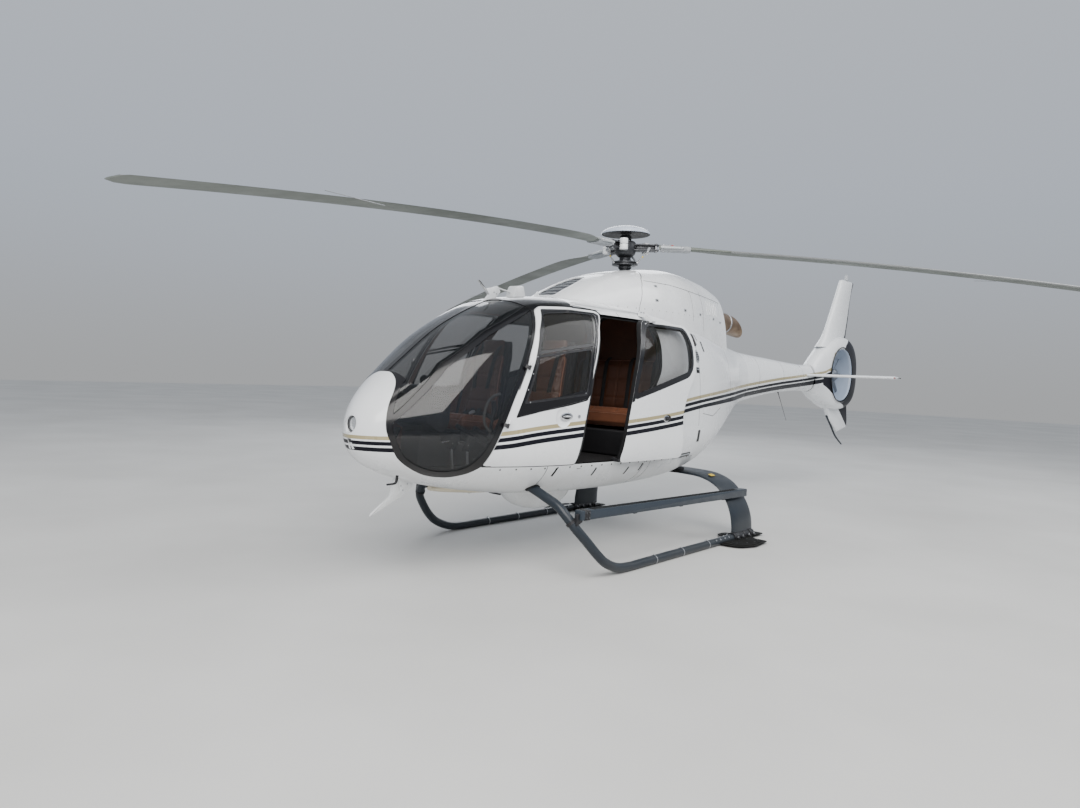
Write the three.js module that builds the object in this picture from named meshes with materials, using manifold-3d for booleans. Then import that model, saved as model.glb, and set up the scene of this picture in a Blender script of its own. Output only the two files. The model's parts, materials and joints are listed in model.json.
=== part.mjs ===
// A light five-seat helicopter with a three-blade main rotor and a shrouded tail fan, parked on its skids.
// Millimetres, +Z up. Inside the aircraft group the mast stands at the origin on the floor,
// the nose points to -Y and the aircraft's left side is +X.
import * as THREE from "three";
import { mergeVertices } from "three/addons/utils/BufferGeometryUtils.js";
import Module from "manifold-3d";

const wasm = await Module();
wasm.setup();

// Driving dimensions
const MAST_X = 367; // the mast in the part's frame, whose origin is under the middle of the whole outline
const MAST_Y = -752;
const WALL = 30; // thickness of the cabin's walls, doors and roof
const TAIL_WALL = 18; // thickness of the boom and of the shroud round the fan
const SEAM = 0.3; // gap between fixed pieces that touch
const DOOR_GAP = 6; // gap round a door that swings
const WIDE_GAP = 12; // the same where the door's edge comes aft as it opens
const GLASS_INSET = 5; // glass lies this far under the outer surface
const GLASS = 8; // thickness of the panes
const SILL_FRONT = { y: -2394, z: 868 }; // the line under the doors
const SILL_AFT = { y: 450, z: 838 };
const ROOF_SEAM_Z = 2085;
const CABIN_AFT = 450; // where the cabin's panels meet the rear fuselage
const TAILCONE_AFT = 2330; // where the rear fuselage meets the boom
const FLOOR_TOP = 815;
const FLOOR = 25;
const BULKHEAD_Y = 150;
const HOLD_AFT = 1200;
const FAR = 1500; // reach of a cutter past everything it cuts

const ROTOR_RADIUS = 5000;
const HUB_Z = 2867; // middle of the blade roots above the floor
const MAST_TILT = THREE.MathUtils.degToRad(1.26); // the mast leans to the nose
const MAST_RADIUS = 46;
const GEARBOX_TOP = 2540;
const MAST_HOLE = 90; // radius of the hole in the cowl
const ENGINE = { front: 480, aft: 1370 };
const EXHAUST = { radius: 120, bore: 110, clearance: 5 };
const BLADE_ROOT = 330;
const BLADE_ANGLES = { a: -82.4, b: 157.6, c: 37.6 }; // degrees from the left side towards the tail
const SLOPE = 0.0346; // the blades hang by this slope
const DROOP = 9.2e-6; // and by this much times the radius squared

const FAN = { y: 5550, z: 1747, radius: 375, duct: 385, lip: 415 };
const SHROUD_HALF = 180; // half the depth of the duct

const LAMP = { z: 1156, radius: 58 };
const SKID_X = 1011; // from the middle to the middle of each skid tube
const SKID_AFT = 960;
const REAR_BEAM = { y: 800, chord: 380, thick: 62 };
const STEP = { x0: 905, x1: 985, front: [-1740, 509], aft: [930, 450], height: 74, wall: 10 };
const TUBE = 38; // radius of the skid tubes
const SKID_Z = 35.5; // middle of the tubes above the floor, whose underside is worn flat
const TUBE_STEPS = 34;
const TUBE_SIDES = 10;
const HINGE = { pin: 9, length: 34, reach: 34, depth: 46 };
const DOOR_HINGES = { x: 690, low: [-2285, 1160], high: [-2080, 1589] }; // on the front doors' swing axis
const BAGGAGE_TURN = THREE.MathUtils.degToRad(11.4); // how the side narrows where the baggage door is
const BAGGAGE_HINGES = { x: -712, y: 561, heights: [1030, 1330] };
const RAIL = { x0: 520, x1: 556, y0: -1440, y1: -430 }; // the sliding door's rail on the roof's edge
const DOOR_SLIDE = { x: 78, y: 470 }; // the sliding door stands out and aft by this much

// The cabin and rear fuselage. Columns: y, half width, height of the widest line, top, bottom,
// and the exponents of the upper and the lower half of the section.
const HULL = [
  [-3150, 40, 1100, 1150, 1050, 2.0, 2.0],
  [-3125, 120, 1100, 1240, 980, 2.0, 2.0],
  [-3060, 215, 1100, 1350, 895, 2.1, 2.0],
  [-2900, 360, 1100, 1507, 805, 2.2, 2.1],
  [-2700, 490, 1105, 1674, 735, 2.3, 2.2],
  [-2450, 600, 1115, 1868, 670, 2.4, 2.3],
  [-2150, 685, 1130, 2035, 620, 2.6, 2.5],
  [-1850, 733, 1145, 2158, 582, 2.9, 2.7],
  [-1500, 760, 1160, 2210, 560, 3.2, 2.9],
  [-1000, 768, 1170, 2235, 545, 3.4, 3.0],
  [-500, 765, 1170, 2245, 545, 3.4, 3.0],
  [0, 750, 1180, 2235, 555, 3.3, 2.8],
  [400, 715, 1190, 2205, 585, 3.1, 2.6],
  [800, 650, 1230, 2165, 650, 2.9, 2.4],
  [1200, 550, 1300, 2110, 780, 2.7, 2.2],
  [1600, 430, 1400, 2045, 965, 2.5, 2.1],
  [2000, 310, 1500, 1985, 1160, 2.3, 2.0],
  [2400, 225, 1580, 1930, 1330, 2.2, 2.0],
];

// The cowl over the engine, with the same columns.
const COWL = [
  [-1230, 220, 2150, 2238, 2000, 2.4, 2],
  [-1050, 330, 2150, 2330, 2000, 2.4, 2],
  [-737, 430, 2150, 2462, 2000, 2.4, 2],
  [-395, 500, 2150, 2560, 2000, 2.5, 2],
  [45, 535, 2100, 2637, 1900, 2.6, 2],
  [454, 520, 2050, 2676, 1900, 2.7, 2],
  [1050, 425, 2000, 2640, 1800, 2.9, 2],
  [1430, 345, 1900, 2570, 1800, 3.2, 2],
  [1700, 300, 1850, 2495, 1750, 3.2, 2],
];

// The cowl's rear face in side view
const COWL_REAR = { top: [1390, 2800], foot: [1714, 1450] };

// The tail boom, with the same columns.
const BOOM = [
  [2330, 238, 1570, 1938, 1300, 2.2, 2.0],
  [2700, 207, 1615, 1918, 1352, 2.1, 2.0],
  [3300, 180, 1650, 1893, 1425, 2.0, 2.0],
  [4000, 155, 1665, 1862, 1475, 2.0, 2.0],
  [4400, 142, 1650, 1855, 1482, 2.0, 2.0],
  [4640, 136, 1650, 1868, 1475, 2.2, 2.2],
];

// The shroud round the tail fan, with the same columns.
const SHROUD = [
  [4640.3, 136, 1650, 1868, 1475, 2.2, 2.2],
  [4800, 142, 1665, 1985, 1385, 2.5, 2.5],
  [5000, 154, 1690, 2110, 1322, 3.0, 3.0],
  [5250, 172, 1725, 2240, 1262, 3.8, 3.8],
  [5550, 180, 1745, 2322, 1212, 4.2, 4.2],
  [5850, 178, 1755, 2330, 1218, 4.2, 4.2],
  [6100, 164, 1760, 2262, 1278, 3.8, 3.8],
  [6280, 132, 1760, 2130, 1375, 3.2, 3.2],
  [6400, 82, 1755, 1965, 1545, 2.6, 2.6],
  [6448, 24, 1755, 1835, 1680, 2.0, 2.0],
];

// Outlines in side view, as [y, z].
const CANOPY_ZONE = [
  [-3000, 1700],
  [-2868, 1532],
  [-2907, 1454],
  [-2996, 1295],
  [-3024, 1163],
  [-3005, 1064],
  [-2929, 927],
  [-2746, 815],
  [-2583, 786],
  [-2470, 817],
  [-2394, 874],
  [-2341, 1020],
  [-2198, 1355],
  [-2009, 1717],
  [-1823, 2054],
  [-1743, 2103],
  [-1457, 2121],
  [-1385, 2122],
  [-1385, 2400],
  [-3000, 2400],
];
const CANOPY_GLASS = [
  [-2850, 1485],
  [-2898, 1431],
  [-2967, 1297],
  [-2991, 1165],
  [-2972, 1066],
  [-2896, 938],
  [-2751, 856],
  [-2621, 832],
  [-2513, 857],
  [-2445, 931],
  [-2383, 1056],
  [-2248, 1354],
  [-2058, 1714],
  [-1925, 1985],
  [-1905, 2060],
  [-1930, 2200],
  [-2300, 2200],
  [-2900, 1700],
];
const DIAGONAL_POST = [
  [-3060, 1130],
  [-2885, 1318],
  [-2624, 1596],
  [-2274, 1844],
  [-1860, 2070],
];
const FRONT_DOOR = [
  [-2394, 874],
  [-2341, 1020],
  [-2198, 1355],
  [-2009, 1717],
  [-1823, 2054],
  [-1743, 2095],
  [-1457, 2113],
  [-1162, 2107],
  [-1131, 2085],
  [-1229, 1955],
  [-1392, 1555],
  [-1482, 1169],
  [-1539, 859],
  [-1963, 864],
];
const FRONT_WINDOW = [
  [-1781, 2046],
  [-1493, 2080],
  [-1195, 2082],
  [-1250, 1955],
  [-1350, 1752],
  [-1425, 1400],
  [-1452, 1377],
  [-1841, 1304],
  [-2178, 1236],
  [-2091, 1445],
  [-1958, 1720],
];
// The sliding door where it closes.
const SLIDING_DOOR = [
  [-1528, 850],
  [-1470, 1169],
  [-1380, 1555],
  [-1217, 1955],
  [-1112, 2075],
  [-420, 2075],
  [-372, 2020],
  [-362, 1890],
  [-395, 1640],
  [-520, 1470],
  [-605, 1300],
  [-607, 1140],
  [-560, 843],
];
const SLIDING_WINDOW = [
  [-1400, 1372],
  [-1350, 1560],
  [-1190, 1950],
  [-1085, 2050],
  [-760, 2055],
  [-440, 2052],
  [-400, 1890],
  [-430, 1680],
  [-510, 1590],
  [-1050, 1455],
];
// The baggage door, measured along the narrowing side
const BAGGAGE_DOOR = { s0: 412, s1: 942, z0: 930, z1: 1430, corner: 60 };
const DOOR_POST = [
  [-1590, 800],
  [-1530, 1169],
  [-1440, 1555],
  [-1277, 1955],
  [-1180, 2140],
  [-1080, 2140],
  [-1165, 1955],
  [-1330, 1555],
  [-1420, 1169],
  [-1480, 800],
];

// The fin above the shroud. Columns: height, leading edge, trailing edge, half thickness
const FIN = [
  [2150, 4960, 6060, 110],
  [2250, 5080, 6075, 88],
  [2350, 5180, 6072, 72],
  [2450, 5250, 6090, 62],
  [2650, 5375, 6135, 57],
  [2850, 5505, 6165, 54],
  [3050, 5620, 6210, 50],
  [3180, 5695, 6265, 44],
  [3225, 5725, 6290, 34],
  [3245, 5790, 6270, 14],
];
// The air intake's slot in the front of the cowl, as [x, y]
const INTAKE = [
  [-118, -1180],
  [118, -1180],
  [122, -1010],
  [112, -850],
  [74, -704],
  [-74, -704],
  [-112, -850],
  [-122, -1010],
];
const INTAKE_DEPTH = 20;
// A snow pad: how far outboard of the skid's middle, and y
const SNOW_PAD = [
  [-74, 1160],
  [-72, 905],
  [-130, 880],
  [-215, 830],
  [-221, 700],
  [-60, 560],
  [-60, 312],
  [113, 312],
  [228, 348],
  [302, 525],
  [274, 826],
  [114, 830],
  [72, 905],
  [74, 1160],
];

// Colours and finishes
const finish = (color, roughness, metalness = 0) =>
  new THREE.MeshStandardMaterial({ color, roughness, metalness });
const WHITE = finish(0xe9eaea, 0.25);
const BLACK = finish(0x15171a, 0.3);
const TINTED = finish(0x2a3036, 0.05);
const DARK = finish(0x202226, 0.7);
const LEATHER = finish(0x9a5c32, 0.6);
const SKID_GREY = finish(0x46525c, 0.45, 0.3);
const BLADE_GREY = finish(0x5b5e56, 0.5);
const STEEL = finish(0x9aa0a4, 0.4, 0.9);
const TITANIUM = finish(0x8b7a66, 0.45, 0.9);
const CREAM = finish(0xe6e0cf, 0.4);
const DUCT_GREY = finish(0x8a98a8, 0.4);
const LENS = finish(0xd8dce0, 0.1);

const aircraft = new THREE.Group();
aircraft.position.set(MAST_X, MAST_Y, 0);

// A closed mesh as a solid that can be cut and joined.
function solid(geometry) {
  const bare = geometry.index ? geometry.toNonIndexed() : geometry.clone();
  bare.deleteAttribute("normal");
  bare.deleteAttribute("uv");
  const merged = mergeVertices(bare, 1e-3);
  const faces = [];
  const index = merged.index.array;
  for (let i = 0; i < index.length; i += 3) {
    const [a, b, c] = [index[i], index[i + 1], index[i + 2]];
    if (a !== b && b !== c && c !== a) faces.push(a, b, c);
  }
  return new wasm.Manifold(
    new wasm.Mesh({
      numProp: 3,
      vertProperties: merged.attributes.position.array,
      triVerts: new Uint32Array(faces),
    }),
  );
}

// A solid as a named mesh in a group.
function place(name, body, material, parent = aircraft) {
  const made = body.getMesh();
  const positions = new Float32Array(made.numVert * 3);
  for (let i = 0; i < made.numVert; i++) {
    positions.set(made.vertProperties.subarray(i * made.numProp, i * made.numProp + 3), i * 3);
  }
  const geometry = new THREE.BufferGeometry();
  geometry.setAttribute("position", new THREE.BufferAttribute(positions, 3));
  geometry.setIndex(new THREE.BufferAttribute(made.triVerts, 1));
  geometry.computeVertexNormals();
  const mesh = new THREE.Mesh(geometry, material);
  mesh.name = name;
  parent.add(mesh);
  return mesh;
}

// A closed skin over rings of equal count that all turn the same way.
function loft(rings) {
  const count = rings[0].length;
  const points = rings.flat();
  const faces = [];
  for (let i = 0; i + 1 < rings.length; i++) {
    for (let j = 0; j < count; j++) {
      const a = i * count + j;
      const b = i * count + ((j + 1) % count);
      faces.push([a, a + count, b], [b, a + count, b + count]);
    }
  }
  const ends = [rings[0], rings[rings.length - 1]].map((ring) =>
    ring.reduce((sum, p) => sum.add(p), new THREE.Vector3()).divideScalar(count),
  );
  const last = points.length - count;
  points.push(...ends);
  for (let j = 0; j < count; j++) {
    const k = (j + 1) % count;
    faces.push([points.length - 2, j, k], [points.length - 1, last + k, last + j]);
  }
  const volume = faces.reduce(
    (sum, [a, b, c]) => sum + points[a].dot(new THREE.Vector3().crossVectors(points[b], points[c])),
    0,
  );
  const geometry = new THREE.BufferGeometry().setFromPoints(points);
  geometry.setIndex(faces.flatMap(([a, b, c]) => (volume < 0 ? [a, c, b] : [a, b, c])));
  return solid(geometry);
}

// A ring with the half width w, the top and bottom heights and the two exponents, moved in by the inset.
function section([y, w, wide, top, bottom, upper, lower], inset, sides) {
  const ring = [];
  for (let i = 0; i < sides; i++) {
    const angle = (2 * Math.PI * i) / sides;
    const [c, s] = [Math.cos(angle), Math.sin(angle)];
    const power = 2 / (s >= 0 ? upper : lower);
    const height = s >= 0 ? top - wide - inset : wide - bottom - inset;
    const x = (w - inset) * Math.sign(c) * Math.abs(c) ** power;
    const z = wide + height * Math.sign(s) * Math.abs(s) ** power;
    ring.push(new THREE.Vector3(x, y, z));
  }
  return ring;
}

// The rows of a table with more rows between them on a smooth curve, closer together where steps says so.
function smoothRows(rows, steps) {
  const out = [];
  for (let i = 0; i + 1 < rows.length; i++) {
    const [p, a, b, q] = [rows[Math.max(i - 1, 0)], rows[i], rows[i + 1], rows[Math.min(i + 2, rows.length - 1)]];
    const count = steps(a[0]);
    for (let k = 0; k < count; k++) {
      const t = k / count;
      const gap = b[0] - a[0];
      out.push(
        a.map((value, j) => {
          const slopeA = ((b[j] - p[j]) / (b[0] - p[0])) * gap;
          const slopeB = ((q[j] - value) / (q[0] - a[0])) * gap;
          return (
            (2 * t ** 3 - 3 * t ** 2 + 1) * value +
            (t ** 3 - 2 * t ** 2 + t) * slopeA +
            (3 * t ** 2 - 2 * t ** 3) * b[j] +
            (t ** 3 - t ** 2) * slopeB
          );
        }),
      );
    }
  }
  out.push(rows[rows.length - 1]);
  return out.map((row) => [row[0], ...row.slice(1)]);
}

// A body from a table of sections, its surface moved in by the inset.
function body(rows, inset = 0, steps = () => 1, sides = 28) {
  const kept = smoothRows(rows, steps).filter((row) => row[1] > inset * 4 || inset <= 0);
  return loft(kept.map((row) => section(row, inset, sides)));
}

const hull = (inset) => body(HULL, inset, (y) => (y < -1800 && y > -3060 ? 2 : 1), 26);
const box = (x0, x1, y0, y1, z0, z1) =>
  solid(new THREE.BoxGeometry(x1 - x0, y1 - y0, z1 - z0).translate((x0 + x1) / 2, (y0 + y1) / 2, (z0 + z1) / 2));

// A shape whose first axis lies along u and second along v, extruded from a to b along u x v.
function prism(outline, a, b, u, v) {
  const area = outline.reduce((sum, [p, q], i) => {
    const [r, s] = outline[(i + 1) % outline.length];
    return sum + p * s - r * q;
  }, 0);
  const ordered = area < 0 ? [...outline].reverse() : outline;
  const shape = new THREE.Shape(ordered.map(([p, q]) => new THREE.Vector2(p, q)));
  const geometry = new THREE.ExtrudeGeometry(shape, { depth: b - a, bevelEnabled: false });
  const w = new THREE.Vector3().crossVectors(u, v);
  geometry.translate(0, 0, a);
  geometry.applyMatrix4(new THREE.Matrix4().makeBasis(u, v, w));
  return solid(geometry);
}
const X = new THREE.Vector3(1, 0, 0);
const Y = new THREE.Vector3(0, 1, 0);
const Z = new THREE.Vector3(0, 0, 1);
const sidePrism = (outline, x0, x1) => prism(outline, x0, x1, Y, Z);
const frontPrism = (outline, y0, y1) => prism(outline, -y1, -y0, X, Z);
const topPrism = (outline, z0, z1) => prism(outline, z0, z1, X, Y);
// The same region on the left (side 1) or the right (side -1).
const onSide = (outline, side, x0 = 0, x1 = FAR) =>
  side > 0 ? sidePrism(outline, x0, x1) : sidePrism(outline, -x1, -x0);

// The outline with its corners rounded by arcs of the radius, or of as much as the edges allow.
function rounded(outline, radius, steps = 3) {
  const out = [];
  outline.forEach((corner, i) => {
    const before = outline[(i + outline.length - 1) % outline.length];
    const after = outline[(i + 1) % outline.length];
    const reach = (other) => {
      const length = Math.hypot(other[0] - corner[0], other[1] - corner[1]);
      const share = Math.min(radius, 0.45 * length) / length;
      return [corner[0] + (other[0] - corner[0]) * share, corner[1] + (other[1] - corner[1]) * share];
    };
    const [from, to] = [reach(before), reach(after)];
    for (let k = 0; k <= steps; k++) {
      const t = k / steps;
      out.push(
        [0, 1].map((j) => (1 - t) ** 2 * from[j] + 2 * t * (1 - t) * corner[j] + t ** 2 * to[j]),
      );
    }
  });
  return out;
}

// The outline moved outward by the distance, or inward where it is negative.
function grown(outline, distance) {
  const area = outline.reduce((sum, [p, q], i) => {
    const [r, s] = outline[(i + 1) % outline.length];
    return sum + p * s - r * q;
  }, 0);
  const turn = Math.sign(area);
  return outline.map((corner, i) => {
    const before = outline[(i + outline.length - 1) % outline.length];
    const after = outline[(i + 1) % outline.length];
    const normal = (from, to) => {
      const length = Math.hypot(to[0] - from[0], to[1] - from[1]) || 1;
      return [(turn * (to[1] - from[1])) / length, (-turn * (to[0] - from[0])) / length];
    };
    const [n, m] = [normal(before, corner), normal(corner, after)];
    const scale = distance / Math.max(0.35, 1 + n[0] * m[0] + n[1] * m[1]);
    return [corner[0] + (n[0] + m[0]) * scale, corner[1] + (n[1] + m[1]) * scale];
  });
}

// A strip of the given half width along a line of points, ending square.
function strip(line, half) {
  const sides = [1, -1].map((sign) =>
    line.map((point, i) => {
      const from = line[Math.max(i - 1, 0)];
      const to = line[Math.min(i + 1, line.length - 1)];
      const length = Math.hypot(to[0] - from[0], to[1] - from[1]);
      return [
        point[0] - (sign * half * (to[1] - from[1])) / length,
        point[1] + (sign * half * (to[0] - from[0])) / length,
      ];
    }),
  );
  return [...sides[0], ...sides[1].reverse()];
}

// A tube of round section along a curve through the points.
function tube(points, radius, steps, sides = 12) {
  const curve = new THREE.CatmullRomCurve3(points.map((p) => new THREE.Vector3(...p)), false, "centripetal");
  const ring = new THREE.Shape(
    Array.from({ length: sides }, (_, i) => {
      const angle = (2 * Math.PI * i) / sides;
      return new THREE.Vector2(radius * Math.cos(angle), radius * Math.sin(angle));
    }),
  );
  return solid(new THREE.ExtrudeGeometry(ring, { steps, extrudePath: curve }));
}

// A cylinder from one point to another.
function rod(from, to, radius, sides = 16, endRadius = radius) {
  const [a, b] = [new THREE.Vector3(...from), new THREE.Vector3(...to)];
  const geometry = new THREE.CylinderGeometry(endRadius, radius, a.distanceTo(b), sides);
  geometry.translate(0, a.distanceTo(b) / 2, 0);
  geometry.applyQuaternion(new THREE.Quaternion().setFromUnitVectors(Y, b.clone().sub(a).normalize()));
  return solid(geometry.translate(a.x, a.y, a.z));
}

const join = (parts) => parts.reduce((sum, part) => sum.add(part));

const outer = hull(0);
const inner = hull(WALL);
const shell = outer.subtract(inner);
const paneShell = hull(GLASS_INSET).subtract(hull(GLASS_INSET + GLASS));
const sillZ = (y) => SILL_FRONT.z + ((y - SILL_FRONT.y) / (SILL_AFT.y - SILL_FRONT.y)) * (SILL_AFT.z - SILL_FRONT.z);

const frontDoor = rounded(FRONT_DOOR, 30, 2);
const frontWindow = rounded(FRONT_WINDOW, 45, 3);
const slidingDoor = rounded(SLIDING_DOOR, 70, 3);
const slidingWindow = rounded(SLIDING_WINDOW, 60, 3);
const baggageDoor = rounded(
  [
    [BAGGAGE_DOOR.s0, BAGGAGE_DOOR.z0],
    [BAGGAGE_DOOR.s1, BAGGAGE_DOOR.z0],
    [BAGGAGE_DOOR.s1, BAGGAGE_DOOR.z1],
    [BAGGAGE_DOOR.s0, BAGGAGE_DOOR.z1],
  ],
  BAGGAGE_DOOR.corner,
);

// The lines between the fixed panels
function panelZones() {
  const below = [
    [SILL_FRONT.y + SEAM, 400],
    [CABIN_AFT, 400],
    [CABIN_AFT, SILL_AFT.z],
    [SILL_FRONT.y + SEAM, SILL_FRONT.z],
  ];
  const nose = [
    [-3300, 500],
    [SILL_FRONT.y, 500],
    [SILL_FRONT.y, 1100],
    [-2700, 1800],
    [-3300, 1800],
  ];
  const roof = [
    [-1385 + SEAM, 2122],
    [-1135, 2118],
    [-1112, ROOF_SEAM_Z],
    [CABIN_AFT, ROOF_SEAM_Z],
    [CABIN_AFT, 2500],
    [-1385 + SEAM, 2500],
  ];
  const side = [
    [-1600, sillZ(-1600) + SEAM],
    [CABIN_AFT, SILL_AFT.z + SEAM],
    [CABIN_AFT, ROOF_SEAM_Z - SEAM],
    [-1600, ROOF_SEAM_Z - SEAM],
  ];
  return { below, nose, roof, side };
}
const zones = panelZones();

// Nose, belly, roof and side panels of the cabin
function cabinPanels() {
  const canopyCut = sidePrism(grown(CANOPY_ZONE, SEAM), -FAR, FAR);
  const doorCut = sidePrism(grown(frontDoor, DOOR_GAP), -FAR, FAR);
  const lampHole = rod([0, -3300, LAMP.z], [0, -3000, LAMP.z], LAMP.radius + SEAM, 20);
  place(
    "nose_shell",
    shell.intersect(sidePrism(zones.nose, -FAR, FAR)).subtract(canopyCut).subtract(doorCut).subtract(lampHole),
    WHITE,
  );
  place(
    "belly_shell",
    shell.intersect(sidePrism(zones.below, -FAR, FAR)).subtract(canopyCut).subtract(doorCut),
    WHITE,
  );
  place("roof_panel", shell.intersect(sidePrism(zones.roof, -FAR, FAR)).subtract(doorCut), WHITE);
  const opening = grown(slidingDoor, 12);
  const doorRoom = sidePrism(grown(frontDoor, WIDE_GAP), -FAR, FAR);
  const wall = (side) => shell.intersect(onSide(zones.side, side)).subtract(doorRoom);
  const behindOpening = [
    [-640, 700],
    [CABIN_AFT + 10, 700],
    [CABIN_AFT + 10, 2200],
    [-640, 2200],
  ];
  place(
    "left_side_wall",
    wall(1).intersect(sidePrism(behindOpening, 0, FAR)).subtract(onSide(opening, 1)),
    WHITE,
  );
  place("right_side_wall", wall(-1).subtract(onSide(slidingWindow, -1)), WHITE);
  place(
    "right_rear_window",
    paneShell.intersect(onSide(grown(slidingWindow, -SEAM), -1)),
    TINTED,
  );
}

// Black canopy frame with its posts, and the four panes of the front glazing
function canopy() {
  const post = strip(DIAGONAL_POST, 20);
  const centre = 24;
  let frame = shell
    .intersect(sidePrism(CANOPY_ZONE, -FAR, FAR))
    .subtract(sidePrism(grown(frontDoor, DOOR_GAP), -FAR, FAR));
  const upper = [...DIAGONAL_POST.map(([y, z]) => [y, z]), [-1860, 2400], [-3060, 2400]];
  const lower = [...DIAGONAL_POST.map(([y, z]) => [y, z]), [-1860, 700], [-3060, 700]];
  for (const side of [1, -1]) {
    const word = side > 0 ? "left" : "right";
    const glass = onSide(CANOPY_GLASS, side, centre);
    const hole = glass.subtract(onSide(post, side));
    frame = frame.subtract(hole).add(doorHinges(side).fixed);
    const pane = paneShell
      .intersect(onSide(grown(CANOPY_GLASS, -SEAM), side, centre + SEAM))
      .subtract(onSide(grown(post, SEAM), side));
    place(word + "_windscreen", pane.intersect(onSide(upper, side)), TINTED);
    place(word + "_lower_windscreen", pane.intersect(onSide(lower, side)), TINTED);
  }
  place("canopy_frame", frame, BLACK);
}

// One leaf of a hinge: a knuckle on the swing axis and a strap that runs back and down into the panel
function hingeHalf(at, axis, back, outward) {
  const strap = [
    [1, HINGE.pin],
    [HINGE.reach, 2 - 0.5 * HINGE.depth],
    [HINGE.reach, -HINGE.depth],
    [10, -HINGE.depth],
    [1, -HINGE.pin],
  ];
  const knuckle = Array.from({ length: 10 }, (_, i) => {
    const angle = (2 * Math.PI * i) / 10;
    return [HINGE.pin * Math.cos(angle), HINGE.pin * Math.sin(angle)];
  });
  const along = new THREE.Vector3().crossVectors(back, outward);
  const shapes = [strap, knuckle].map((outline) => prism(outline, 0, HINGE.length, X, Y));
  const turn = new THREE.Matrix4().makeBasis(back, outward, along);
  const start = along.dot(axis) > 0 ? at : at.clone().addScaledVector(axis, HINGE.length);
  return moved(join(shapes), turn.setPosition(start));
}

// A solid carried by a matrix that turns and shifts it
function moved(made, matrix) {
  const mesh = made.getMesh();
  const geometry = new THREE.BufferGeometry();
  geometry.setAttribute("position", new THREE.BufferAttribute(new Float32Array(mesh.vertProperties), 3));
  geometry.setIndex(new THREE.BufferAttribute(mesh.triVerts, 1));
  return solid(geometry.applyMatrix4(matrix));
}

// The two hinges of a front door: the leaves on the canopy frame, and those on the door
function doorHinges(side) {
  const { x, low, high } = DOOR_HINGES;
  const axis = new THREE.Vector3(0, high[0] - low[0], high[1] - low[1]).normalize();
  const back = new THREE.Vector3(0, axis.z, -axis.y);
  const outward = new THREE.Vector3(side, 0, 0);
  const fixed = [];
  const swinging = [];
  for (const [y, z] of [low, high]) {
    const at = new THREE.Vector3(side * x, y, z);
    fixed.push(hingeHalf(at, axis, back.clone().negate(), outward));
    swinging.push(hingeHalf(at.clone().addScaledVector(axis, HINGE.length + SEAM), axis, back, outward));
  }
  const inside = hull(WALL - 5);
  return { fixed: join(fixed).subtract(inside), swinging: join(swinging).subtract(inside) };
}

// The room that the sill takes as a front door swings past it, seen from the door
function sillSweep(side) {
  const { x, low, high } = DOOR_HINGES;
  const axis = new THREE.Vector3(0, high[0] - low[0], high[1] - low[1]).normalize();
  const sill = hull(-DOOR_GAP)
    .subtract(hull(WALL + DOOR_GAP))
    .intersect(onSide(grown(zones.below, 5), side))
    .intersect(box(-FAR, FAR, -2500, -2000, 700, 1000));
  const turns = [5, 9, 13, 18, 25, 34].map((degrees) => {
    const there = new THREE.Matrix4().makeTranslation(side * x, low[0], low[1]);
    const turn = new THREE.Matrix4().makeRotationAxis(axis, THREE.MathUtils.degToRad(side * degrees));
    const back = new THREE.Matrix4().makeTranslation(-side * x, -low[0], -low[1]);
    return moved(sill, there.multiply(turn).multiply(back));
  });
  return join(turns);
}

// Front doors with their windows, hinged along the front edge
function frontDoors() {
  for (const side of [1, -1]) {
    const word = side > 0 ? "left" : "right";
    const door = shell.intersect(onSide(frontDoor, side)).subtract(onSide(frontWindow, side));
    place(word + "_front_door", door.subtract(sillSweep(side)).add(doorHinges(side).swinging), WHITE);
    place(
      word + "_front_door_window",
      paneShell.intersect(onSide(grown(frontWindow, -SEAM), side)),
      TINTED,
    );
  }
}

// The sliding door on the left, standing partly open, and the rail that carries it
function slidingDoorSet() {
  const shift = new THREE.Matrix4().makeTranslation(DOOR_SLIDE.x, DOOR_SLIDE.y, 0);
  const leaf = shell.intersect(onSide(slidingDoor, 1)).subtract(onSide(slidingWindow, 1));
  const pane = paneShell.intersect(onSide(grown(slidingWindow, -SEAM), 1));
  const upperArm = frontPrism(
    [
      [RAIL.x1 + SEAM, 2120],
      [RAIL.x1 + SEAM, 2152],
      [650, 2130],
      [715, 2072],
      [704, 2060],
      [672, 2063],
      [630, 2105],
    ],
    -530,
    -470,
  );
  const sill = sillZ(-1030);
  const lowerArm = box(712, 800, -1050, -1010, sill + 3 * SEAM, sill + 28);
  place("sliding_door", moved(leaf, shift).add(upperArm).add(lowerArm), WHITE);
  place("sliding_door_window", moved(pane, shift), TINTED);
}

// Floors, bulkheads and the posts between front door and sliding door
function cabinStructure() {
  const clear = hull(WALL + SEAM);
  place("cabin_floor", clear.intersect(box(-900, 900, -2750, BULKHEAD_Y - SEAM, FLOOR_TOP - FLOOR, FLOOR_TOP)), DARK);
  place(
    "cabin_bulkhead",
    clear.intersect(box(-900, 900, BULKHEAD_Y, BULKHEAD_Y + WALL, FLOOR_TOP - FLOOR, 2400)),
    DARK,
  );
  const holdFloor = box(-900, 900, BULKHEAD_Y + WALL + SEAM, HOLD_AFT + 10, FLOOR_TOP - FLOOR, FLOOR_TOP);
  const holdEnd = box(-900, 900, HOLD_AFT, HOLD_AFT + WALL, 600, 2400);
  place("baggage_hold", clear.intersect(holdFloor.add(holdEnd)), DARK);
  const postShell = hull(WALL + DOOR_GAP).subtract(hull(WALL + 45));
  for (const side of [1, -1]) {
    const column = postShell
      .intersect(onSide(DOOR_POST, side))
      .intersect(box(-900, 900, -1700, -1000, FLOOR_TOP + SEAM, 2300));
    place((side > 0 ? "left" : "right") + "_door_post", column, BLACK);
  }
}

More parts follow.
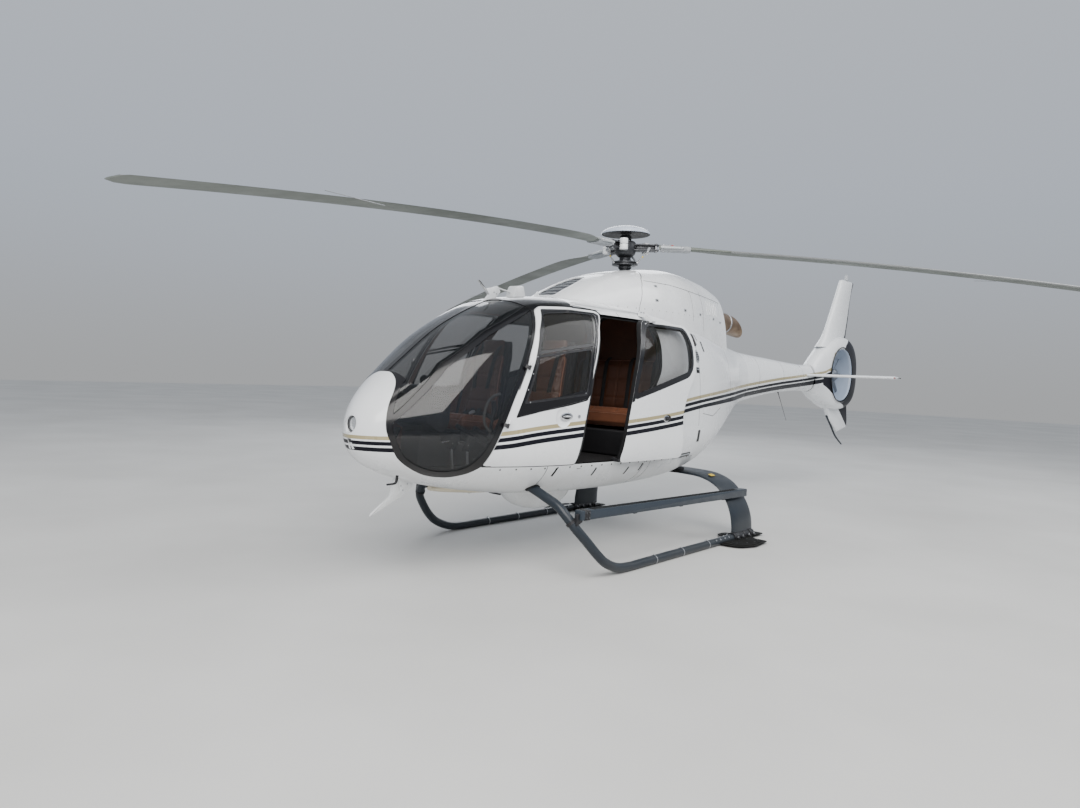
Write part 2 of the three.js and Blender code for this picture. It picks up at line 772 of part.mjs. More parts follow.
// Seats as plain closed solids, side outlines extruded across
function seats() {
  const front = [
    [-1985, FLOOR_TOP + SEAM],
    [-1985, 1150],
    [-1960, 1185],
    [-1550, 1150],
    [-1440, 1700],
    [-1410, 1850],
    [-1350, 1850],
    [-1370, 1300],
    [-1420, FLOOR_TOP + SEAM],
  ];
  const seat = rounded(front, 25, 1);
  for (const side of [1, -1]) {
    place((side > 0 ? "left" : "right") + "_front_seat", onSide(seat, side, 130, 590), LEATHER);
  }
  const bench = [
    [-470, FLOOR_TOP + SEAM],
    [-480, 1170],
    [-440, 1200],
    [-60, 1165],
    [40, 1780],
    [BULKHEAD_Y - SEAM, 1800],
    [BULKHEAD_Y - SEAM, FLOOR_TOP + SEAM],
  ];
  place("rear_bench", sidePrism(rounded(bench, 25, 1), -610, 610), LEATHER);
}

// Instrument console on the cabin floor
function instrumentConsole() {
  const pedestal = [
    [-2700, FLOOR_TOP + SEAM],
    [-2735, 1330],
    [-2640, 1440],
    [-2450, 1400],
    [-2400, 1360],
    [-2420, 1130],
    [-2060, 1000],
    [-2060, FLOOR_TOP + SEAM],
  ];
  const side = sidePrism(pedestal, -240, 240);
  place("instrument_console", side.intersect(hull(WALL + 10)), DARK);
}

// Rear fuselage with the baggage door on the right
function rearFuselage() {
  const along = new THREE.Vector3(Math.sin(BAGGAGE_TURN), Math.cos(BAGGAGE_TURN), 0);
  const cut = (outline) => prism(outline, -1000, -600, along, Z);
  const ring = shell.intersect(box(-FAR, FAR, CABIN_AFT + SEAM, TAILCONE_AFT, 0, 3000));
  const [carriers, straps] = [[], []];
  for (const z of BAGGAGE_HINGES.heights) {
    const at = new THREE.Vector3(BAGGAGE_HINGES.x, BAGGAGE_HINGES.y, z);
    const outward = new THREE.Vector3(-Math.cos(BAGGAGE_TURN), Math.sin(BAGGAGE_TURN), 0);
    carriers.push(hingeHalf(at, Z, along.clone().negate(), outward));
    straps.push(hingeHalf(at.clone().setZ(z + HINGE.length + SEAM), Z, along, outward));
  }
  const fuselage = ring.subtract(cut(grown(baggageDoor, WIDE_GAP - 3)));
  place("rear_fuselage", fuselage.add(join(carriers).subtract(hull(WALL - 5))), WHITE);
  const lid = shell.intersect(cut(baggageDoor));
  place("baggage_door", lid.add(join(straps).subtract(hull(WALL - 5))), WHITE);
}

// Cowl halves over the deck, the engine and gearbox as plain blocks, and the exhaust
function powerplant() {
  const seamLine = [
    [-1300, 1500],
    [-60, 1500],
    [180, 2800],
    [-1300, 2800],
  ];
  const [top, foot] = [COWL_REAR.top, COWL_REAR.foot];
  const rearCut = [top, foot, [2600, 1500], [2600, 2800]];
  const cowlOuter = body(COWL, 0, () => 1, 24);
  const cowlInner = body(COWL, WALL, () => 1, 24);
  const mastHole = rod([0, 0, 2300], [0, 0, 2900], MAST_HOLE, 24);
  const exhaustHole = rod([0, 1390, 2330], [0, 1700, 2300], EXHAUST.radius + EXHAUST.clearance, 20);
  const cover = cowlOuter
    .subtract(cowlInner)
    .subtract(hull(-SEAM))
    .subtract(mastHole)
    .subtract(sidePrism(rearCut, -FAR, FAR));
  const rearFace = (distance) => [top, foot].map(([y, z]) => [y - distance, z]);
  const rearPlane = [...rearFace(WALL), ...rearFace(3).reverse()];
  const rearWall = body(COWL, WALL - 5, () => 1, 24)
    .intersect(sidePrism(rearPlane, -FAR, FAR))
    .subtract(hull(-SEAM));
  const intake = topPrism(rounded(INTAKE, 34, 2), 2000, 2800).subtract(body(COWL, INTAKE_DEPTH, () => 1, 24));
  place("front_cowl", cover.intersect(sidePrism(seamLine, -FAR, FAR)).subtract(intake), WHITE);
  place(
    "rear_cowl",
    cover.subtract(sidePrism(grown(seamLine, SEAM), -FAR, FAR)).add(rearWall).subtract(exhaustHole),
    WHITE,
  );
  const deck = hull(-SEAM);
  const { front, aft } = ENGINE;
  place("engine_block", box(-230, 230, front, aft, 2050, 2450).subtract(deck), STEEL);
  place("main_gearbox", box(-170, 170, -150, 260, 2150, GEARBOX_TOP).subtract(deck), STEEL);
  const straight = rod([0, aft - 20, 2332], [0, 1720, 2298], EXHAUST.radius, 20);
  const tapered = rod([0, 1700, 2300], [0, 2500, 2225], EXHAUST.radius, 20, EXHAUST.radius - 6);
  const bore = rod([0, 1850, 2286], [0, 2520, 2223], EXHAUST.bore, 20, EXHAUST.bore - 4);
  const engineFace = box(-300, 300, front, aft + SEAM, 2000, 2600);
  const scarf = [
    [2130, 2400],
    [2470, 2090],
    [2700, 2090],
    [2700, 2400],
  ];
  const pipe = straight.add(tapered).subtract(bore).subtract(engineFace).subtract(deck);
  place("exhaust_pipe", pipe.subtract(sidePrism(scarf, -FAR, FAR)), TITANIUM);
}

// Hollow boom, with the stabiliser passing through it
function tail() {
  const stabiliser = [
    [4300, 1706],
    [4322, 1722],
    [4400, 1731],
    [4520, 1726],
    [4640, 1712],
    [4640, 1706],
    [4400, 1692],
    [4322, 1694],
  ];
  const boom = body(BOOM, 0, () => 1, 24).intersect(box(-FAR, FAR, TAILCONE_AFT + SEAM, 4700, 0, 3000));
  const end = BOOM[BOOM.length - 1];
  const inside = body([...BOOM, [end[0] + WALL, ...end.slice(1)]], TAIL_WALL, () => 1, 14);
  place("tail_boom", boom.subtract(inside).subtract(sidePrism(grown(stabiliser, SEAM), -FAR, FAR)), WHITE);
  place("stabiliser", sidePrism(stabiliser, -1300, 1300), WHITE);
}

// A body that bulges from a side outline: columns of the table are x and how far the outline draws in there
function pillow(outline, layers) {
  const rings = layers.map(([x, inset]) => grown(outline, -inset).map(([y, z]) => [x, y, z]));
  return loft(rings.map((ring) => ring.map((p) => new THREE.Vector3(...p))));
}

// Hollow shroud with its duct, the fin above and the small fin below
function shroudAndFin() {
  const share = [0, 0.05, 0.2, 0.45, 0.75, 1, 0.75, 0.45, 0.2, 0.05];
  const swell = [0, 0.57, 0.93, 0.91, 0.55, 0, -0.55, -0.91, -0.93, -0.57];
  const finRings = FIN.map(([z, lead, trail, half]) =>
    share.map((s, k) => new THREE.Vector3(swell[k] * half, lead + s * (trail - lead), z)),
  );
  const lowerFin = [
    [5270, 1380],
    [5315, 1305],
    [5555, 1040],
    [5875, 843],
    [6271, 913],
    [6280, 1030],
    [6200, 1400],
  ];
  const half = SHROUD_HALF;
  const shroudBody = body(SHROUD, 0, (y) => (y > 5100 && y < 6200 ? 2 : 1), 28);
  const finBody = loft(finRings);
  const lowerBody = pillow(rounded(lowerFin, 40, 1), [[-38, 40], [-25, 12], [0, 0], [25, 12], [38, 40]]);
  const lowerBodyClear = pillow(grown(rounded(lowerFin, 40, 1), SEAM), [[-60, 0], [60, 0]]);
  const profile = [
    [0, -half - 20],
    [FAN.lip + 12, -half - 20],
    [FAN.lip, -half],
    [FAN.duct + 8, -half + 14],
    [FAN.duct, -half + 40],
    [FAN.duct, half - 40],
    [FAN.duct + 8, half - 14],
    [FAN.lip, half],
    [FAN.lip + 12, half + 20],
    [0, half + 20],
  ];
  const duct = new THREE.LatheGeometry(profile.map(([r, h]) => new THREE.Vector2(r, h)), 36);
  duct.rotateZ(-Math.PI / 2).translate(0, FAN.y, FAN.z);
  const start = SHROUD[0];
  const cavity = body([[start[0] - WALL, ...start.slice(1)], ...SHROUD], TAIL_WALL, () => 1, 16).subtract(
    rod([-FAR, FAN.y, FAN.z], [FAR, FAN.y, FAN.z], FAN.lip + TAIL_WALL, 24),
  );
  const tailBody = join([shroudBody, finBody, lowerBody]).subtract(solid(duct)).subtract(cavity);
  place("tail_shroud", tailBody, WHITE);
  const bumper = tube([[0, 5480, 1105], [0, 5700, 930], [0, 5885, 782], [0, 6165, 640]], 16, 8, 10);
  place("tail_bumper", bumper.subtract(lowerBodyClear), SKID_GREY);
}

// Tail fan: eight blades, unequally spaced, and the gearbox with its struts behind it
function tailFan() {
  const group = new THREE.Group();
  group.position.set(0, FAN.y, FAN.z);
  aircraft.add(group);
  const angles = [0, 40, 92, 128, 180, 226, 268, 316];
  const blade = () => {
    const rings = [80, 230, FAN.radius].map((r, i) => {
      const twist = THREE.MathUtils.degToRad([42, 30, 18][i]);
      const half = [28, 31, 27][i];
      return [0, 1, 2, 3, 4, 5].map((k) => {
        const along = [half, half / 2, -half / 2, -half, -half / 2, half / 2][k];
        const thick = [0, 5, 5, 0, -5, -5][k];
        const [px, py] = [
          along * Math.sin(twist) + thick * Math.cos(twist),
          along * Math.cos(twist) - thick * Math.sin(twist),
        ];
        return new THREE.Vector3(px, r, py);
      });
    });
    return loft(rings);
  };
  const hub = rod([-45, 0, 0], [70, 0, 0], 95, 24).add(rod([70, 0, 0], [110, 0, 0], 95, 24, 40));
  const blades = angles.map((degrees) =>
    moved(blade(), new THREE.Matrix4().makeRotationX(THREE.MathUtils.degToRad(degrees))),
  );
  place("fan_rotor", join([hub, ...blades]), SKID_GREY, group);
  const struts = [90, 210, 330].map((degrees) => {
    const angle = THREE.MathUtils.degToRad(degrees);
    const [c, s] = [Math.cos(angle), Math.sin(angle)];
    return rod([-95, 60 * c, 60 * s], [-95, (FAN.duct - 2) * c, (FAN.duct - 2) * s], 18, 8);
  });
  const casing = rod([-150, 0, 0], [-50, 0, 0], 85, 20);
  const shaft = rod([-60, 0, 0], [-45 - SEAM, 0, 0], 30, 12);
  place("fan_gearbox", join([casing, shaft, ...struts]), DUCT_GREY, group);
}

// Main rotor: mast, star with its dampers, cap and three blades that hang at rest
function mainRotor() {
  const group = new THREE.Group();
  group.position.set(0, 0, HUB_Z);
  group.rotation.x = MAST_TILT;
  aircraft.add(group);
  const mastFoot = GEARBOX_TOP + SEAM + MAST_RADIUS * Math.sin(MAST_TILT) - HUB_Z;
  const parts = [
    rod([0, 0, mastFoot], [0, 0, 60], MAST_RADIUS, 16),
    rod([0, 0, -75], [0, 0, 55], 105, 16),
    rod([0, 0, -190], [0, 0, -150], 130, 16),
    rod([0, 0, 50], [0, 0, 112], 60, 14),
  ];
  const spin = (x, y, degrees) => {
    const angle = THREE.MathUtils.degToRad(degrees);
    return [x * Math.cos(angle) - y * Math.sin(angle), x * Math.sin(angle) + y * Math.cos(angle)];
  };
  for (const degrees of Object.values(BLADE_ANGLES)) {
    const at = (x, y, z) => [...spin(x, y, degrees), z];
    const arm = topPrism(
      [
        [60, -62],
        [BLADE_ROOT - SEAM, -50],
        [BLADE_ROOT - SEAM, 50],
        [60, 62],
      ].map(([x, y]) => spin(x, y, degrees)),
      -48,
      22,
    );
    parts.push(arm);
    parts.push(rod(at(205, 92, -62), at(205, 92, 48), 40, 12));
    parts.push(rod(at(150, 30, -20), at(205, 92, -20), 22, 8));
    parts.push(rod(at(215, -86, -60), at(120, -60, -170), 11, 8));
    parts.push(rod(at(235, -40, -20), at(215, -88, -56), 20, 8));
  }
  place("rotor_hub", join(parts), STEEL, group);
  const dome = [
    [0, 112 + SEAM],
    [236, 112 + SEAM],
    [244, 124],
    [225, 150],
    [165, 178],
    [90, 193],
    [0, 198],
  ];
  const cap = new THREE.LatheGeometry(dome.map(([r, z]) => new THREE.Vector2(r, z)), 28);
  place("rotor_cap", solid(cap.rotateX(Math.PI / 2)), WHITE, group);
  for (const [letter, degrees] of Object.entries(BLADE_ANGLES)) {
    const mesh = place("main_blade_" + letter, rotorBlade(), BLADE_GREY, group);
    mesh.rotation.z = THREE.MathUtils.degToRad(degrees);
  }
}

// One blade along +X, its leading edge to -Y. Columns: radius, chord, thickness, share of the chord ahead of the pitch axis
function rotorBlade() {
  const rows = [
    [BLADE_ROOT, 96, 60, 0.5],
    [520, 100, 56, 0.5],
    [700, 150, 46, 0.4],
    [900, 230, 36, 0.3],
    [1100, 262, 32, 0.27],
    [1800, 262, 31, 0.27],
    [2500, 262, 30, 0.27],
    [3200, 262, 29, 0.27],
    [3900, 262, 28, 0.27],
    [4600, 262, 27, 0.27],
    [4860, 262, 25, 0.27],
    [4960, 225, 20, 0.15],
    [ROTOR_RADIUS, 150, 12, -0.1],
  ];
  const share = [0, 0.06, 0.3, 0.65, 1, 0.65, 0.3, 0.06];
  const lift = [0, 0.6, 1, 0.6, 0.06, -0.4, -0.6, -0.45];
  const rings = rows.map(([r, chord, thick, ahead]) =>
    share.map((s, i) => new THREE.Vector3(r, (s - ahead) * chord, lift[i] * thick * 0.6 - SLOPE * r - DROOP * r * r)),
  );
  return loft(rings);
}

// Skids, each in one curve with its front leg, the broad rear beam, the steps and the snow pads
function landingGear() {
  const half = [
    [400, -1800, 703],
    [520, -1800, 662],
    [644, -1800, 618],
    [778, -1797, 563],
    [862, -1782, 490],
    [925, -1746, 405],
    [968, -1670, 310],
    [1000, -1570, 200],
    [SKID_X, -1468, 118],
    [SKID_X, -1316, 56],
    [SKID_X, -1150, SKID_Z],
    [SKID_X, -900, SKID_Z],
    [SKID_X, SKID_AFT, SKID_Z],
  ];
  const belly = hull(-SEAM);
  const ground = box(-FAR, FAR, -3000, 3000, -200, 0);
  const clearance = [];
  for (const side of [1, -1]) {
    const word = side > 0 ? "left" : "right";
    const points = half.map(([x, y, z]) => [side * x, y, z]);
    const leg = tube(points, TUBE, TUBE_STEPS, TUBE_SIDES);
    const room = tube(points, TUBE + SEAM, TUBE_STEPS, TUBE_SIDES);
    clearance.push(room);
    place(word + "_skid", leg.subtract(belly).subtract(ground), SKID_GREY);
    place(word + "_step", stepRail(side).subtract(room).subtract(rearBeam(SEAM)), SKID_GREY);
    const pad = rounded(SNOW_PAD, 50, 2).map(([out, y]) => [side * (SKID_X + out), y]);
    place(word + "_snow_pad", topPrism(pad, 18, 30).subtract(room), BLACK);
  }
  place("rear_cross_beam", rearBeam(0).subtract(join(clearance)).subtract(belly), SKID_GREY);
}

// A step: a channel open below and at its rear end that slopes down to the rear
function stepRail(side) {
  const { x0, x1, front, aft, height, wall } = STEP;
  const rise = height / 2;
  const outline = [
    [front[0], front[1] - rise],
    [aft[0], aft[1] - rise],
    [aft[0], aft[1] + rise],
    [front[0], front[1] + rise],
  ];
  const hollow = [
    [front[0] + wall, front[1] - rise - wall],
    [aft[0] + wall, aft[1] - rise - wall],
    [aft[0] + wall, aft[1] + rise - wall],
    [front[0] + wall, front[1] + rise - wall],
  ];
  return onSide(outline, side, x0, x1).subtract(onSide(hollow, side, x0 + wall, x1 - wall));
}

// The rear beam: a broad blade of lens section that bends down to both skids, grown by the clearance.
// Columns: x, z and how much further aft its rear edge lies there.
function rearBeam(clearance) {
  const half = [
    [1000, 56, 45],
    [992, 180, 36],
    [962, 300, 20],
    [895, 425, 0],
    [785, 528, 0],
    [620, 590, 0],
    [400, 606, 0],
    [0, 610, 0],
  ];
  const line = [...half, ...half.slice(0, -1).map(([x, z, extra]) => [-x, z, extra]).reverse()];
  const chord = [-0.5, -0.42, 0, 0.42, 0.5, 0.42, 0, -0.42];
  const lift = [0, 0.38, 0.5, 0.38, 0, -0.38, -0.5, -0.38];
  const rings = line.map(([x, z, extra], i) => {
    const from = line[Math.max(i - 1, 0)];
    const to = line[Math.min(i + 1, line.length - 1)];
    const length = Math.hypot(to[0] - from[0], to[1] - from[1]);
    const [nx, nz] = [-(to[1] - from[1]) / length, (to[0] - from[0]) / length];
    return chord.map((share, k) => {
      const y = REAR_BEAM.y + share * (REAR_BEAM.chord + 2 * clearance + (share > 0 ? 2 * extra : 0));
      const up = lift[k] * (REAR_BEAM.thick + 2 * clearance);
      return new THREE.Vector3(x + nx * up, y, z + nz * up);
    });
  });
  return loft(rings);
}

// Wire cutters above and below the nose, the lamp box on the roof, the pod and the lamp in the nose
function fittings() {
  const belly = hull(-SEAM);
  const cutter = rounded(
    [
      [-1985, 2296],
      [-1905, 2235],
      [-1832, 2252],
      [-1764, 2272],
      [-1733, 2225],
      [-1786, 2172],
      [-1800, 2120],
      [-1960, 2060],
      [-1925, 2130],
      [-1870, 2190],
    ],
    12,
    1,
  );
  place("roof_wire_cutter", sidePrism(cutter, -12, 12).subtract(belly), WHITE);
  const lampBox = [[-1640, 2150], [-1590, 2292], [-1492, 2300], [-1455, 2150]];
  place("roof_lamp_box", sidePrism(lampBox, -48, 48).subtract(belly), WHITE);
  const chin = [
    [-2740, 800],
    [-2560, 760],
    [-2575, 680],
    [-2700, 600],
    [-2960, 486],
    [-2950, 505],
    [-2790, 620],
  ];
  place("chin_wire_cutter", sidePrism(chin, -10, 10).subtract(belly), CREAM);
  const pod = [
    [-1600, 30, 560, 620, 540, 2, 2],
    [-1520, 120, 560, 620, 462, 2, 2],
    [-1400, 165, 560, 620, 405, 2, 2],
    [-1250, 185, 560, 620, 372, 2, 2],
    [-1050, 180, 560, 620, 370, 2, 2],
    [-900, 145, 560, 620, 415, 2, 2],
    [-800, 70, 560, 620, 480, 2, 2],
  ];
  place("belly_pod", body(pod, 0, () => 1, 20).subtract(belly), CREAM);
  place("landing_lamp", rod([0, -3158, LAMP.z], [0, -3085, LAMP.z], LAMP.radius, 20), LENS);
  place("beacon", rod([0, 5975, 3245 + SEAM], [0, 5975, 3345], 32, 14, 24), STEEL);
  const { x0, x1, y0, y1 } = RAIL;
  const rail = sidePrism([[y0, 2128], [y1, 2090], [y1, 2154], [y0, 2158]], x0, x1);
  place("upper_door_rail", rail.subtract(belly), WHITE);
}

cabinPanels();
canopy();
frontDoors();
slidingDoorSet();
cabinStructure();
seats();
instrumentConsole();
rearFuselage();
powerplant();
tail();
shroudAndFin();
tailFan();
mainRotor();
landingGear();
fittings();

const helicopter = new THREE.Group();
helicopter.add(aircraft);
export default helicopter;
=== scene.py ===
"""A light single-engine helicopter on skids: the visible model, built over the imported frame."""

import json
import math

import bpy
import numpy as np
from mathutils import Matrix, Vector

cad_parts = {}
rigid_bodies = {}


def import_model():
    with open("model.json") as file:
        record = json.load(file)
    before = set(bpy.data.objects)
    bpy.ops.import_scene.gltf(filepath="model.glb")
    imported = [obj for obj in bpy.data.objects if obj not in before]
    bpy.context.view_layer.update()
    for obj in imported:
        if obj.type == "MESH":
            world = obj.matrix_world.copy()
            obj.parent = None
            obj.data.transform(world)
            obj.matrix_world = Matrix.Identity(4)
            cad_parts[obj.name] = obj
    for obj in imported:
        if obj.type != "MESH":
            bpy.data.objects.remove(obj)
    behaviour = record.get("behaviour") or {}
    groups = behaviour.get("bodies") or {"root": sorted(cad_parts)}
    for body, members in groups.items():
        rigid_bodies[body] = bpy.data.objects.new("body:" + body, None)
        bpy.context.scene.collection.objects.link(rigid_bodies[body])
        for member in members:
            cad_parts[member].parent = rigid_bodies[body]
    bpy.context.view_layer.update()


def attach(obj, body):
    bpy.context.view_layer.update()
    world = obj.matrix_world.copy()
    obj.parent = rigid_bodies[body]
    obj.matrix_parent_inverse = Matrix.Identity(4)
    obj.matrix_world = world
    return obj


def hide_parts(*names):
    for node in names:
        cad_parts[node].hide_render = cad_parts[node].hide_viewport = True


bl_info = {
    "name": "Light helicopter",
    "version": (1, 0, 0),
    "blender": (4, 5, 0),
    "location": "3D View > Sidebar > Helicopter",
    "description": "Builds a light helicopter on skids around its packed frame",
    "category": "Object",
}

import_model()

# The pieces are shaped in millimetres, with the mast at the origin, the nose to -Y and the left side at +X.
MAST = (367.0, -752.0, 0.0)
MM = 0.001
TO_FRAME = Matrix.Scale(MM, 4) @ Matrix.Translation(Vector(MAST))
WALL = 30
TAIL_WALL = 18
SEAM = 0.3
GLASS_INSET = 5
GLASS = 8
CABIN_AFT = 450
TAILCONE_AFT = 2330
FLOOR_TOP = 815
BULKHEAD_Y = 150
ROOF_SEAM_Z = 2085
HUB_Z = 2867
MAST_TILT = math.radians(1.26)
BLADE_ANGLES = {"a": -82.4, "b": 157.6, "c": 37.6}
BLADE_ROOT = 330
SLOPE = 0.0346
DROOP = 9.2e-6
FAN_Y, FAN_Z = 5550, 1747
FAN_RADIUS, FAN_DUCT, FAN_LIP = 375, 385, 415
SHROUD_HALF = 180
SKID_X = 1011
TUBE = 38
SKID_Z = 35.5
REAR_BEAM_Y, REAR_BEAM_CHORD, REAR_BEAM_THICK = 800, 380, 62
SIDES = ((1, "left"), (-1, "right"))
SLIDE = (78, 470, 0)
DOOR_AXIS = ((690, -2285, 1160), (690, -2080, 1589))
BAGGAGE_TURN = math.radians(11.4)
FAR = 1500
SILL_Y, SILL_Z, SILL_AFT_Z = -2394, 868, 838
BELOW_SILL = [(SILL_Y + SEAM, 400), (CABIN_AFT, 400), (CABIN_AFT, SILL_AFT_Z), (SILL_Y + SEAM, SILL_Z)]
DOOR_GAP = 6
FILM_IN = 1.5
PATCH_X = 100
NOSE_LAMP = (0, -3092, 1156)
SEAT_X = 360
INTAKE_LOW, INTAKE_HIGH = 2150, 2700
EXHAUST_START, EXHAUST_AXIS = (0, 1370.3, 2331.5), (0, 0.9957, -0.0934)

# Sections: y, half width, height of the widest line, top, bottom, exponents of the upper and lower half.
HULL = [
    (-3156, 4, 1100, 1105, 1095, 2.0, 2.0), (-3150, 40, 1100, 1150, 1050, 2.0, 2.0),
    (-3125, 120, 1100, 1240, 980, 2.0, 2.0), (-3060, 215, 1100, 1350, 895, 2.1, 2.0),
    (-2900, 360, 1100, 1507, 805, 2.2, 2.1), (-2700, 490, 1105, 1674, 735, 2.3, 2.2),
    (-2450, 600, 1115, 1868, 670, 2.4, 2.3), (-2150, 685, 1130, 2035, 620, 2.6, 2.5),
    (-1850, 733, 1145, 2158, 582, 2.9, 2.7), (-1500, 760, 1160, 2210, 560, 3.2, 2.9),
    (-1000, 768, 1170, 2235, 545, 3.4, 3.0), (-500, 765, 1170, 2245, 545, 3.4, 3.0),
    (0, 750, 1180, 2235, 555, 3.3, 2.8), (400, 715, 1190, 2205, 585, 3.1, 2.6),
    (800, 650, 1230, 2165, 650, 2.9, 2.4), (1200, 550, 1300, 2110, 780, 2.7, 2.2),
    (1600, 430, 1400, 2045, 965, 2.5, 2.1), (2000, 310, 1500, 1985, 1160, 2.3, 2.0),
    (2400, 225, 1580, 1930, 1330, 2.2, 2.0),
]
COWL = [
    (-1230, 220, 2150, 2238, 2000, 2.4, 2), (-1050, 330, 2150, 2330, 2000, 2.4, 2),
    (-737, 430, 2150, 2462, 2000, 2.4, 2), (-395, 500, 2150, 2560, 2000, 2.5, 2),
    (45, 535, 2100, 2637, 1900, 2.6, 2), (454, 520, 2050, 2676, 1900, 2.7, 2),
    (1050, 425, 2000, 2640, 1800, 2.9, 2), (1430, 345, 1900, 2570, 1800, 3.2, 2),
    (1700, 300, 1850, 2495, 1750, 3.2, 2),
]
COWL_REAR = ((1390, 2800), (1714, 1450))
BOOM = [
    (2330, 238, 1570, 1938, 1300, 2.2, 2.0), (2700, 207, 1615, 1918, 1352, 2.1, 2.0),
    (3300, 180, 1650, 1893, 1425, 2.0, 2.0), (4000, 155, 1665, 1862, 1475, 2.0, 2.0),
    (4400, 142, 1650, 1855, 1482, 2.0, 2.0), (4640, 136, 1650, 1868, 1475, 2.2, 2.2),
]
SHROUD = [
    (4640.3, 136, 1650, 1868, 1475, 2.2, 2.2), (4800, 142, 1665, 1985, 1385, 2.5, 2.5),
    (5000, 154, 1690, 2110, 1322, 3.0, 3.0), (5250, 172, 1725, 2240, 1262, 3.8, 3.8),
    (5550, 180, 1745, 2322, 1212, 4.2, 4.2), (5850, 178, 1755, 2330, 1218, 4.2, 4.2),
    (6100, 164, 1760, 2262, 1278, 3.8, 3.8), (6280, 132, 1760, 2130, 1375, 3.2, 3.2),
    (6400, 82, 1755, 1965, 1545, 2.6, 2.6), (6448, 24, 1755, 1835, 1680, 2.0, 2.0),
]
# The fin: height, leading edge, trailing edge, half thickness.
FIN = [
    (2150, 4960, 6060, 110), (2250, 5080, 6075, 88), (2350, 5180, 6072, 72), (2450, 5250, 6090, 62),
    (2650, 5375, 6135, 57), (2850, 5505, 6165, 54), (3050, 5620, 6210, 50), (3180, 5695, 6265, 44),
    (3225, 5725, 6290, 34), (3244, 5790, 6270, 14),
]

# Outlines in side view, as (y, z).
CANOPY_ZONE = [
    (-3000, 1700), (-2868, 1532), (-2907, 1454), (-2996, 1295), (-3024, 1163), (-3005, 1064), (-2929, 927),
    (-2746, 815), (-2583, 786), (-2470, 817), (-2394, 874), (-2341, 1020), (-2198, 1355), (-2009, 1717),
    (-1823, 2054), (-1743, 2103), (-1457, 2121), (-1385, 2122), (-1385, 2400), (-3000, 2400),
]
CANOPY_GLASS = [
    (-2850, 1485), (-2898, 1431), (-2967, 1297), (-2991, 1165), (-2972, 1066), (-2896, 938), (-2751, 856),
    (-2621, 832), (-2513, 857), (-2445, 931), (-2378, 1056), (-2240, 1354), (-2042, 1714), (-1888, 1985),
    (-1852, 2060), (-1880, 2130), (-1930, 2200), (-2300, 2200), (-2900, 1700),
]
DIAGONAL_POST = [(-3060, 1130), (-2885, 1318), (-2624, 1596), (-2274, 1844), (-1860, 2070)]
FRONT_DOOR = [
    (-2394, 874), (-2341, 1020), (-2198, 1355), (-2009, 1717), (-1823, 2054), (-1743, 2095), (-1457, 2113),
    (-1162, 2107), (-1131, 2085), (-1229, 1955), (-1392, 1555), (-1482, 1169), (-1539, 859), (-1963, 864),
]
FRONT_WINDOW = [
    (-1781, 2046), (-1493, 2080), (-1195, 2082), (-1250, 1955), (-1350, 1752), (-1425, 1400), (-1452, 1377),
    (-1841, 1304), (-2178, 1236), (-2091, 1445), (-1958, 1720),
]
SLIDING_DOOR = [
    (-1528, 850), (-1470, 1169), (-1380, 1555), (-1217, 1955), (-1112, 2075), (-420, 2075), (-372, 2020),
    (-362, 1890), (-395, 1640), (-520, 1470), (-605, 1300), (-607, 1140), (-560, 843),
]
SLIDING_WINDOW = [
    (-1400, 1372), (-1350, 1560), (-1190, 1950), (-1085, 2050), (-760, 2055), (-440, 2052), (-400, 1890),
    (-430, 1680), (-510, 1590), (-1050, 1455),
]
DOOR_POST = [
    (-1590, 800), (-1530, 1169), (-1440, 1555), (-1277, 1955), (-1180, 2140), (-1080, 2140), (-1165, 1955),
    (-1330, 1555), (-1420, 1169), (-1480, 800),
]
COWL_SEAM = [(-1300, 1500), (-60, 1500), (180, 2800), (-1300, 2800)]

# The flank's gold stripe: the height of its top edge along the aircraft, in metres from the mast.
STRIPE_TOP = [
    (-3.16, 1.085), (-3.02, 1.088), (-2.65, 1.104), (-2.30, 1.130), (-1.93, 1.174), (-1.49, 1.208),
    (-1.07, 1.240), (-0.61, 1.284), (0.066, 1.386), (0.646, 1.444), (2.157, 1.542), (3.355, 1.649),
    (4.457, 1.738), (4.935, 1.788), (5.10, 1.83), (5.146, 1.85), (5.17, 1.94), (5.26, 2.07), (5.42, 2.14),
    (5.60, 2.14), (5.70, 2.236), (5.95, 2.36), (6.06, 2.5), (6.48, 2.6),
]
# The black tail: the height of its lower edge.
TAIL_LOWER = [
    (4.70, 1.66), (4.796, 1.615), (5.027, 1.548), (5.274, 1.442), (5.496, 1.341), (5.755, 1.275),
    (5.82, 1.24), (6.28, 0.895), (6.48, 0.75),
]


# Sections of the skins

def turns(count):
    return 2 * np.pi * np.arange(count) / count


def slopes(rows):
    """How fast each column changes along the table at each of its rows."""
    rows = np.asarray(rows, float)
    after = np.vstack([rows[1:], rows[-1:]])
    before = np.vstack([rows[:1], rows[:-1]])
    return (after - before)[:, 1:] / (after - before)[:, :1]


def columns_at(table, y):
    """The table's columns at each y, on the smooth curve through its rows."""
    rows = np.asarray(table, float)
    slope = slopes(rows)
    y = np.clip(np.asarray(y, float), rows[0, 0], rows[-1, 0])
    i = np.clip(np.searchsorted(rows[:, 0], y, side="right") - 1, 0, len(rows) - 2)
    gap = (rows[i + 1, 0] - rows[i, 0])[:, None]
    t = (y - rows[i, 0])[:, None] / gap
    a, b = rows[i, 1:], rows[i + 1, 1:]
    return ((2 * t**3 - 3 * t**2 + 1) * a + (t**3 - 2 * t**2 + t) * gap * slope[i]
            + (3 * t**2 - 2 * t**3) * b + (t**3 - t**2) * gap * slope[i + 1])


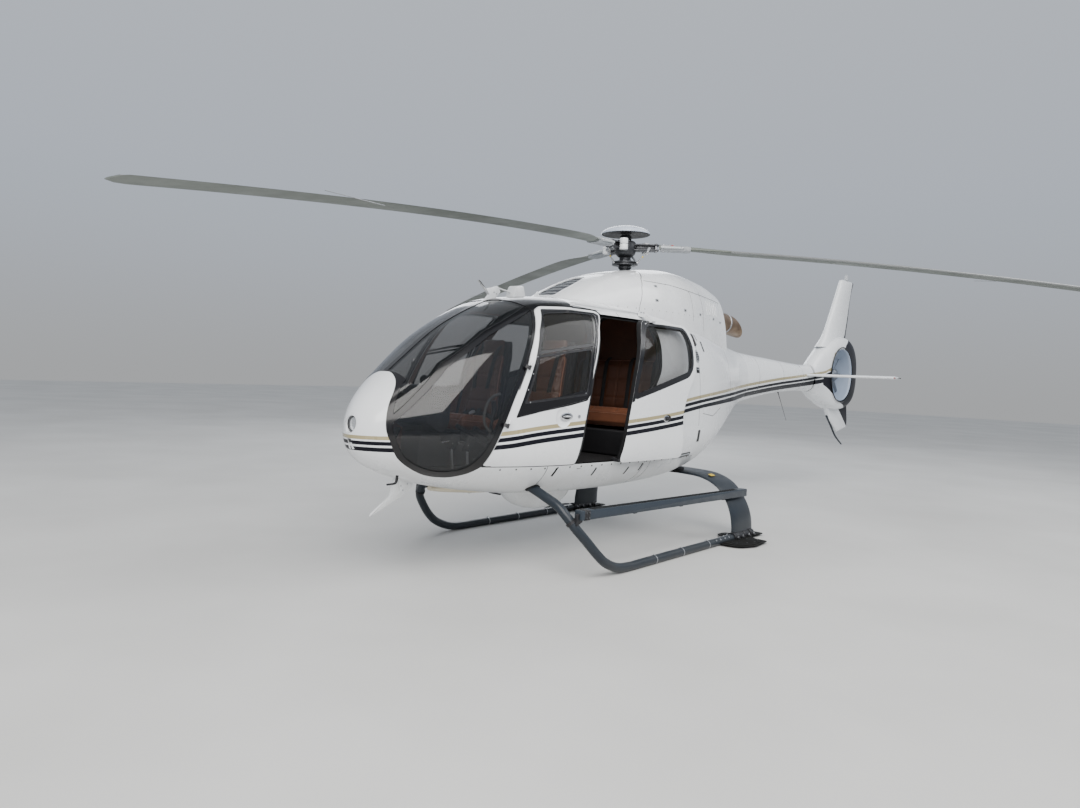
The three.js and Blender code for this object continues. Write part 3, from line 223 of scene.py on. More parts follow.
def skin_level(table, inset, points):
    """Below zero inside the skin, above zero outside it."""
    w, wide, top, bottom, upper, lower = columns_at(table, points[:, 1]).T
    dz = points[:, 2] - wide
    over = dz >= 0
    n = np.where(over, upper, lower)
    reach = np.maximum(np.where(over, top - wide, wide - bottom) - inset, 1)
    across = np.abs(points[:, 0]) / np.maximum(w - inset, 1)
    return (across**n + (np.abs(dz) / reach)**n + 1e-12)**(1 / n) - 1


def skin_normals(table, inset, points):
    """The outward normal at each point, and about how far each point lies from the skin."""
    step = 0.4
    level = skin_level(table, inset, points)
    grad = np.empty_like(points)
    for axis in range(3):
        shift = np.zeros(3)
        shift[axis] = step
        grad[:, axis] = (skin_level(table, inset, points + shift) - skin_level(table, inset,
                points - shift)) / (2 * step)
    size = np.maximum(np.linalg.norm(grad, axis=1), 1e-9)
    return grad / size[:, None], level / size


def ring_points(row, inset, sides):
    """The outline of a skin at one station, drawn in by the inset."""
    y, w, wide, top, bottom, upper, lower = row
    c, s = np.cos(turns(sides)), np.sin(turns(sides))
    power = 2 / np.where(s >= 0, upper, lower)
    reach = np.where(s >= 0, top - wide - inset, wide - bottom - inset)
    x = (w - inset) * np.sign(c) * np.abs(c)**power
    return np.stack([x, np.full(sides, y), wide + reach * np.sign(s) * np.abs(s)**power], 1)


def skin(table, inset=0.0, sides=112, spacing=50.0, y0=-1e9, y1=1e9):
    """A closed solid inside the skin of a table, between two stations."""
    rows = np.asarray(table, float)
    stops = []
    for a, b in zip(rows[:-1, 0], rows[1:, 0]):
        stops += list(np.linspace(a, b, max(2, int((b - a) / spacing) + 1))[:-1])
    stops = np.array(stops + [rows[-1, 0]])
    stops = stops[(stops >= y0) & (stops <= y1)]
    cols = columns_at(table, stops)
    keep = cols[:, 0] > max(inset, 0) * 1.5 + 3
    rings = [ring_points((y, *c), inset, sides) for y, c, k in zip(stops, cols, keep) if k]
    return loft(rings)


# Solids, as meshes in a scratch collection

def scratch_collection():
    found = bpy.data.collections.get("scratch")
    if found is None:
        found = bpy.data.collections.new("scratch")
        bpy.context.scene.collection.children.link(found)
    return found


def scratch_object(mesh):
    thing = bpy.data.objects.new("scratch", mesh)
    scratch_collection().objects.link(thing)
    return thing


def scratch_mesh(verts, faces):
    mesh = bpy.data.meshes.new("scratch")
    mesh.from_pydata([tuple(map(float, v)) for v in verts], [], faces)
    return scratch_object(mesh)


def volume_of(verts, faces):
    total = 0.0
    for face in faces:
        a = verts[face[0]]
        for j, k in zip(face[1:-1], face[2:]):
            total += float(np.dot(a, np.cross(verts[j], verts[k])))
    return total


def solid(verts, faces):
    """A closed mesh whose faces look outward."""
    verts = np.asarray(verts, float)
    if volume_of(verts - verts.mean(0), faces) < 0:
        faces = [tuple(reversed(face)) for face in faces]
    return scratch_mesh(verts, faces)


def loft(rings, closed=False):
    """A closed solid over rings of equal count that all turn the same way."""
    rings = [np.asarray(ring, float) for ring in rings]
    count = len(rings[0])
    verts = np.concatenate(rings)
    faces = []
    last = len(rings) if closed else len(rings) - 1
    for i in range(last):
        a = i * count
        b = ((i + 1) % len(rings)) * count
        faces += [(a + j, b + j, b + (j + 1) % count, a + (j + 1) % count) for j in range(count)]
    if not closed:
        faces += [
            tuple(range(count)),
            tuple(range(len(verts) - 1, len(verts) - 1 - count, -1)),
        ]
    return solid(verts, faces)


def box(x0, x1, y0, y1, z0, z1, edge=0.0):
    """A block with its upright and lengthwise edges softened by the edge."""
    e = edge
    if not e:
        return loft([[(x0, y, z0), (x1, y, z0), (x1, y, z1), (x0, y, z1)] for y in (y0, y1)])
    ring = [(x0 + e, z0), (x1 - e, z0), (x1, z0 + e), (x1, z1 - e), (x1 - e, z1), (x0 + e, z1), (x0, z1 - e),
            (x0, z0 + e)]
    shrunk = grown(ring, -e)
    layers = [(y0, shrunk), (y0 + e, ring), (y1 - e, ring), (y1, shrunk)]
    return loft([[(x, y, z) for x, z in outline] for y, outline in layers])


def outline_area(outline):
    p = np.asarray(outline, float)
    q = np.roll(p, -1, 0)
    return float((p[:, 0] * q[:, 1] - q[:, 0] * p[:, 1]).sum())


def grown(outline, distance):
    """The outline moved outward by the distance, or inward where it is negative."""
    p = np.asarray(outline, float)
    turn = np.sign(outline_area(p)) or 1.0
    step = np.roll(p, -1, 0) - p
    step /= np.maximum(np.linalg.norm(step, axis=1), 1e-9)[:, None]
    normal = turn * np.stack([step[:, 1], -step[:, 0]], 1)
    before = np.roll(normal, 1, 0)
    scale = distance / np.maximum(0.35, 1 + (normal * before).sum(1))
    return p + (normal + before) * scale[:, None]


def rounded(outline, radius, steps=6):
    """The outline with its corners rounded by arcs of the radius, or of as much as the edges allow."""
    p = [np.asarray(point, float) for point in outline]
    out = []
    for i, corner in enumerate(p):
        ends = []
        for other in (p[i - 1], p[(i + 1) % len(p)]):
            length = np.linalg.norm(other - corner)
            ends.append(corner + (other - corner) * min(radius, 0.45 * length) / length)
        for t in np.linspace(0, 1, steps + 1):
            out.append((1 - t)**2 * ends[0] + 2 * t * (1 - t) * corner + t**2 * ends[1])
    return np.array(out)


def strip(line, half):
    """A strip of the half width along a line of points, ending square."""
    p = np.asarray(line, float)
    step = directions(p)
    normal = np.stack([-step[:, 1], step[:, 0]], 1) * half
    return np.vstack([p + normal, (p - normal)[::-1]])


def side_prism(outline, x0=-FAR, x1=FAR):
    return loft([[(x, y, z) for y, z in outline] for x in (x0, x1)])


def on_side(outline, side, x0=0, x1=FAR):
    return side_prism(outline, x0, x1) if side > 0 else side_prism(outline, -x1, -x0)


def front_prism(outline, y0, y1):
    return loft([[(x, y, z) for x, z in outline] for y in (y0, y1)])


def top_prism(outline, z0, z1):
    return loft([[(x, y, z) for x, y in outline] for z in (z0, z1)])


def pillow(outline, layers, axis=0):
    """Layers of an outline at heights along an axis, each drawn in by its own inset."""
    rings = []
    for level, inset in layers:
        ring = grown(outline, -inset) if inset else np.asarray(outline, float)
        rings.append(np.insert(ring, axis, level, axis=1))
    return loft(rings)


def soft_layers(a, b, edge):
    """Layers from a to b with the edges rounded by the edge."""
    e = edge
    return [(a, e), (a + 0.3 * e, 0.3 * e), (a + e, 0), (b - e, 0), (b - 0.3 * e, 0.3 * e), (b, e)]


def spline(points, steps):
    """Points on a smooth curve through the given ones."""
    p = np.asarray(points, float)
    if len(p) == 2:
        return np.array([p[0] + (p[1] - p[0]) * t for t in np.linspace(0, 1, max(steps, 1) + 1)])
    length = np.concatenate([[0], np.cumsum(np.sqrt(np.linalg.norm(np.diff(p, axis=0), axis=1)))])
    table = np.column_stack([length, p])
    t = np.linspace(0, length[-1], steps + 1)
    return columns_at(table, t)


def directions(path):
    """The unit vector along the path at each of its points."""
    step = np.vstack([path[1:], path[-1:]]) - np.vstack([path[:1], path[:-1]])
    return step / np.maximum(np.linalg.norm(step, axis=1), 1e-9)[:, None]


def frames_along(path):
    """Two unit vectors across the path at each of its points, with no twist."""
    step = directions(path)
    start = np.array([0, 0, 1.0]) if abs(step[0][2]) < 0.9 else np.array([1.0, 0, 0])
    u = np.cross(step[0], start)
    out = []
    for d in step:
        u = u - d * np.dot(u, d)
        u /= np.linalg.norm(u)
        out.append((u, np.cross(d, u)))
    return out


def hoop(place, radius, u, v, sides):
    """A circle of points round a place, in the plane of two vectors."""
    angle = turns(sides)
    return place + radius * (np.outer(np.cos(angle), u) + np.outer(np.sin(angle), v))


def tube(points, radius, steps=40, sides=20):
    """A tube along a smooth curve; the radius may be a list with one value for each given point."""
    path = spline(points, steps)
    given = np.atleast_1d(radius)
    radii = np.interp(np.linspace(0, 1, len(path)), np.linspace(0, 1, len(given)), given)
    return loft([hoop(p, r, u, v, sides) for p, r, (u, v) in zip(path, radii, frames_along(path))])


def ribbon(points, width, thick, across, steps=24):
    """A flat strap along a smooth curve, its width lying along the vector across."""
    corners = ((-1, -0.4), (-0.94, -1), (0.94, -1), (1, -0.4), (1, 0.4), (0.94, 1), (-0.94, 1), (-1, 0.4))
    path = spline(points, steps)
    w = np.asarray(across, float) / np.linalg.norm(across)
    rings = []
    for p, d in zip(path, directions(path)):
        side = w - d * np.dot(w, d)
        side /= np.linalg.norm(side)
        up = np.cross(d, side)
        rings.append([p + side * a * width / 2 + up * b * thick / 2 for a, b in corners])
    return loft(rings)


def axis_turn(axis):
    """The turn that lays the Z axis along the given one."""
    return np.array(Vector(axis).normalized().to_track_quat("Z", "Y").to_matrix())


def lathe(profile, origin=(0, 0, 0), axis=(0, 0, 1), sides=40):
    """A solid turned from (radius, height) pairs about an axis, its ends closed at the middle."""
    turned = axis_turn(axis)
    angle = turns(sides)
    return loft([np.asarray(origin, float) + np.stack([r * np.cos(angle), r * np.sin(angle),
                                                       np.full(sides, h)], 1) @ turned.T for r, h in profile])


def ring_solid(profile, origin, axis, sides=48):
    """A ring turned from a closed profile of (radius, height) pairs."""
    turned = axis_turn(axis)
    rings = [np.array([(r * math.cos(a), r * math.sin(a), h) for r, h in profile]) @ turned.T
             for a in turns(sides)]
    return loft([ring + np.asarray(origin, float) for ring in rings], closed=True)


def rod(a, b, radius, end=None, sides=24, edge=0.0):
    """A round bar from a to b, its end edges softened by the edge."""
    a, b = np.asarray(a, float), np.asarray(b, float)
    length = float(np.linalg.norm(b - a))
    end = radius if end is None else end
    profile = [(radius, 0), (end, length)]
    if edge:
        profile = [(radius - edge, 0), (radius, edge), (end, length - edge), (end - edge, length)]
    return lathe(profile, a, b - a, sides)


def bolt(a, b, radius, edge=0.0):
    """A hexagon head or nut from a to b."""
    return rod(a, b, radius, sides=6, edge=edge)


def around(count, start=0.0):
    """The cosine and sine of each place on a circle of equal steps, from a start in degrees."""
    angle = turns(count) + math.radians(start)
    return list(zip(np.cos(angle), np.sin(angle)))


def slab(outline, corner, a, b, edge, axis=0, steps=6):
    """A block over an outline with round corners, from a to b along an axis, its edges softened."""
    return pillow(rounded(outline, corner, steps), soft_layers(a, b, edge), axis)


def ball(origin, radii, sides=20, rows=12):
    """An egg-shaped solid about its middle."""
    rings = []
    for k in range(1, rows):
        angle = math.pi * k / rows
        r, h = math.sin(angle), -math.cos(angle)
        ring = np.stack([r * np.cos(turns(sides)), r * np.sin(turns(sides)), np.full(sides, h)], 1)
        rings.append(ring * np.asarray(radii, float) + np.asarray(origin, float))
    return loft(rings)


def spin(degrees, axis):
    return Matrix.Rotation(math.radians(degrees), 4, axis)


def tilted(place, degrees):
    """A place turned about the X axis."""
    return Matrix.Translation(place) @ spin(degrees, "X")


def moved(thing, matrix):
    thing.data.transform(matrix)
    if matrix.determinant() < 0:
        thing.data.flip_normals()
    return thing


def copy(thing):
    return scratch_object(thing.data.copy())


def mirrored(thing):
    return moved(copy(thing), Matrix.Scale(-1, 4, Vector((1, 0, 0))))


def combine(target, tool, how):
    """A new solid from two others: DIFFERENCE, UNION or INTERSECT."""
    modifier = target.modifiers.new("cut", "BOOLEAN")
    modifier.operation = how
    modifier.solver = "MANIFOLD"
    modifier.object = tool
    graph = bpy.context.evaluated_depsgraph_get()
    mesh = bpy.data.meshes.new_from_object(target.evaluated_get(graph))
    target.modifiers.remove(modifier)
    if not mesh.polygons:
        raise RuntimeError("a cut left nothing")
    return scratch_object(mesh)


def cut(target, *tools):
    for tool in tools:
        target = combine(target, tool, "DIFFERENCE")
    return target


def common(target, *tools):
    for tool in tools:
        target = combine(target, tool, "INTERSECT")
    return target


def united(first, *others):
    for other in others:
        first = combine(first, other, "UNION")
    return first


def gathered(*things):
    """Several solids as one mesh, where they only stand in each other."""
    verts, faces, start = [], [], 0
    for thing in things:
        mesh = thing.data
        verts += [tuple(v.co) for v in mesh.vertices]
        faces += [tuple(start + i for i in p.vertices) for p in mesh.polygons]
        start += len(mesh.vertices)
    return scratch_mesh(verts, faces)


def mesh_points(mesh):
    co = np.empty(len(mesh.vertices) * 3, np.float32)
    mesh.vertices.foreach_get("co", co)
    return co.reshape(-1, 3).astype(float)


# Placing the pieces

def finish_piece(thing, name, body, materials, nodes=(), sharp=32.0, kinds=None, normals=None):
    """Names a solid, gives it its materials and shading, and hands it to the frame."""
    mesh = thing.data
    mesh.name = name
    thing.name = name
    if thing.name != name:
        raise RuntimeError("the name is taken: " + name)
    mesh.materials.clear()
    for material in materials:
        mesh.materials.append(material)
    if kinds is None:
        kinds = np.zeros(len(mesh.polygons), np.int32)
    mesh.polygons.foreach_set("material_index", np.asarray(kinds, np.int32))
    mesh.polygons.foreach_set("use_smooth", np.ones(len(mesh.polygons), bool))
    mesh.transform(TO_FRAME)
    mesh.update()
    mesh.set_sharp_from_angle(angle=math.radians(sharp))
    if normals is not None:
        mesh.normals_split_custom_set(normals)
    scratch_collection().objects.unlink(thing)
    bpy.context.scene.collection.objects.link(thing)
    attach(thing, body)
    if nodes:
        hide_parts(*nodes)
    return thing


def skin_piece(thing, table, name, body, materials, nodes=(), inset=0.0, wall=WALL, shift=(0, 0, 0),
               sharp=32.0):
    """A piece whose outer and inner faces follow a table's skin exactly, so they shade as one smooth form.
    Materials: outer surface, inner surface, edges and the floors of grooves."""
    mesh = thing.data
    points = mesh_points(mesh)
    count = len(mesh.polygons)
    outer_n, outer_d = skin_normals(table, inset, points)
    inner_n, inner_d = skin_normals(table, inset + wall, points)
    sizes = np.empty(count, np.int32)
    mesh.polygons.foreach_get("loop_total", sizes)
    corners = np.empty(len(mesh.loops), np.int32)
    mesh.loops.foreach_get("vertex_index", corners)
    starts = np.concatenate([[0], np.cumsum(sizes)[:-1]])
    near = 1.6
    outer = np.minimum.reduceat((np.abs(outer_d[corners]) < near).astype(int), starts)
    inner = np.minimum.reduceat((np.abs(inner_d[corners]) < near).astype(int), starts)
    flat = np.empty(count * 3, np.float32)
    mesh.polygons.foreach_get("normal", flat)
    flat = flat.reshape(-1, 3)
    middle = np.add.reduceat(outer_n[corners], starts) / sizes[:, None]
    outer &= (flat * middle).sum(1) > 0.8
    kinds = np.where(outer == 1, 0, np.where(inner == 1, 1, 2))
    kinds = np.minimum(kinds, len(materials) - 1)
    owner = np.repeat(np.arange(count), sizes)
    normals = np.zeros((len(corners), 3))
    on_outer = outer[owner] == 1
    on_inner = (inner[owner] == 1) & ~on_outer
    normals[on_outer] = outer_n[corners][on_outer]
    normals[on_inner] = -inner_n[corners][on_inner]
    if any(shift):
        moved(thing, Matrix.Translation(Vector(shift)))
    return finish_piece(thing, name, body, materials, nodes, sharp, kinds, normals)


# Shader nodes

def tone(color, factor=1.0, plus=0.0):
    """The colour made lighter or darker, with its alpha."""
    return tuple(min(1.0, c * factor + plus) for c in color) + (1.0,)


class Nodes:
    """Adds and links nodes in one tree."""

    def __init__(self, tree):
        self.tree = tree

    def add(self, kind, *inputs, out=0, **settings):
        node = self.tree.nodes.new("ShaderNode" + kind)
        for key, value in settings.items():
            setattr(node, key, value)
        self.fill(node, inputs[0] if inputs and isinstance(inputs[0], dict) else dict(enumerate(inputs)))
        return node.outputs[out] if out is not None else node

    def fill(self, node, values):
        """Sets or links the node's inputs, each by its name or number."""
        for key, value in values.items():
            if isinstance(value, bpy.types.NodeSocket):
                self.tree.links.new(value, node.inputs[key])
            else:
                node.inputs[key].default_value = value

    def math(self, how, *values, clamp=False):
        return self.add("Math", *values, operation=how, use_clamp=clamp)

    def times(self, first, *others):
        for other in others:
            first = self.math("MULTIPLY", first, other)
        return first

    def plus(self, a, b):
        return self.math("ADD", a, b)

    def minus(self, a, b):
        return self.math("SUBTRACT", a, b)

    def above(self, a, b):
        return self.math("GREATER_THAN", a, b)

    def below(self, a, b):
        return self.math("LESS_THAN", a, b)

    def mix(self, share, a, b):
        return self.add("Mix", {0: share, 6: a, 7: b}, out=2, data_type="RGBA")

    def span(self, value, a, b, c=0.0, d=1.0, smooth=False):
        kind = "SMOOTHSTEP" if smooth else "LINEAR"
        return self.add("MapRange", value, a, b, c, d, interpolation_type=kind)

    def noise(self, place, scale, detail=3.0, rough=0.55):
        return self.add("TexNoise", {"Vector": place, "Scale": scale, "Detail": detail, "Roughness": rough})

    def bump(self, strength, distance, height):
        return self.add("Bump", {"Strength": strength, "Distance": distance, "Height": height})

    def use(self, name, **inputs):
        """The outputs of a node group laid into this tree."""
        node = self.add("Group", out=None, node_tree=bpy.data.node_groups[name])
        self.fill(node, inputs)
        return node.outputs

    def curve(self, value, points, handle="AUTO_CLAMPED"):
        """A curve through (place, height) points, back in their own units."""
        p = np.asarray(points, float)
        (x0, z0), (x1, z1) = p.min(0), p.max(0)
        node = self.add("FloatCurve", out=None)
        line = node.mapping.curves[0]
        unit = (p - (x0, z0)) / (x1 - x0, z1 - z0)
        line.points[0].location, line.points[1].location = unit[0], unit[-1]
        for x, z in unit[1:-1]:
            line.points.new(x, z)
        for point in line.points:
            point.handle_type = handle
        node.mapping.update()
        self.fill(node, {"Value": self.span(value, x0, x1)})
        return self.span(node.outputs[0], 0.0, 1.0, z0, z1)


def group(name, inputs, *outputs):
    """A new node group laid out by place: its Nodes helper, its inputs' sockets and its output node."""
    tree = bpy.data.node_groups.new(name, "ShaderNodeTree")
    for label, default in {"Place": None, **inputs}.items():
        kind = "NodeSocketFloat" if isinstance(default, float) else "NodeSocketVector"
        socket = tree.interface.new_socket(label, in_out="INPUT", socket_type=kind)
        if default is not None:
            socket.default_value = default
    for label in outputs:
        tree.interface.new_socket(label, in_out="OUTPUT", socket_type="NodeSocketFloat")
    return Nodes(tree), tree.nodes.new("NodeGroupInput").outputs, tree.nodes.new("NodeGroupOutput")


def grain_group():
    """Fine and coarse unevenness of a painted or moulded surface."""
    n, ins, outs = group("Surface grain", {"Fine": 400.0, "Coarse": 6.0}, "Height", "Patches")
    n.fill(outs, {"Height": n.noise(ins["Place"], ins["Fine"], 2.0),
                  "Patches": n.span(n.noise(ins["Place"], ins["Coarse"], 4.0, 0.6), 0.35, 0.65)})


def dust_group():
    """Dust and splashes that lie thicker towards the ground."""
    n, ins, outs = group("Ground dust", {"Low": 0.4, "High": 1.1, "Amount": 0.3}, "Mask")
    low = n.span(n.add("SeparateXYZ", ins["Place"], out=2), ins["High"], ins["Low"], smooth=True)
    spots = n.span(n.noise(ins["Place"], 60.0, 5.0, 0.7), 0.42, 0.75)
    clouds = n.span(n.noise(ins["Place"], 4.0, 5.0, 0.6), 0.3, 0.8)
    both = n.times(n.plus(n.times(spots, 0.6), clouds), low)
    n.fill(outs, {"Mask": n.math("MULTIPLY", both, ins["Amount"], clamp=True)})


def wear_group():
    """Rubbed edges, broken up by noise."""
    n, ins, outs = group("Edge wear", {"Amount": 0.5, "Scale": 40.0}, "Mask")
    sharp = n.span(n.add("NewGeometry", out="Pointiness"), 0.505, 0.56)
    breaks = n.span(n.noise(ins["Place"], ins["Scale"], 5.0, 0.7), 0.4, 0.65)
    n.fill(outs, {"Mask": n.math("MULTIPLY", n.times(sharp, breaks), ins["Amount"], clamp=True)})


def rub_group():
    """Long faint scratches and rubs."""
    n, ins, outs = group("Rubs", {"Stretch": (1.0, 20.0, 20.0), "Amount": 0.3}, "Mask")
    laid = n.add("VectorMath", ins["Place"], ins["Stretch"], operation="MULTIPLY")
    lines = n.span(n.noise(laid, 30.0, 4.0, 0.7), 0.6, 0.72)
    n.fill(outs, {"Mask": n.math("MULTIPLY", lines, ins["Amount"], clamp=True)})


def stripe_group():
    """Masks of the gold stripe and of the black bands and black tail, by place in metres from the mast."""
    n, ins, outs = group("Flank stripes", {}, "Gold", "Black")
    split = n.add("SeparateXYZ", ins["Place"], out=None)
    y, z = split.outputs[1], split.outputs[2]
    flank = n.curve(y, [p for p in STRIPE_TOP if p[0] <= 5.1])
    tail = n.curve(y, [p for p in STRIPE_TOP if p[0] >= 4.935], "VECTOR")
    behind = n.above(y, 5.0)
    top = n.plus(n.times(flank, n.minus(1.0, behind)), n.times(tail, behind))
    under = n.math("DIVIDE", n.minus(top, z), n.span(y, -3.1, -2.2, 0.84, 1.0))
    wide = n.span(y, 0.5, 2.4)

    def band(a, more_a, b, more_b):
        start = n.plus(n.times(wide, more_a), a)
        end = n.plus(n.times(wide, more_b), b)
        return n.times(n.above(under, start), n.below(under, end))

    steep = n.times(n.span(y, 5.08, 5.2), n.span(y, 5.42, 5.3))
    reach = n.plus(n.times(steep, 0.035), n.plus(n.times(wide, 0.004), 0.031))
    gold = n.times(n.above(under, 0.0), n.below(under, reach), n.below(y, 5.42))
    bands = n.math("MAXIMUM", band(0.045, 0.014, 0.077, 0.018), band(0.095, 0.014, 0.131, 0.040))
    bands = n.times(bands, n.below(y, 4.93))
    lower = n.curve(y, TAIL_LOWER, "VECTOR")
    tail_edge = n.plus(n.times(n.below(y, 5.42), 0.03), 0.022)
    zone = n.times(n.above(z, lower), n.above(under, tail_edge), n.above(y, 4.9))
    fin_edge = n.plus(n.times(n.minus(z, 2.35), 0.265), 5.995)
    rim = n.times(n.above(y, fin_edge), n.above(z, lower), n.above(y, 5.2))
    n.fill(outs, {"Gold": n.times(gold, n.minus(1.0, rim)),
                  "Black": n.math("MAXIMUM", bands, n.math("MAXIMUM", zone, rim))})


def leather_group():
    """Pebbled leather: fine cells with creases."""
    n, ins, outs = group("Leather grain", {"Scale": 420.0}, "Height", "Rub")
    cells = n.add("TexVoronoi", {"Vector": ins["Place"], "Scale": ins["Scale"]}, feature="DISTANCE_TO_EDGE")
    creases = n.noise(ins["Place"], 90.0, 4.0, 0.6)
    n.fill(outs, {"Height": n.plus(n.span(cells, 0.0, 0.25), n.times(creases, 0.6)),
                  "Rub": n.span(n.noise(ins["Place"], 7.0, 4.0, 0.6), 0.35, 0.7)})


def weave_group():
    """A mesh or a looped pile, by the directions of its threads."""
    n, ins, outs = group("Weave", {"Scale": 900.0}, "Height")
    split = n.add("SeparateXYZ", ins["Place"], out=None)
    a, b, c = [n.math("SINE", n.times(split.outputs[k], ins["Scale"])) for k in range(3)]
    n.fill(outs, {"Height": n.plus(n.plus(n.times(a, b), n.times(b, c)), n.times(a, c))})


def new_material(name):
    material = bpy.data.materials.new(name)
    material.use_nodes = True
    n = Nodes(material.node_tree)
    return material, n, material.node_tree.nodes["Principled BSDF"], n.add("TexCoord", out="Object")


def surface(name, color, rough, metallic=0.0, coat=0.0, fine=400.0, coarse=6.0, bump=0.05, depth=0.0004,
            tint=0.93, dust=0.0, dust_low=0.3, dust_high=1.0, wear=0.0, worn=(0.5, 0.5, 0.5), rub=0.0,
            stretch=(1, 20, 20), spec=0.5):
    """A painted, moulded or metal surface with grain, patches, dust, worn edges and rubs."""
    material, n, shader, place = new_material(name)
    grain = n.use("Surface grain", Place=place, Fine=fine, Coarse=coarse)
    shade = n.mix(grain["Patches"], tone(color, tint), tone(color))
    roughness = n.span(grain["Patches"], 0.0, 1.0, rough * 1.15, rough * 0.88)
    if rub:
        mask = n.use("Rubs", Place=place, Stretch=stretch, Amount=rub)["Mask"]
        shade = n.mix(mask, shade, tone(color, 1.5, 0.03))
        roughness = n.plus(roughness, n.times(mask, 0.15))
    if wear:
        mask = n.use("Edge wear", Place=place, Amount=wear)["Mask"]
        shade = n.mix(mask, shade, tone(worn))
    if dust:
        mask = n.use("Ground dust", Place=place, Low=dust_low, High=dust_high, Amount=dust)["Mask"]
        shade = n.mix(mask, shade, (0.33, 0.29, 0.22, 1.0))
        roughness = n.plus(roughness, n.times(mask, 0.4))
    if coat:
        n.fill(shader, {"Coat Weight": coat, "Coat Roughness": 0.06})
    n.fill(shader, {"Base Color": shade, "Roughness": roughness, "Metallic": metallic,
                    "Specular IOR Level": spec, "Normal": n.bump(bump, depth, grain["Height"])})
    return material


def striped_paint(name, colours, shift=(0, 0, 0)):
    """White gloss paint with the gold stripe, the black bands and the black tail."""
    material, n, shader, place = new_material(name)
    mast = tuple(-(m * MM) - s * MM for m, s in zip(MAST, shift))
    masks = n.use("Flank stripes", Place=n.add("VectorMath", place, mast, operation="ADD"))
    grain = n.use("Surface grain", Place=place, Fine=700.0, Coarse=2.5)
    dust = n.use("Ground dust", Place=place, Low=0.45, High=1.15, Amount=0.30)["Mask"]
    shade = n.mix(grain["Patches"], tone(colours.white, 0.965), tone(colours.white))
    shade = n.mix(masks["Gold"], shade, tone(colours.gold))
    shade = n.mix(masks["Black"], shade, tone(colours.stripe))
    dust = n.times(dust, n.span(masks["Black"], 0.0, 1.0, 1.0, 0.15))
    rough = n.plus(n.span(grain["Patches"], 0.0, 1.0, 0.30, 0.22), n.times(dust, 0.35))
    n.fill(shader, {"Base Color": n.mix(dust, shade, (0.36, 0.32, 0.25, 1.0)),
                    "Roughness": n.plus(rough, n.times(masks["Black"], 0.12)),
                    "Coat Weight": n.span(masks["Black"], 0.0, 1.0, 0.6, 0.0), "Coat Roughness": 0.07,
                    "Specular IOR Level": n.span(masks["Black"], 0.0, 1.0, 0.5, 0.14),
                    "Normal": n.bump(0.04, 0.0004, grain["Height"])})
    return material


def glazing(name, color, thin, thick, rough=0.03):
    """Tinted glass: clearer face on, more mirror-like at a glance."""
    material, n, shader, place = new_material(name)
    smudge = n.use("Surface grain", Place=place, Fine=90.0, Coarse=3.0)["Patches"]
    slant = n.math("POWER", n.add("LayerWeight", {"Blend": 0.5}, out="Facing"), 4.0)
    n.fill(shader, {"Base Color": n.mix(smudge, tone(color), tone(color, 0.8)),
                    "Roughness": n.span(smudge, 0.0, 1.0, rough, rough * 2.2),
                    "Alpha": n.math("ADD", n.times(slant, thick - thin), thin, clamp=True),
                    "IOR": 1.6, "Coat Weight": 0.5, "Coat Roughness": 0.02})
    return material


def leather(name, color):
    """Pebbled leather, paler where it is rubbed."""
    material, n, shader, place = new_material(name)
    hide = n.use("Leather grain", Place=place, Scale=520.0)
    wear = n.use("Edge wear", Place=place, Amount=0.35, Scale=25.0)["Mask"]
    base = n.mix(hide["Rub"], tone(color, 0.82), tone(color))
    n.fill(shader, {"Base Color": n.mix(wear, base, tone(color, 1.35)),
                    "Roughness": n.span(hide["Rub"], 0.0, 1.0, 0.5, 0.38), "Sheen Weight": 0.08,
                    "Normal": n.bump(0.35, 0.0006, hide["Height"])})
    return material


def woven(name, color, scale, rough=0.9, bump=0.5, spec=0.3):
    """Webbing, carpet or a metal screen."""
    material, n, shader, place = new_material(name)
    height = n.use("Weave", Place=place, Scale=scale)["Height"]
    grain = n.use("Surface grain", Place=place, Fine=300.0, Coarse=5.0)
    # The low parts of the weave are painted darker: painted shade between the threads.
    lit = n.mix(n.span(height, -0.6, 1.0), tone(color, 0.55), tone(color))
    n.fill(shader, {"Base Color": n.mix(n.times(grain["Patches"], 0.3), lit, tone(color, 1.3)),
                    "Roughness": rough, "Specular IOR Level": spec, "Normal": n.bump(bump, 0.0008, height)})
    return material


def heated_metal(name, color):
    """Exhaust metal, browned by heat towards its open end."""
    material, n, shader, place = new_material(name)
    hot = n.span(n.add("SeparateXYZ", place, out=1), 0.9, 1.75)
    grain = n.use("Surface grain", Place=place, Fine=250.0, Coarse=9.0)
    cool = n.mix(grain["Patches"], tone(color, 0.85), tone(color))
    brown = n.mix(grain["Patches"], (0.16, 0.10, 0.06, 1.0), (0.26, 0.18, 0.11, 1.0))
    n.fill(shader, {"Base Color": n.mix(hot, cool, brown), "Metallic": 0.85,
                    "Roughness": n.span(grain["Patches"], 0.0, 1.0, 0.48, 0.34),
                    "Normal": n.bump(0.1, 0.0005, grain["Height"])})
    return material


def glowing(name, color, strength):
    """A screen or a lamp's face that gives off a little light."""
    material, n, shader, place = new_material(name)
    lines = n.math("SINE", n.times(n.add("SeparateXYZ", place, out=2), 700.0))
    lines = n.span(lines, -1.0, 1.0, 0.7, 1.0)
    n.fill(shader, {"Base Color": n.mix(lines, (0.01, 0.01, 0.012, 1.0), tone(color)),
                    "Emission Color": n.mix(lines, (0.0, 0.0, 0.0, 1.0), tone(color)),
                    "Emission Strength": strength, "Roughness": 0.15})
    return material


MATERIALS = {}


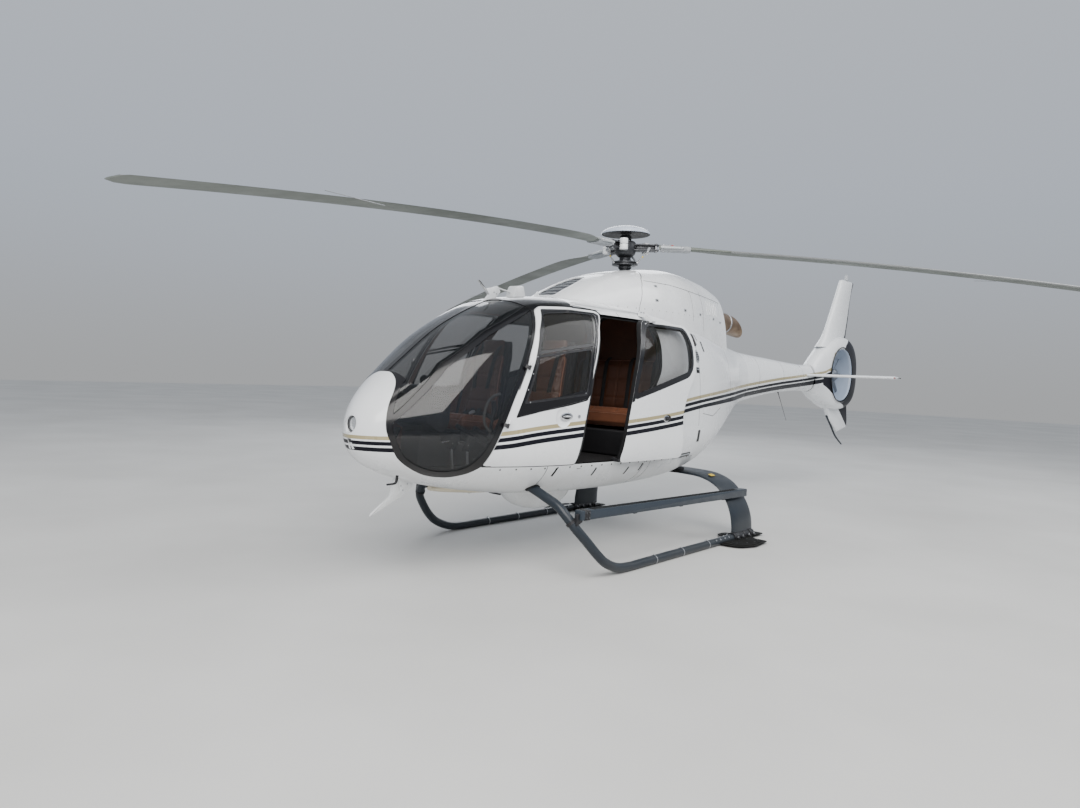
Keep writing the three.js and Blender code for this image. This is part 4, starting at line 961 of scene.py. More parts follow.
def build_materials(colours):
    """Every finish on the aircraft, made once."""
    for make in (grain_group, dust_group, wear_group, rub_group, stripe_group, leather_group, weave_group):
        make()
    M = MATERIALS
    M["paint"] = striped_paint("White gloss paint", colours)
    M["slid_paint"] = striped_paint("White gloss paint on the sliding door", colours, SLIDE)
    M["white"] = surface("Plain white paint", colours.white, 0.26, coat=0.5, dust=0.25, dust_low=0.45,
                         dust_high=1.2)
    M["black"] = surface("Black gloss paint", (0.005, 0.005, 0.007), 0.2, coat=0.25, tint=0.7, dust=0.03,
                         dust_low=0.5, dust_high=1.5, spec=0.32)
    M["satin_black"] = surface("Black satin paint", (0.010, 0.010, 0.012), 0.42, tint=0.7, wear=0.2,
                               worn=(0.08, 0.08, 0.09), spec=0.35)
    M["seal"] = surface("Rubber seal", (0.008, 0.008, 0.009), 0.6, fine=220.0, bump=0.2, spec=0.3)
    M["dark"] = surface("Dark cabin trim", (0.022, 0.022, 0.025), 0.6, fine=900.0, bump=0.35, depth=0.0005)
    M["grey_trim"] = surface("Grey cabin trim", (0.10, 0.098, 0.094), 0.7, fine=800.0, bump=0.3)
    M["tan_trim"] = leather("Tan trim", tone(colours.leather, 0.62)[:3])
    M["leather"] = leather("Seat leather", colours.leather)
    M["back_leather"] = leather("Back and headrest leather", tone(colours.leather, 0.45)[:3])
    M["leather_light"] = leather("Seat piping", tone(colours.leather, 1.3, 0.03)[:3])
    M["carpet"] = woven("Cabin carpet", (0.035, 0.034, 0.036), 1700.0)
    M["belt"] = woven("Belt webbing", (0.03, 0.03, 0.032), 2400.0, 0.8, 0.4)
    M["screen"] = woven("Intake screen", (0.035, 0.042, 0.055), 1300.0, 0.45, 0.9, 0.5)
    M["glass"] = glazing("Tinted glazing", (0.010, 0.012, 0.015), 0.36, 0.95)
    M["window"] = glazing("Door glazing", (0.016, 0.015, 0.012), 0.22, 0.95)
    M["lens"] = glazing("Lamp glass", (0.75, 0.78, 0.80), 0.22, 0.9)
    M["red_lens"] = glazing("Red lamp glass", (0.45, 0.015, 0.01), 0.75, 1.0)
    M["reflector"] = surface("Lamp reflector", (0.85, 0.86, 0.88), 0.12, metallic=1.0, bump=0.02)
    M["skid"] = surface("Blue-grey satin paint", colours.skid, 0.36, coat=0.12, dust=0.04, dust_low=0.0,
                        dust_high=0.6, wear=0.1, worn=(0.08, 0.09, 0.10), rub=0.1, spec=0.3)
    M["step"] = surface("Step paint", tone(colours.skid, 1.6)[:3], 0.42, coat=0.1, dust=0.05, dust_low=0.0,
                        dust_high=0.7, wear=0.12, worn=(0.10, 0.11, 0.12), rub=0.12, spec=0.3)
    M["pad"] = surface("Black moulded pad", (0.006, 0.0065, 0.007), 0.75, fine=150.0, bump=0.4, dust=0.02,
                       dust_low=0.0, dust_high=0.2, wear=0.2, worn=(0.03, 0.03, 0.03), spec=0.15)
    M["steel"] = surface("Satin steel", (0.42, 0.43, 0.45), 0.34, metallic=0.9, rub=0.25, wear=0.2,
                         worn=(0.7, 0.7, 0.72))
    M["dark_steel"] = surface("Dark machined steel", (0.035, 0.037, 0.042), 0.42, metallic=0.6, rub=0.3,
                              wear=0.5, worn=(0.16, 0.165, 0.175))
    M["rotor_grey"] = surface("Grey rotor paint", (0.24, 0.26, 0.28), 0.42, wear=0.4, worn=(0.5, 0.5, 0.52),
                              rub=0.3)
    M["chrome"] = surface("Polished metal", (0.75, 0.76, 0.78), 0.12, metallic=1.0, bump=0.02)
    M["blade"] = surface("Olive grey blade paint", (0.13, 0.148, 0.13), 0.45, coarse=3.0, tint=0.8, rub=0.45,
                         stretch=(2, 40, 40), wear=0.3, worn=(0.2, 0.2, 0.18))
    M["blade_edge"] = surface("Blade's leading edge", (0.30, 0.31, 0.31), 0.35, metallic=0.7, rub=0.4)
    M["cap"] = surface("Cap paint", colours.cap, 0.28, coat=0.4)
    M["exhaust"] = heated_metal("Heated exhaust metal", (0.20, 0.15, 0.11))
    M["soot"] = surface("Sooted bore", (0.03, 0.022, 0.017), 0.8, fine=200.0, bump=0.3)
    M["duct"] = surface("Duct paint", (0.30, 0.36, 0.46), 0.38, coat=0.2, rub=0.3)
    M["fan"] = surface("Fan metal", (0.12, 0.14, 0.17), 0.36, metallic=0.5, rub=0.4, wear=0.3,
                       worn=(0.4, 0.42, 0.45))
    M["pale_strut"] = surface("Pale strut paint", (0.45, 0.48, 0.50), 0.4, coat=0.2)
    M["cream"] = surface("Cream paint", (0.66, 0.60, 0.46), 0.42, coat=0.2, dust=0.4, dust_low=0.3,
                         dust_high=0.8)
    M["grille"] = surface("Dark grille", (0.02, 0.021, 0.024), 0.5, fine=600.0, bump=0.4)
    M["yellow"] = surface("Yellow paint", (0.62, 0.44, 0.03), 0.45, dust=0.2, dust_low=0.0, dust_high=0.8)
    M["red"] = surface("Red paint", (0.42, 0.03, 0.02), 0.4)
    M["machinery"] = surface("Cast casing", (0.24, 0.25, 0.26), 0.6, metallic=0.5, fine=180.0, bump=0.4)
    M["display"] = glowing("Instrument face", (0.02, 0.05, 0.06), 0.3)


# Shared forms of the aircraft

FORMS = {}


def hull(inset=0.0):
    if ("hull", inset) not in FORMS:
        FORMS["hull", inset] = skin(HULL, inset)
    return FORMS["hull", inset]


def shell(outer=0.0, inner=WALL):
    if ("shell", outer, inner) not in FORMS:
        FORMS["shell", outer, inner] = cut(hull(outer), hull(inner))
    return FORMS["shell", outer, inner]


def pane_shell():
    return shell(GLASS_INSET, GLASS_INSET + GLASS)


def patch(side, outline, hole=None, inset=FILM_IN, inner=6.0):
    """A piece of the cabin's skin between two insets, over an outline and round a hole in it."""
    made = common(shell(inset, inner), on_side(outline, side, PATCH_X))
    return cut(made, on_side(hole, side, PATCH_X)) if hole is not None else made


def grooved(thing, lines, side=0, half=2.6, depth=4.0, table=None):
    """Cuts panel lines, given in side view, into an outer surface."""
    floor = hull(depth) if table is None else skin(table, depth)
    for line in lines:
        tool = on_side(strip(line, half), side) if side else side_prism(strip(line, half))
        thing = cut(thing, cut(tool, floor))
    return thing


def skin_point(table, y, z, side=1, inset=0.0):
    """The place on a skin beside a point in side view, and the outward normal there."""
    w, wide, top, bottom, upper, lower = columns_at(table, [y])[0]
    n, reach = (upper, top - wide) if z >= wide else (lower, wide - bottom)
    t = min(abs(z - wide) / (reach - inset), 0.9995)
    point = np.array([[side * (w - inset) * (1 - t**n)**(1 / n), y, z]])
    return point[0], skin_normals(table, inset, point)[0][0]


def top_point(table, x, y, up=1, inset=0.0):
    """The place on a skin above (or below) a point in plan, and the outward normal there."""
    w, wide, top, bottom, upper, lower = columns_at(table, [y])[0]
    n, reach = (upper, top - wide) if up > 0 else (lower, wide - bottom)
    t = min(abs(x) / (w - inset), 0.9995)
    point = np.array([[x, y, wide + up * (reach - inset) * (1 - t**n)**(1 / n)]])
    return point[0], skin_normals(table, inset, point)[0][0]


def facing(point, normal, along=(0, 1, 0), lift=0.0):
    """A matrix whose Z axis leaves the surface and whose X axis lies along it."""
    z = Vector(normal).normalized()
    x = Vector(along)
    x = (x - z * x.dot(z)).normalized()
    y = z.cross(x)
    turn = Matrix((x, y, z)).transposed().to_4x4()
    return Matrix.Translation(Vector(point) + z * lift) @ turn


def stud(radius, height, sides=10):
    return lathe([(radius, -1), (radius, 0.45 * height), (0.7 * radius, 0.85 * height),
                  (0.25 * radius, height)], sides=sides)


def studs(places, radius=4.0, height=1.8, sides=10):
    """Small fastener heads at (point, normal) places, as one mesh."""
    return gathered(*[moved(stud(radius, height, sides), facing(p, n)) for p, n in places])


def plate(width, height, thick, corner, edge=0.8):
    """A flat plate with round corners, lying on its back."""
    w, h = width / 2, height / 2
    outline = rounded([(-w, -h), (w, -h), (w, h), (-w, h)], corner)
    return pillow(outline, soft_layers(-1.0, thick, min(edge, 0.45 * (thick + 1))), axis=2)


def oval(a, b, count=40):
    return np.stack([a * np.cos(turns(count)), b * np.sin(turns(count))], 1)


def simple(thing, name, body, material, nodes=(), sharp=32.0):
    return finish_piece(thing, name, body, [MATERIALS[material]], nodes, sharp)


def mixed(things, name, body="airframe", nodes=(), sharp=32.0):
    """One piece from several solids, each (solid, material)."""
    names, kinds = [], []
    for thing, material in things:
        if material not in names:
            names.append(material)
        kinds += [names.index(material)] * len(thing.data.polygons)
    whole = gathered(*[thing for thing, _ in things])
    return finish_piece(whole, name, body, [MATERIALS[m] for m in names], nodes, sharp, kinds)


def skin_finish(*names):
    """The materials of a panel: outer face, inner face, edges."""
    return [MATERIALS[name] for name in names or ("paint", "grey_trim", "seal")]


def panel(thing, name, node, body="airframe", finish=(), shift=(0, 0, 0)):
    """A painted panel of the cabin's skin."""
    return skin_piece(thing, HULL, name, body, skin_finish(*finish), (node,), shift=shift)


def pane(thing, name, node, body="airframe", material="window", shift=(0, 0, 0)):
    """A window's pane, set in from the skin."""
    return skin_piece(thing, HULL, name, body, [MATERIALS[material]], (node,), GLASS_INSET,
                      GLASS, shift)


def film(thing, name, inset, wall, body="airframe", material="black", shift=(0, 0, 0)):
    """A thin black cover on the skin or on a pane."""
    return skin_piece(thing, HULL, name, body, [MATERIALS[material]], (), inset, wall, shift)


def lining(thing, name, inset, wall, material="seal", shift=(0, 0, 0)):
    """A seal or trim inside the skin."""
    return skin_piece(thing, HULL, name, "airframe", [MATERIALS[material]], (), inset, wall,
                      shift)


front_door_outline = rounded(FRONT_DOOR, 30, 5)
front_window_outline = rounded(FRONT_WINDOW, 45, 8)
sliding_door_outline = rounded(SLIDING_DOOR, 70, 8)
sliding_window_outline = rounded(SLIDING_WINDOW, 60, 8)
canopy_zone = np.vstack([CANOPY_ZONE[:1], spline(CANOPY_ZONE[1:11], 60), CANOPY_ZONE[11:]])
glass_outline = np.vstack([spline(CANOPY_GLASS[:16], 110), CANOPY_GLASS[16:]])
# The black films round the doors' windows, which reach almost to the doors' edges
FRONT_FILM = rounded([(-1762, 2072), (-1483, 2092), (-1188, 2090), (-1152, 2076), (-1246, 1946),
                      (-1318, 1774), (-1400, 1570), (-1450, 1368), (-1659, 1326), (-1949, 1280),
                      (-2186, 1230), (-2133, 1349), (-2075, 1468), (-2015, 1596), (-1952, 1740),
                      (-1883, 1896)], 18, 4)
SLIDING_FILM = [(-1600, 1306), (-1388, 1366), (-1338, 1556), (-1178, 1948), (-1080, 2048), (-960, 2052),
                (-900, 2200), (-1600, 2200)]
FRONT_GLASS = rounded([(-1775, 2030), (-1493, 2064), (-1217, 2066), (-1266, 1955), (-1368, 1752),
                       (-1440, 1465), (-1455, 1452), (-1841, 1382), (-2090, 1335), (-2064, 1440),
                       (-1936, 1718)], 40, 8)
SLIDING_GLASS = rounded([(-1362, 1425), (-1318, 1560), (-1168, 1925), (-1073, 2024), (-760, 2030),
                         (-468, 2026), (-430, 1890), (-456, 1700), (-530, 1640), (-1050, 1508)], 50, 8)


def sill_z(y):
    """The height of the sill's upper edge."""
    return SILL_Z + (y - SILL_Y) / (CABIN_AFT - SILL_Y) * (SILL_AFT_Z - SILL_Z)


def build_cabin_panels():
    """Nose, belly, roof and side panels with their seams, slots and fasteners."""
    canopy = side_prism(grown(canopy_zone, SEAM))
    doors = side_prism(grown(front_door_outline, DOOR_GAP))
    nose = [(-3300, 500), (SILL_Y, 500), (SILL_Y, 1100), (-2700, 1800), (-3300, 1800)]
    roof = [(-1385 + SEAM, 2122), (-1135, 2118), (-1112, ROOF_SEAM_Z), (CABIN_AFT, ROOF_SEAM_Z),
            (CABIN_AFT, 2500), (-1385 + SEAM, 2500)]
    side = [(-1600, sill_z(-1600) + SEAM), (CABIN_AFT, SILL_AFT_Z + SEAM), (CABIN_AFT, ROOF_SEAM_Z - SEAM),
            (-1600, ROOF_SEAM_Z - SEAM)]
    lamp = rod((0, -3300, NOSE_LAMP[2]), (0, -3000, NOSE_LAMP[2]), 62, sides=48)
    slot_cut = front_prism(rounded([(-25, 1057), (25, 1057), (19, 1029), (-19, 1029)], 9), -3300, -3000)
    piece = cut(common(shell(), side_prism(nose)), canopy, doors, lamp)
    piece = cut(piece, cut(slot_cut, hull(22)))
    panel(piece, "nose_skin", "nose_shell", finish=("paint", "grey_trim", "white"))

    piece = cut(common(shell(), side_prism(BELOW_SILL)), canopy, doors)
    seams = [[(-1824, 900), (-1806, 500)], [(-550, 900), (-560, 500)], [(-452, 900), (-462, 500)]]
    piece = grooved(piece, seams)
    slots = [(-1725, 802), (-1249, 778), (-781, 756), (-577, 776)]
    for y, z in slots:
        hole = strip([(y + 7, z + 34), (y - 7, z - 34)], 11)
        piece = cut(piece, cut(side_prism(hole), hull(14)))
    panel(piece, "belly_skin", "belly_shell")
    places = [skin_point(HULL, y, sill_z(y) - 22, s) for s in (1, -1) for y in np.arange(-2240, 420, 132)]
    things = [(studs(places, 7.5, 2.2), "seal")]
    # The black plugs in the belly slots are painted shade: they stand for the dark inside the vents.
    for y, z in slots:
        slot_shade_plug = strip([(y + 7, z + 33.5), (y - 7, z - 33.5)], 10.6)
        things += [(common(shell(0.6, 13), on_side(slot_shade_plug, s)), "seal") for s in (1, -1)]
    mixed(things, "sill_fasteners")

    piece = cut(common(shell(), side_prism(roof)), doors)
    piece = grooved(piece, [[(-862, 2300), (-862, 2000)]])
    panel(piece, "roof_skin", "roof_panel")

    wide = side_prism(grown(front_door_outline, 2 * DOOR_GAP))
    opening = grown(sliding_door_outline, 2 * DOOR_GAP)
    behind = [(-640, 700), (CABIN_AFT + 10, 700), (CABIN_AFT + 10, 2200), (-640, 2200)]
    wall = cut(common(shell(), on_side(side, 1)), wide)
    wall = cut(common(wall, side_prism(behind, 0, FAR)), on_side(opening, 1))
    vertical = [(363, 1120), (363, 1990)]
    wall = grooved(wall, [vertical], 1)
    wall = cut(wall, cut(on_side(rounded([(374, 1080), (414, 1080), (408, 962), (368, 962)], 8), 1),
                         hull(16)))
    panel(wall, "left_wall_skin", "left_side_wall")
    wall = cut(common(shell(), on_side(side, -1)), wide, on_side(sliding_window_outline, -1))
    wall = grooved(wall, [vertical, [*sliding_door_outline, sliding_door_outline[0]]], -1)
    panel(wall, "right_wall_skin", "right_side_wall")
    opening = grown(sliding_window_outline, -SEAM)
    pane(common(pane_shell(), on_side(opening, -1)), "right_rear_pane", "right_rear_window")
    film(patch(-1, opening, SLIDING_GLASS), "right_rear_window_band", FILM_IN, 4.5)


def build_wall_details():
    """Handles, caps, recesses and vents behind the doors on the left, and their like on the right."""
    at = facing(*skin_point(HULL, 338, 1799))
    things = [(moved(pillow(oval(50, 64), soft_layers(-1, 5, 2), axis=2), at), "rotor_grey")]
    for k in range(-2, 3):
        slat = plate(78 - 9 * abs(k), 9, 8, 2)
        things.append((moved(slat, at @ Matrix.Translation((0, 18 * k, 0))), "grille"))
    at = facing(*skin_point(HULL, 324, 1664))
    things += [
        (moved(plate(74, 56, 2.5, 5), at), "black"),
        (moved(plate(44, 10, 4, 2), at @ Matrix.Translation((0, 8, 0))), "chrome"),
    ]
    at = facing(*skin_point(HULL, 352, 1953))
    things += [
        (moved(tube([(0, -56, 8), (0, 40, 9), (-6, 54, 9), (-50, 58, 8)], 13, 24, 12), at), "satin_black"),
        (moved(rod((0, -50, -2), (0, -50, 10), 14), at), "satin_black"),
    ]
    # These black plates are painted shade: they stand for the dark inside two vents and inside the recess cut
    # low in the wall.
    for y, z, tall, wide in ((470, 1990, 70, 14), (560, 1905, 112, 34), (391, 1021, 116, 54)):
        things.append((moved(plate(wide, tall, 1.0, 4), facing(*skin_point(HULL, y, z))), "satin_black"))
    mixed(things, "left_wall_fittings")
    things = []
    for side in (1, -1):
        at = facing(*skin_point(HULL, 120, 840, side), (0, side, 0))
        things += [
            (moved(plate(356, 40, 3, 8), at), "seal"),
            (moved(plate(330, 18, 5, 4), at), "pale_strut"),
            (moved(plate(60, 40, 5, 8), at @ Matrix.Translation((-150, 0, 0))), "rotor_grey"),
        ]
    mixed(things, "sill_end_rails")


def build_canopy():
    """The black frame round the front glazing, its posts and the four panes."""
    post = strip(DIAGONAL_POST, 16)
    centre = 24
    body = cut(common(shell(), side_prism(canopy_zone)), side_prism(grown(front_door_outline, DOOR_GAP)))
    upper = DIAGONAL_POST + [(-1860, 2400), (-3060, 2400)]
    lower = DIAGONAL_POST + [(-1860, 700), (-3060, 700)]
    for side, word in SIDES:
        body = cut(body, cut(on_side(glass_outline, side, centre), on_side(post, side)))
        glass = common(pane_shell(), on_side(grown(glass_outline, -SEAM), side, centre + SEAM))
        glass = cut(glass, on_side(grown(post, SEAM), side))
        for region, label, node in ((upper, "_upper_pane", "_windscreen"),
                                    (lower, "_lower_pane", "_lower_windscreen")):
            pane(common(glass, on_side(region, side)), word + label, word + node, material="glass")
    skin_piece(body, HULL, "canopy_surround", "airframe", skin_finish("black", "dark", "seal"),
               ("canopy_frame",))
    mixed(door_hinge_parts(1, True) + door_hinge_parts(-1, True), "canopy_hinge_leaves")


def door_hinge_parts(side, fixed):
    """The leaves of a front door's hinges, on the frame or on the door."""
    (x, *low), (_, *high) = DOOR_AXIS
    axis = np.array([0, high[0] - low[0], high[1] - low[1]], float)
    axis /= np.linalg.norm(axis)
    back = np.array([0, axis[2], -axis[1]]) * (-1 if fixed else 1)
    material = "satin_black" if fixed else "white"
    out = []
    for y, z in (low, high):
        at = np.array([side * x, y, z], float) + axis * (0 if fixed else 34.6)
        out.append((rod(at, at + axis * 34, 9, edge=1.5), material))
        flat = [at + axis * 17 + back * k + np.array([-side * d, 0, 0]) for k, d in ((0, 2), (12, 8),
                (26, 20))]
        out.append((ribbon(flat, 28, 6, axis, 10), material))
    return out


def build_front_doors():
    """The two front doors with windows, black bands, handles and hinges."""
    for side, word in SIDES:
        body = word + "_door"
        leaf = cut(common(shell(), on_side(front_door_outline, side)), on_side(front_window_outline, side))
        dish = moved(ball((0, 0, 0), (84, 78, 14), 48, 24), facing(*skin_point(HULL, -1726, 1234, side)))
        leaf = cut(leaf, dish, sill_sweep(side))
        panel(leaf, word + "_door_skin", word + "_front_door", body, ("paint", "tan_trim", "white"))
        opening = grown(front_window_outline, -SEAM)
        pane(common(pane_shell(), on_side(opening, side)), word + "_door_pane", word + "_front_door_window",
             body)
        film(patch(side, opening, FRONT_GLASS), word + "_door_window_band", FILM_IN, 4.5, body)
        cover = patch(side, FRONT_FILM, front_window_outline, -0.7, 0.8)
        film(cover, word + "_door_film", -0.7, 1.5, body)
        bar = patch(side, strip([(-1978, 1712), (-1655, 1770), (-1345, 1816)], 11), None, 0.5, 7.0)
        slider = rounded([(-1950, 1698), (-1655, 1748), (-1366, 1790), (-1460, 1408), (-1841, 1366),
                          (-2112, 1334)], 16)
        ring = patch(side, slider, grown(slider, -17), 0.9, 7.0)
        film(ring, word + "_door_window_slider", 0.9, 6, body, "satin_black")
        film(bar, word + "_door_window_bar", 0.5, 6.5, body)
        things = []
        at = facing(*skin_point(HULL, -1690, 1241, side), (0, side, 0), -6)
        things += [
            (moved(pillow(oval(66, 33), soft_layers(-6, 6, 3), axis=2), at), "chrome"),
            (moved(pillow(oval(46, 22), soft_layers(0, 7.5, 1), axis=2), at), "satin_black"),
            (moved(tube([(-46 * side, 0, 7), (-20 * side, 2, 15), (30 * side, 0, 15), (52 * side, -3, 10)],
                        (5, 7, 7, 5), 24, 14), at), "chrome"),
            (moved(rod((-46 * side, 0, 0), (-46 * side, 0, 11), 10, edge=1.5), at), "satin_black"),
            (moved(rod((34 * side, 14, 0), (34 * side, 14, 5), 7, edge=1), at), "steel"),
        ]
        lock = lathe([(15, -1), (15, 2), (12, 3.4), (6, 3.4), (5, 1)])
        things.append((moved(lock, facing(*skin_point(HULL, -1553, 1241, side))), "steel"))
        places = [skin_point(HULL, y, z, side, 0.9) for y, z in
                  ((-2060, 1348), (-1960, 1690), (-2020, 1560), (-2075, 1440), (-1480, 1425), (-1390, 1765))]
        things.append((studs(places, 4.5, 2.2), "steel"))
        things += door_hinge_parts(side, False)
        stay = [skin_point(HULL, y, z, side)[0] + (side * 3, 0, 0)
                for y, z in ((-2155, 1440), (-2080, 1589), (-2035, 1690))]
        things.append((tube(stay, (4, 6, 4), 16, 10), "satin_black"))
        pull = [skin_point(HULL, y, z, side, WALL)[0] - (side * d, 0, 0)
                for y, z, d in ((-1950, 1120, 0), (-1940, 1118, 34), (-1700, 1150, 36), (-1690, 1150, 0))]
        things.append((tube(pull, 11, 24, 14), "satin_black"))
        mixed(things, word + "_door_fittings", body)
        pocket = rounded([(-2040, 905), (-1640, 905), (-1640, 1040), (-2040, 1060)], 30)
        pocket = common(shell(WALL + 0.5, WALL + 34), on_side(pocket, side))
        simple(pocket, word + "_door_pocket", body, "dark")


def sill_sweep(side):
    """The room that the sill takes as a front door swings past it, seen from the door."""
    (x, *low), (_, *high) = DOOR_AXIS
    axis = Vector((0, high[0] - low[0], high[1] - low[1])).normalized()
    sill = common(shell(-6.0, WALL + 6.0), on_side(grown(BELOW_SILL, 5), side),
                  box(-FAR, FAR, -2500, -2000, 700, 1000))
    turned = []
    for degrees in (5, 9, 13, 18, 25, 34):
        there = Matrix.Translation(Vector((side * x, *low)))
        turned.append(moved(copy(sill), there @ spin(side * degrees, axis) @ there.inverted()))
    return united(*turned)


def build_sliding_door():
    """The sliding door, standing out and aft of its opening, with its arms, rail and sill."""
    leaf = cut(common(shell(), on_side(sliding_door_outline, 1)), on_side(sliding_window_outline, 1))
    grip = skin_point(HULL, -880, 1212)
    leaf = cut(leaf, moved(ball((0, 0, 0), (60, 34, 15), 40, 20), facing(*grip)))
    panel(leaf, "sliding_door_skin", "sliding_door", finish=("slid_paint", "tan_trim", "seal"), shift=SLIDE)
    opening = grown(sliding_window_outline, -SEAM)
    pane(common(pane_shell(), on_side(opening, 1)), "sliding_door_pane", "sliding_door_window", shift=SLIDE)
    film(patch(1, opening, SLIDING_GLASS), "sliding_door_window_band", FILM_IN, 4.5, shift=SLIDE)
    cover = cut(common(patch(1, grown(sliding_door_outline, -0.8), None, -0.7, 0.8),
                       on_side(SLIDING_FILM, 1)), on_side(sliding_window_outline, 1))
    film(cover, "sliding_door_film", -0.7, 1.5, shift=SLIDE)
    lip = cut(common(shell(WALL - 4, WALL + 16), on_side(grown(sliding_door_outline, -14), 1)),
              on_side(grown(sliding_door_outline, -58), 1))
    lining(lip, "sliding_door_seal", WALL - 4, 20, shift=SLIDE)
    things = []
    at = Matrix.Translation(SLIDE) @ facing(*grip, lift=-11)
    things += [
        (moved(pillow(oval(54, 30), soft_layers(-4, 5, 3), axis=2), at), "chrome"),
        (moved(pillow(oval(44, 21), soft_layers(0, 6.5, 1), axis=2), at), "satin_black"),
        (moved(tube([(-34, 0, 6), (-14, 2, 14), (24, 0, 14), (38, -2, 8)], (5, 7, 7, 5), 20, 12), at),
         "black"),
        (moved(rod((-34, 0, 0), (-34, 0, 9), 9, edge=1), at), "steel"),
    ]
    arm = front_prism([(556.3, 2120), (556.3, 2152), (650, 2130), (715, 2072), (704, 2060), (672, 2063),
                       (630, 2105)], -530, -470)
    things.append((arm, "white"))
    for y in (-520, -480):
        things.append((rod((585, y, 2120), (585, y, 2158), 7, edge=1), "steel"))
    sill = sill_z(-1030)
    things += [
        (box(712, 800, -1050, -1010, sill + 1, sill + 27, 3), "satin_black"),
        (rod((730, -1030, sill + 4), (730, -1030, sill + 34), 12, edge=2), "dark_steel"),
    ]
    mixed(things, "sliding_door_arms")
    rail = side_prism([(-1440, 2128), (-430, 2090), (-430, 2154), (-1440, 2158)], 520, 556)
    rail = cut(rail, hull(-SEAM), box(548, 560, -1425, -440, 2126, 2144))
    simple(rail, "upper_door_track", "airframe", "white", ("upper_door_rail",))
    things = []
    for y in range(-1400, -430, 120):
        fall = (y + 1440) * -0.004
        things.append((rod((538, y, 2150 + fall), (538, y, 2157.4 + fall), 5, edge=0.8), "steel"))
    mixed(things, "door_track_bolts")
    # The sill and jambs of the doorway
    jamb = cut(common(shell(WALL - 6, WALL + 14), on_side(grown(sliding_door_outline, 18), 1, 300)),
               on_side(grown(sliding_door_outline, -16), 1, 300))
    jamb = cut(jamb, box(-FAR, FAR, -1900, -1385, 400, 2300))
    lining(jamb, "doorway_seal", WALL - 6, 20)
    things = [(box(x, x + 12, -1490, -640, FLOOR_TOP + 0.5, FLOOR_TOP + 7, 2), "satin_black")
              for x in range(596, 697, 20)]
    mixed(things, "doorway_tread")


def soften(thing, voxel=7.0, pressure=4.0, cap=24.0, frames=20):
    """Fills a pad's skin as cloth under pressure, so that its faces crown and its sides draw in."""
    moved(thing, Matrix.Scale(MM, 4))
    remesh = thing.modifiers.new("remesh", "REMESH")
    remesh.mode = "VOXEL"
    remesh.voxel_size = voxel * MM
    graph = bpy.context.evaluated_depsgraph_get()
    mesh = bpy.data.meshes.new_from_object(thing.evaluated_get(graph))
    thing.modifiers.clear()
    thing.data = mesh
    before = mesh_points(mesh)
    cloth = thing.modifiers.new("cloth", "CLOTH")
    settings = cloth.settings
    settings.use_pressure = True
    settings.uniform_pressure_force = pressure
    settings.quality = 4
    settings.mass = 0.3
    settings.tension_stiffness = 12
    settings.compression_stiffness = 12
    settings.bending_stiffness = 0.6
    settings.effector_weights.gravity = 0
    cloth.point_cache.frame_start = 1
    cloth.point_cache.frame_end = frames
    scene = bpy.context.scene
    for number in range(1, frames + 1):
        scene.frame_set(number)
    graph = bpy.context.evaluated_depsgraph_get()
    after = mesh_points(thing.evaluated_get(graph).to_mesh())
    thing.modifiers.clear()
    scene.frame_set(1)
    push = after - before
    size = np.linalg.norm(push, axis=1, keepdims=True)
    limit = cap * MM
    push *= np.where(size > limit, limit / np.maximum(size, 1e-9), 1.0)
    before = before + push
    mesh.vertices.foreach_set("co", (before / MM).astype(np.float32).ravel())
    mesh.update()
    return thing


def pad_form(width, length, thick, power=4.0, sides=64, taper=0.0, bolster=0.0):
    """A soft block on its back: X across, Y along, Z up, with round ends and raised edges."""
    rings = []
    for t in np.linspace(-1, 1, 41):
        end = (1 - abs(t)**6)**(1 / 6)
        if end < 0.25:
            continue
        w = width / 2 * (1 - taper * (t + 1) / 2) * (0.55 + 0.45 * end)
        h = thick / 2 * end
        c, s = np.cos(turns(sides)), np.sin(turns(sides))
        x = w * np.sign(c) * np.abs(c)**(2 / power)
        z = h * np.sign(s) * np.abs(s)**(2 / power)
        z = z + bolster * (np.abs(x) / w)**3 * (s > 0)
        rings.append(np.stack([x, np.full(sides, t * length / 2), z], 1))
    return loft(rings)


def sewn(thing, lines, axis, depth=9.0, width=9.0, face=1):
    """Presses sewn channels into the pad's face, each a place across the pad on the given axis."""
    points = mesh_points(thing.data)
    upper = np.clip(face * points[:, 2] / (np.abs(points[:, 2]).max() * 0.4), 0, 1)
    for line in lines:
        points[:, 2] -= face * upper * depth * np.exp(-((points[:, axis] - line) / width)**2)
    thing.data.vertices.foreach_set("co", points.astype(np.float32).ravel())
    thing.data.update()
    return thing


def piping(thing, outline, radius=4.0):
    """A sewn cord round a pad, laid on its surface."""
    path = np.array([thing.closest_point_on_mesh(Vector(point))[1] for point in outline])
    smooth = (np.roll(path, 1, 0) + 2 * path + np.roll(path, -1, 0)) / 4
    rings = []
    for place, ahead, behind in zip(smooth, np.roll(smooth, -1, 0), np.roll(smooth, 1, 0)):
        d = (ahead - behind) / np.linalg.norm(ahead - behind)
        u = np.cross(d, (0, 0, 1.0))
        u /= np.linalg.norm(u)
        rings.append(hoop(place, radius, u, np.cross(d, u), 8))
    return loft(rings, closed=True)


def pad_outline(width, length, power=7.0, count=160, level=0.0):
    """A flat loop with full round corners, as a path for piping."""
    c, s = np.cos(turns(count)), np.sin(turns(count))
    x = width / 2 * np.sign(c) * np.abs(c)**(2 / power)
    y = length / 2 * np.sign(s) * np.abs(s)**(2 / power)
    return np.stack([x, y, np.full(count, level)], 1)


def set_pad(thing, cord, name, place, material, nodes=()):
    """Lays a filled pad and the cord round it in their place."""
    simple(moved(thing, place), name, "airframe", material, nodes, 60)
    if cord is not None:
        simple(moved(cord, place), name + "_piping", "airframe", "leather_light")


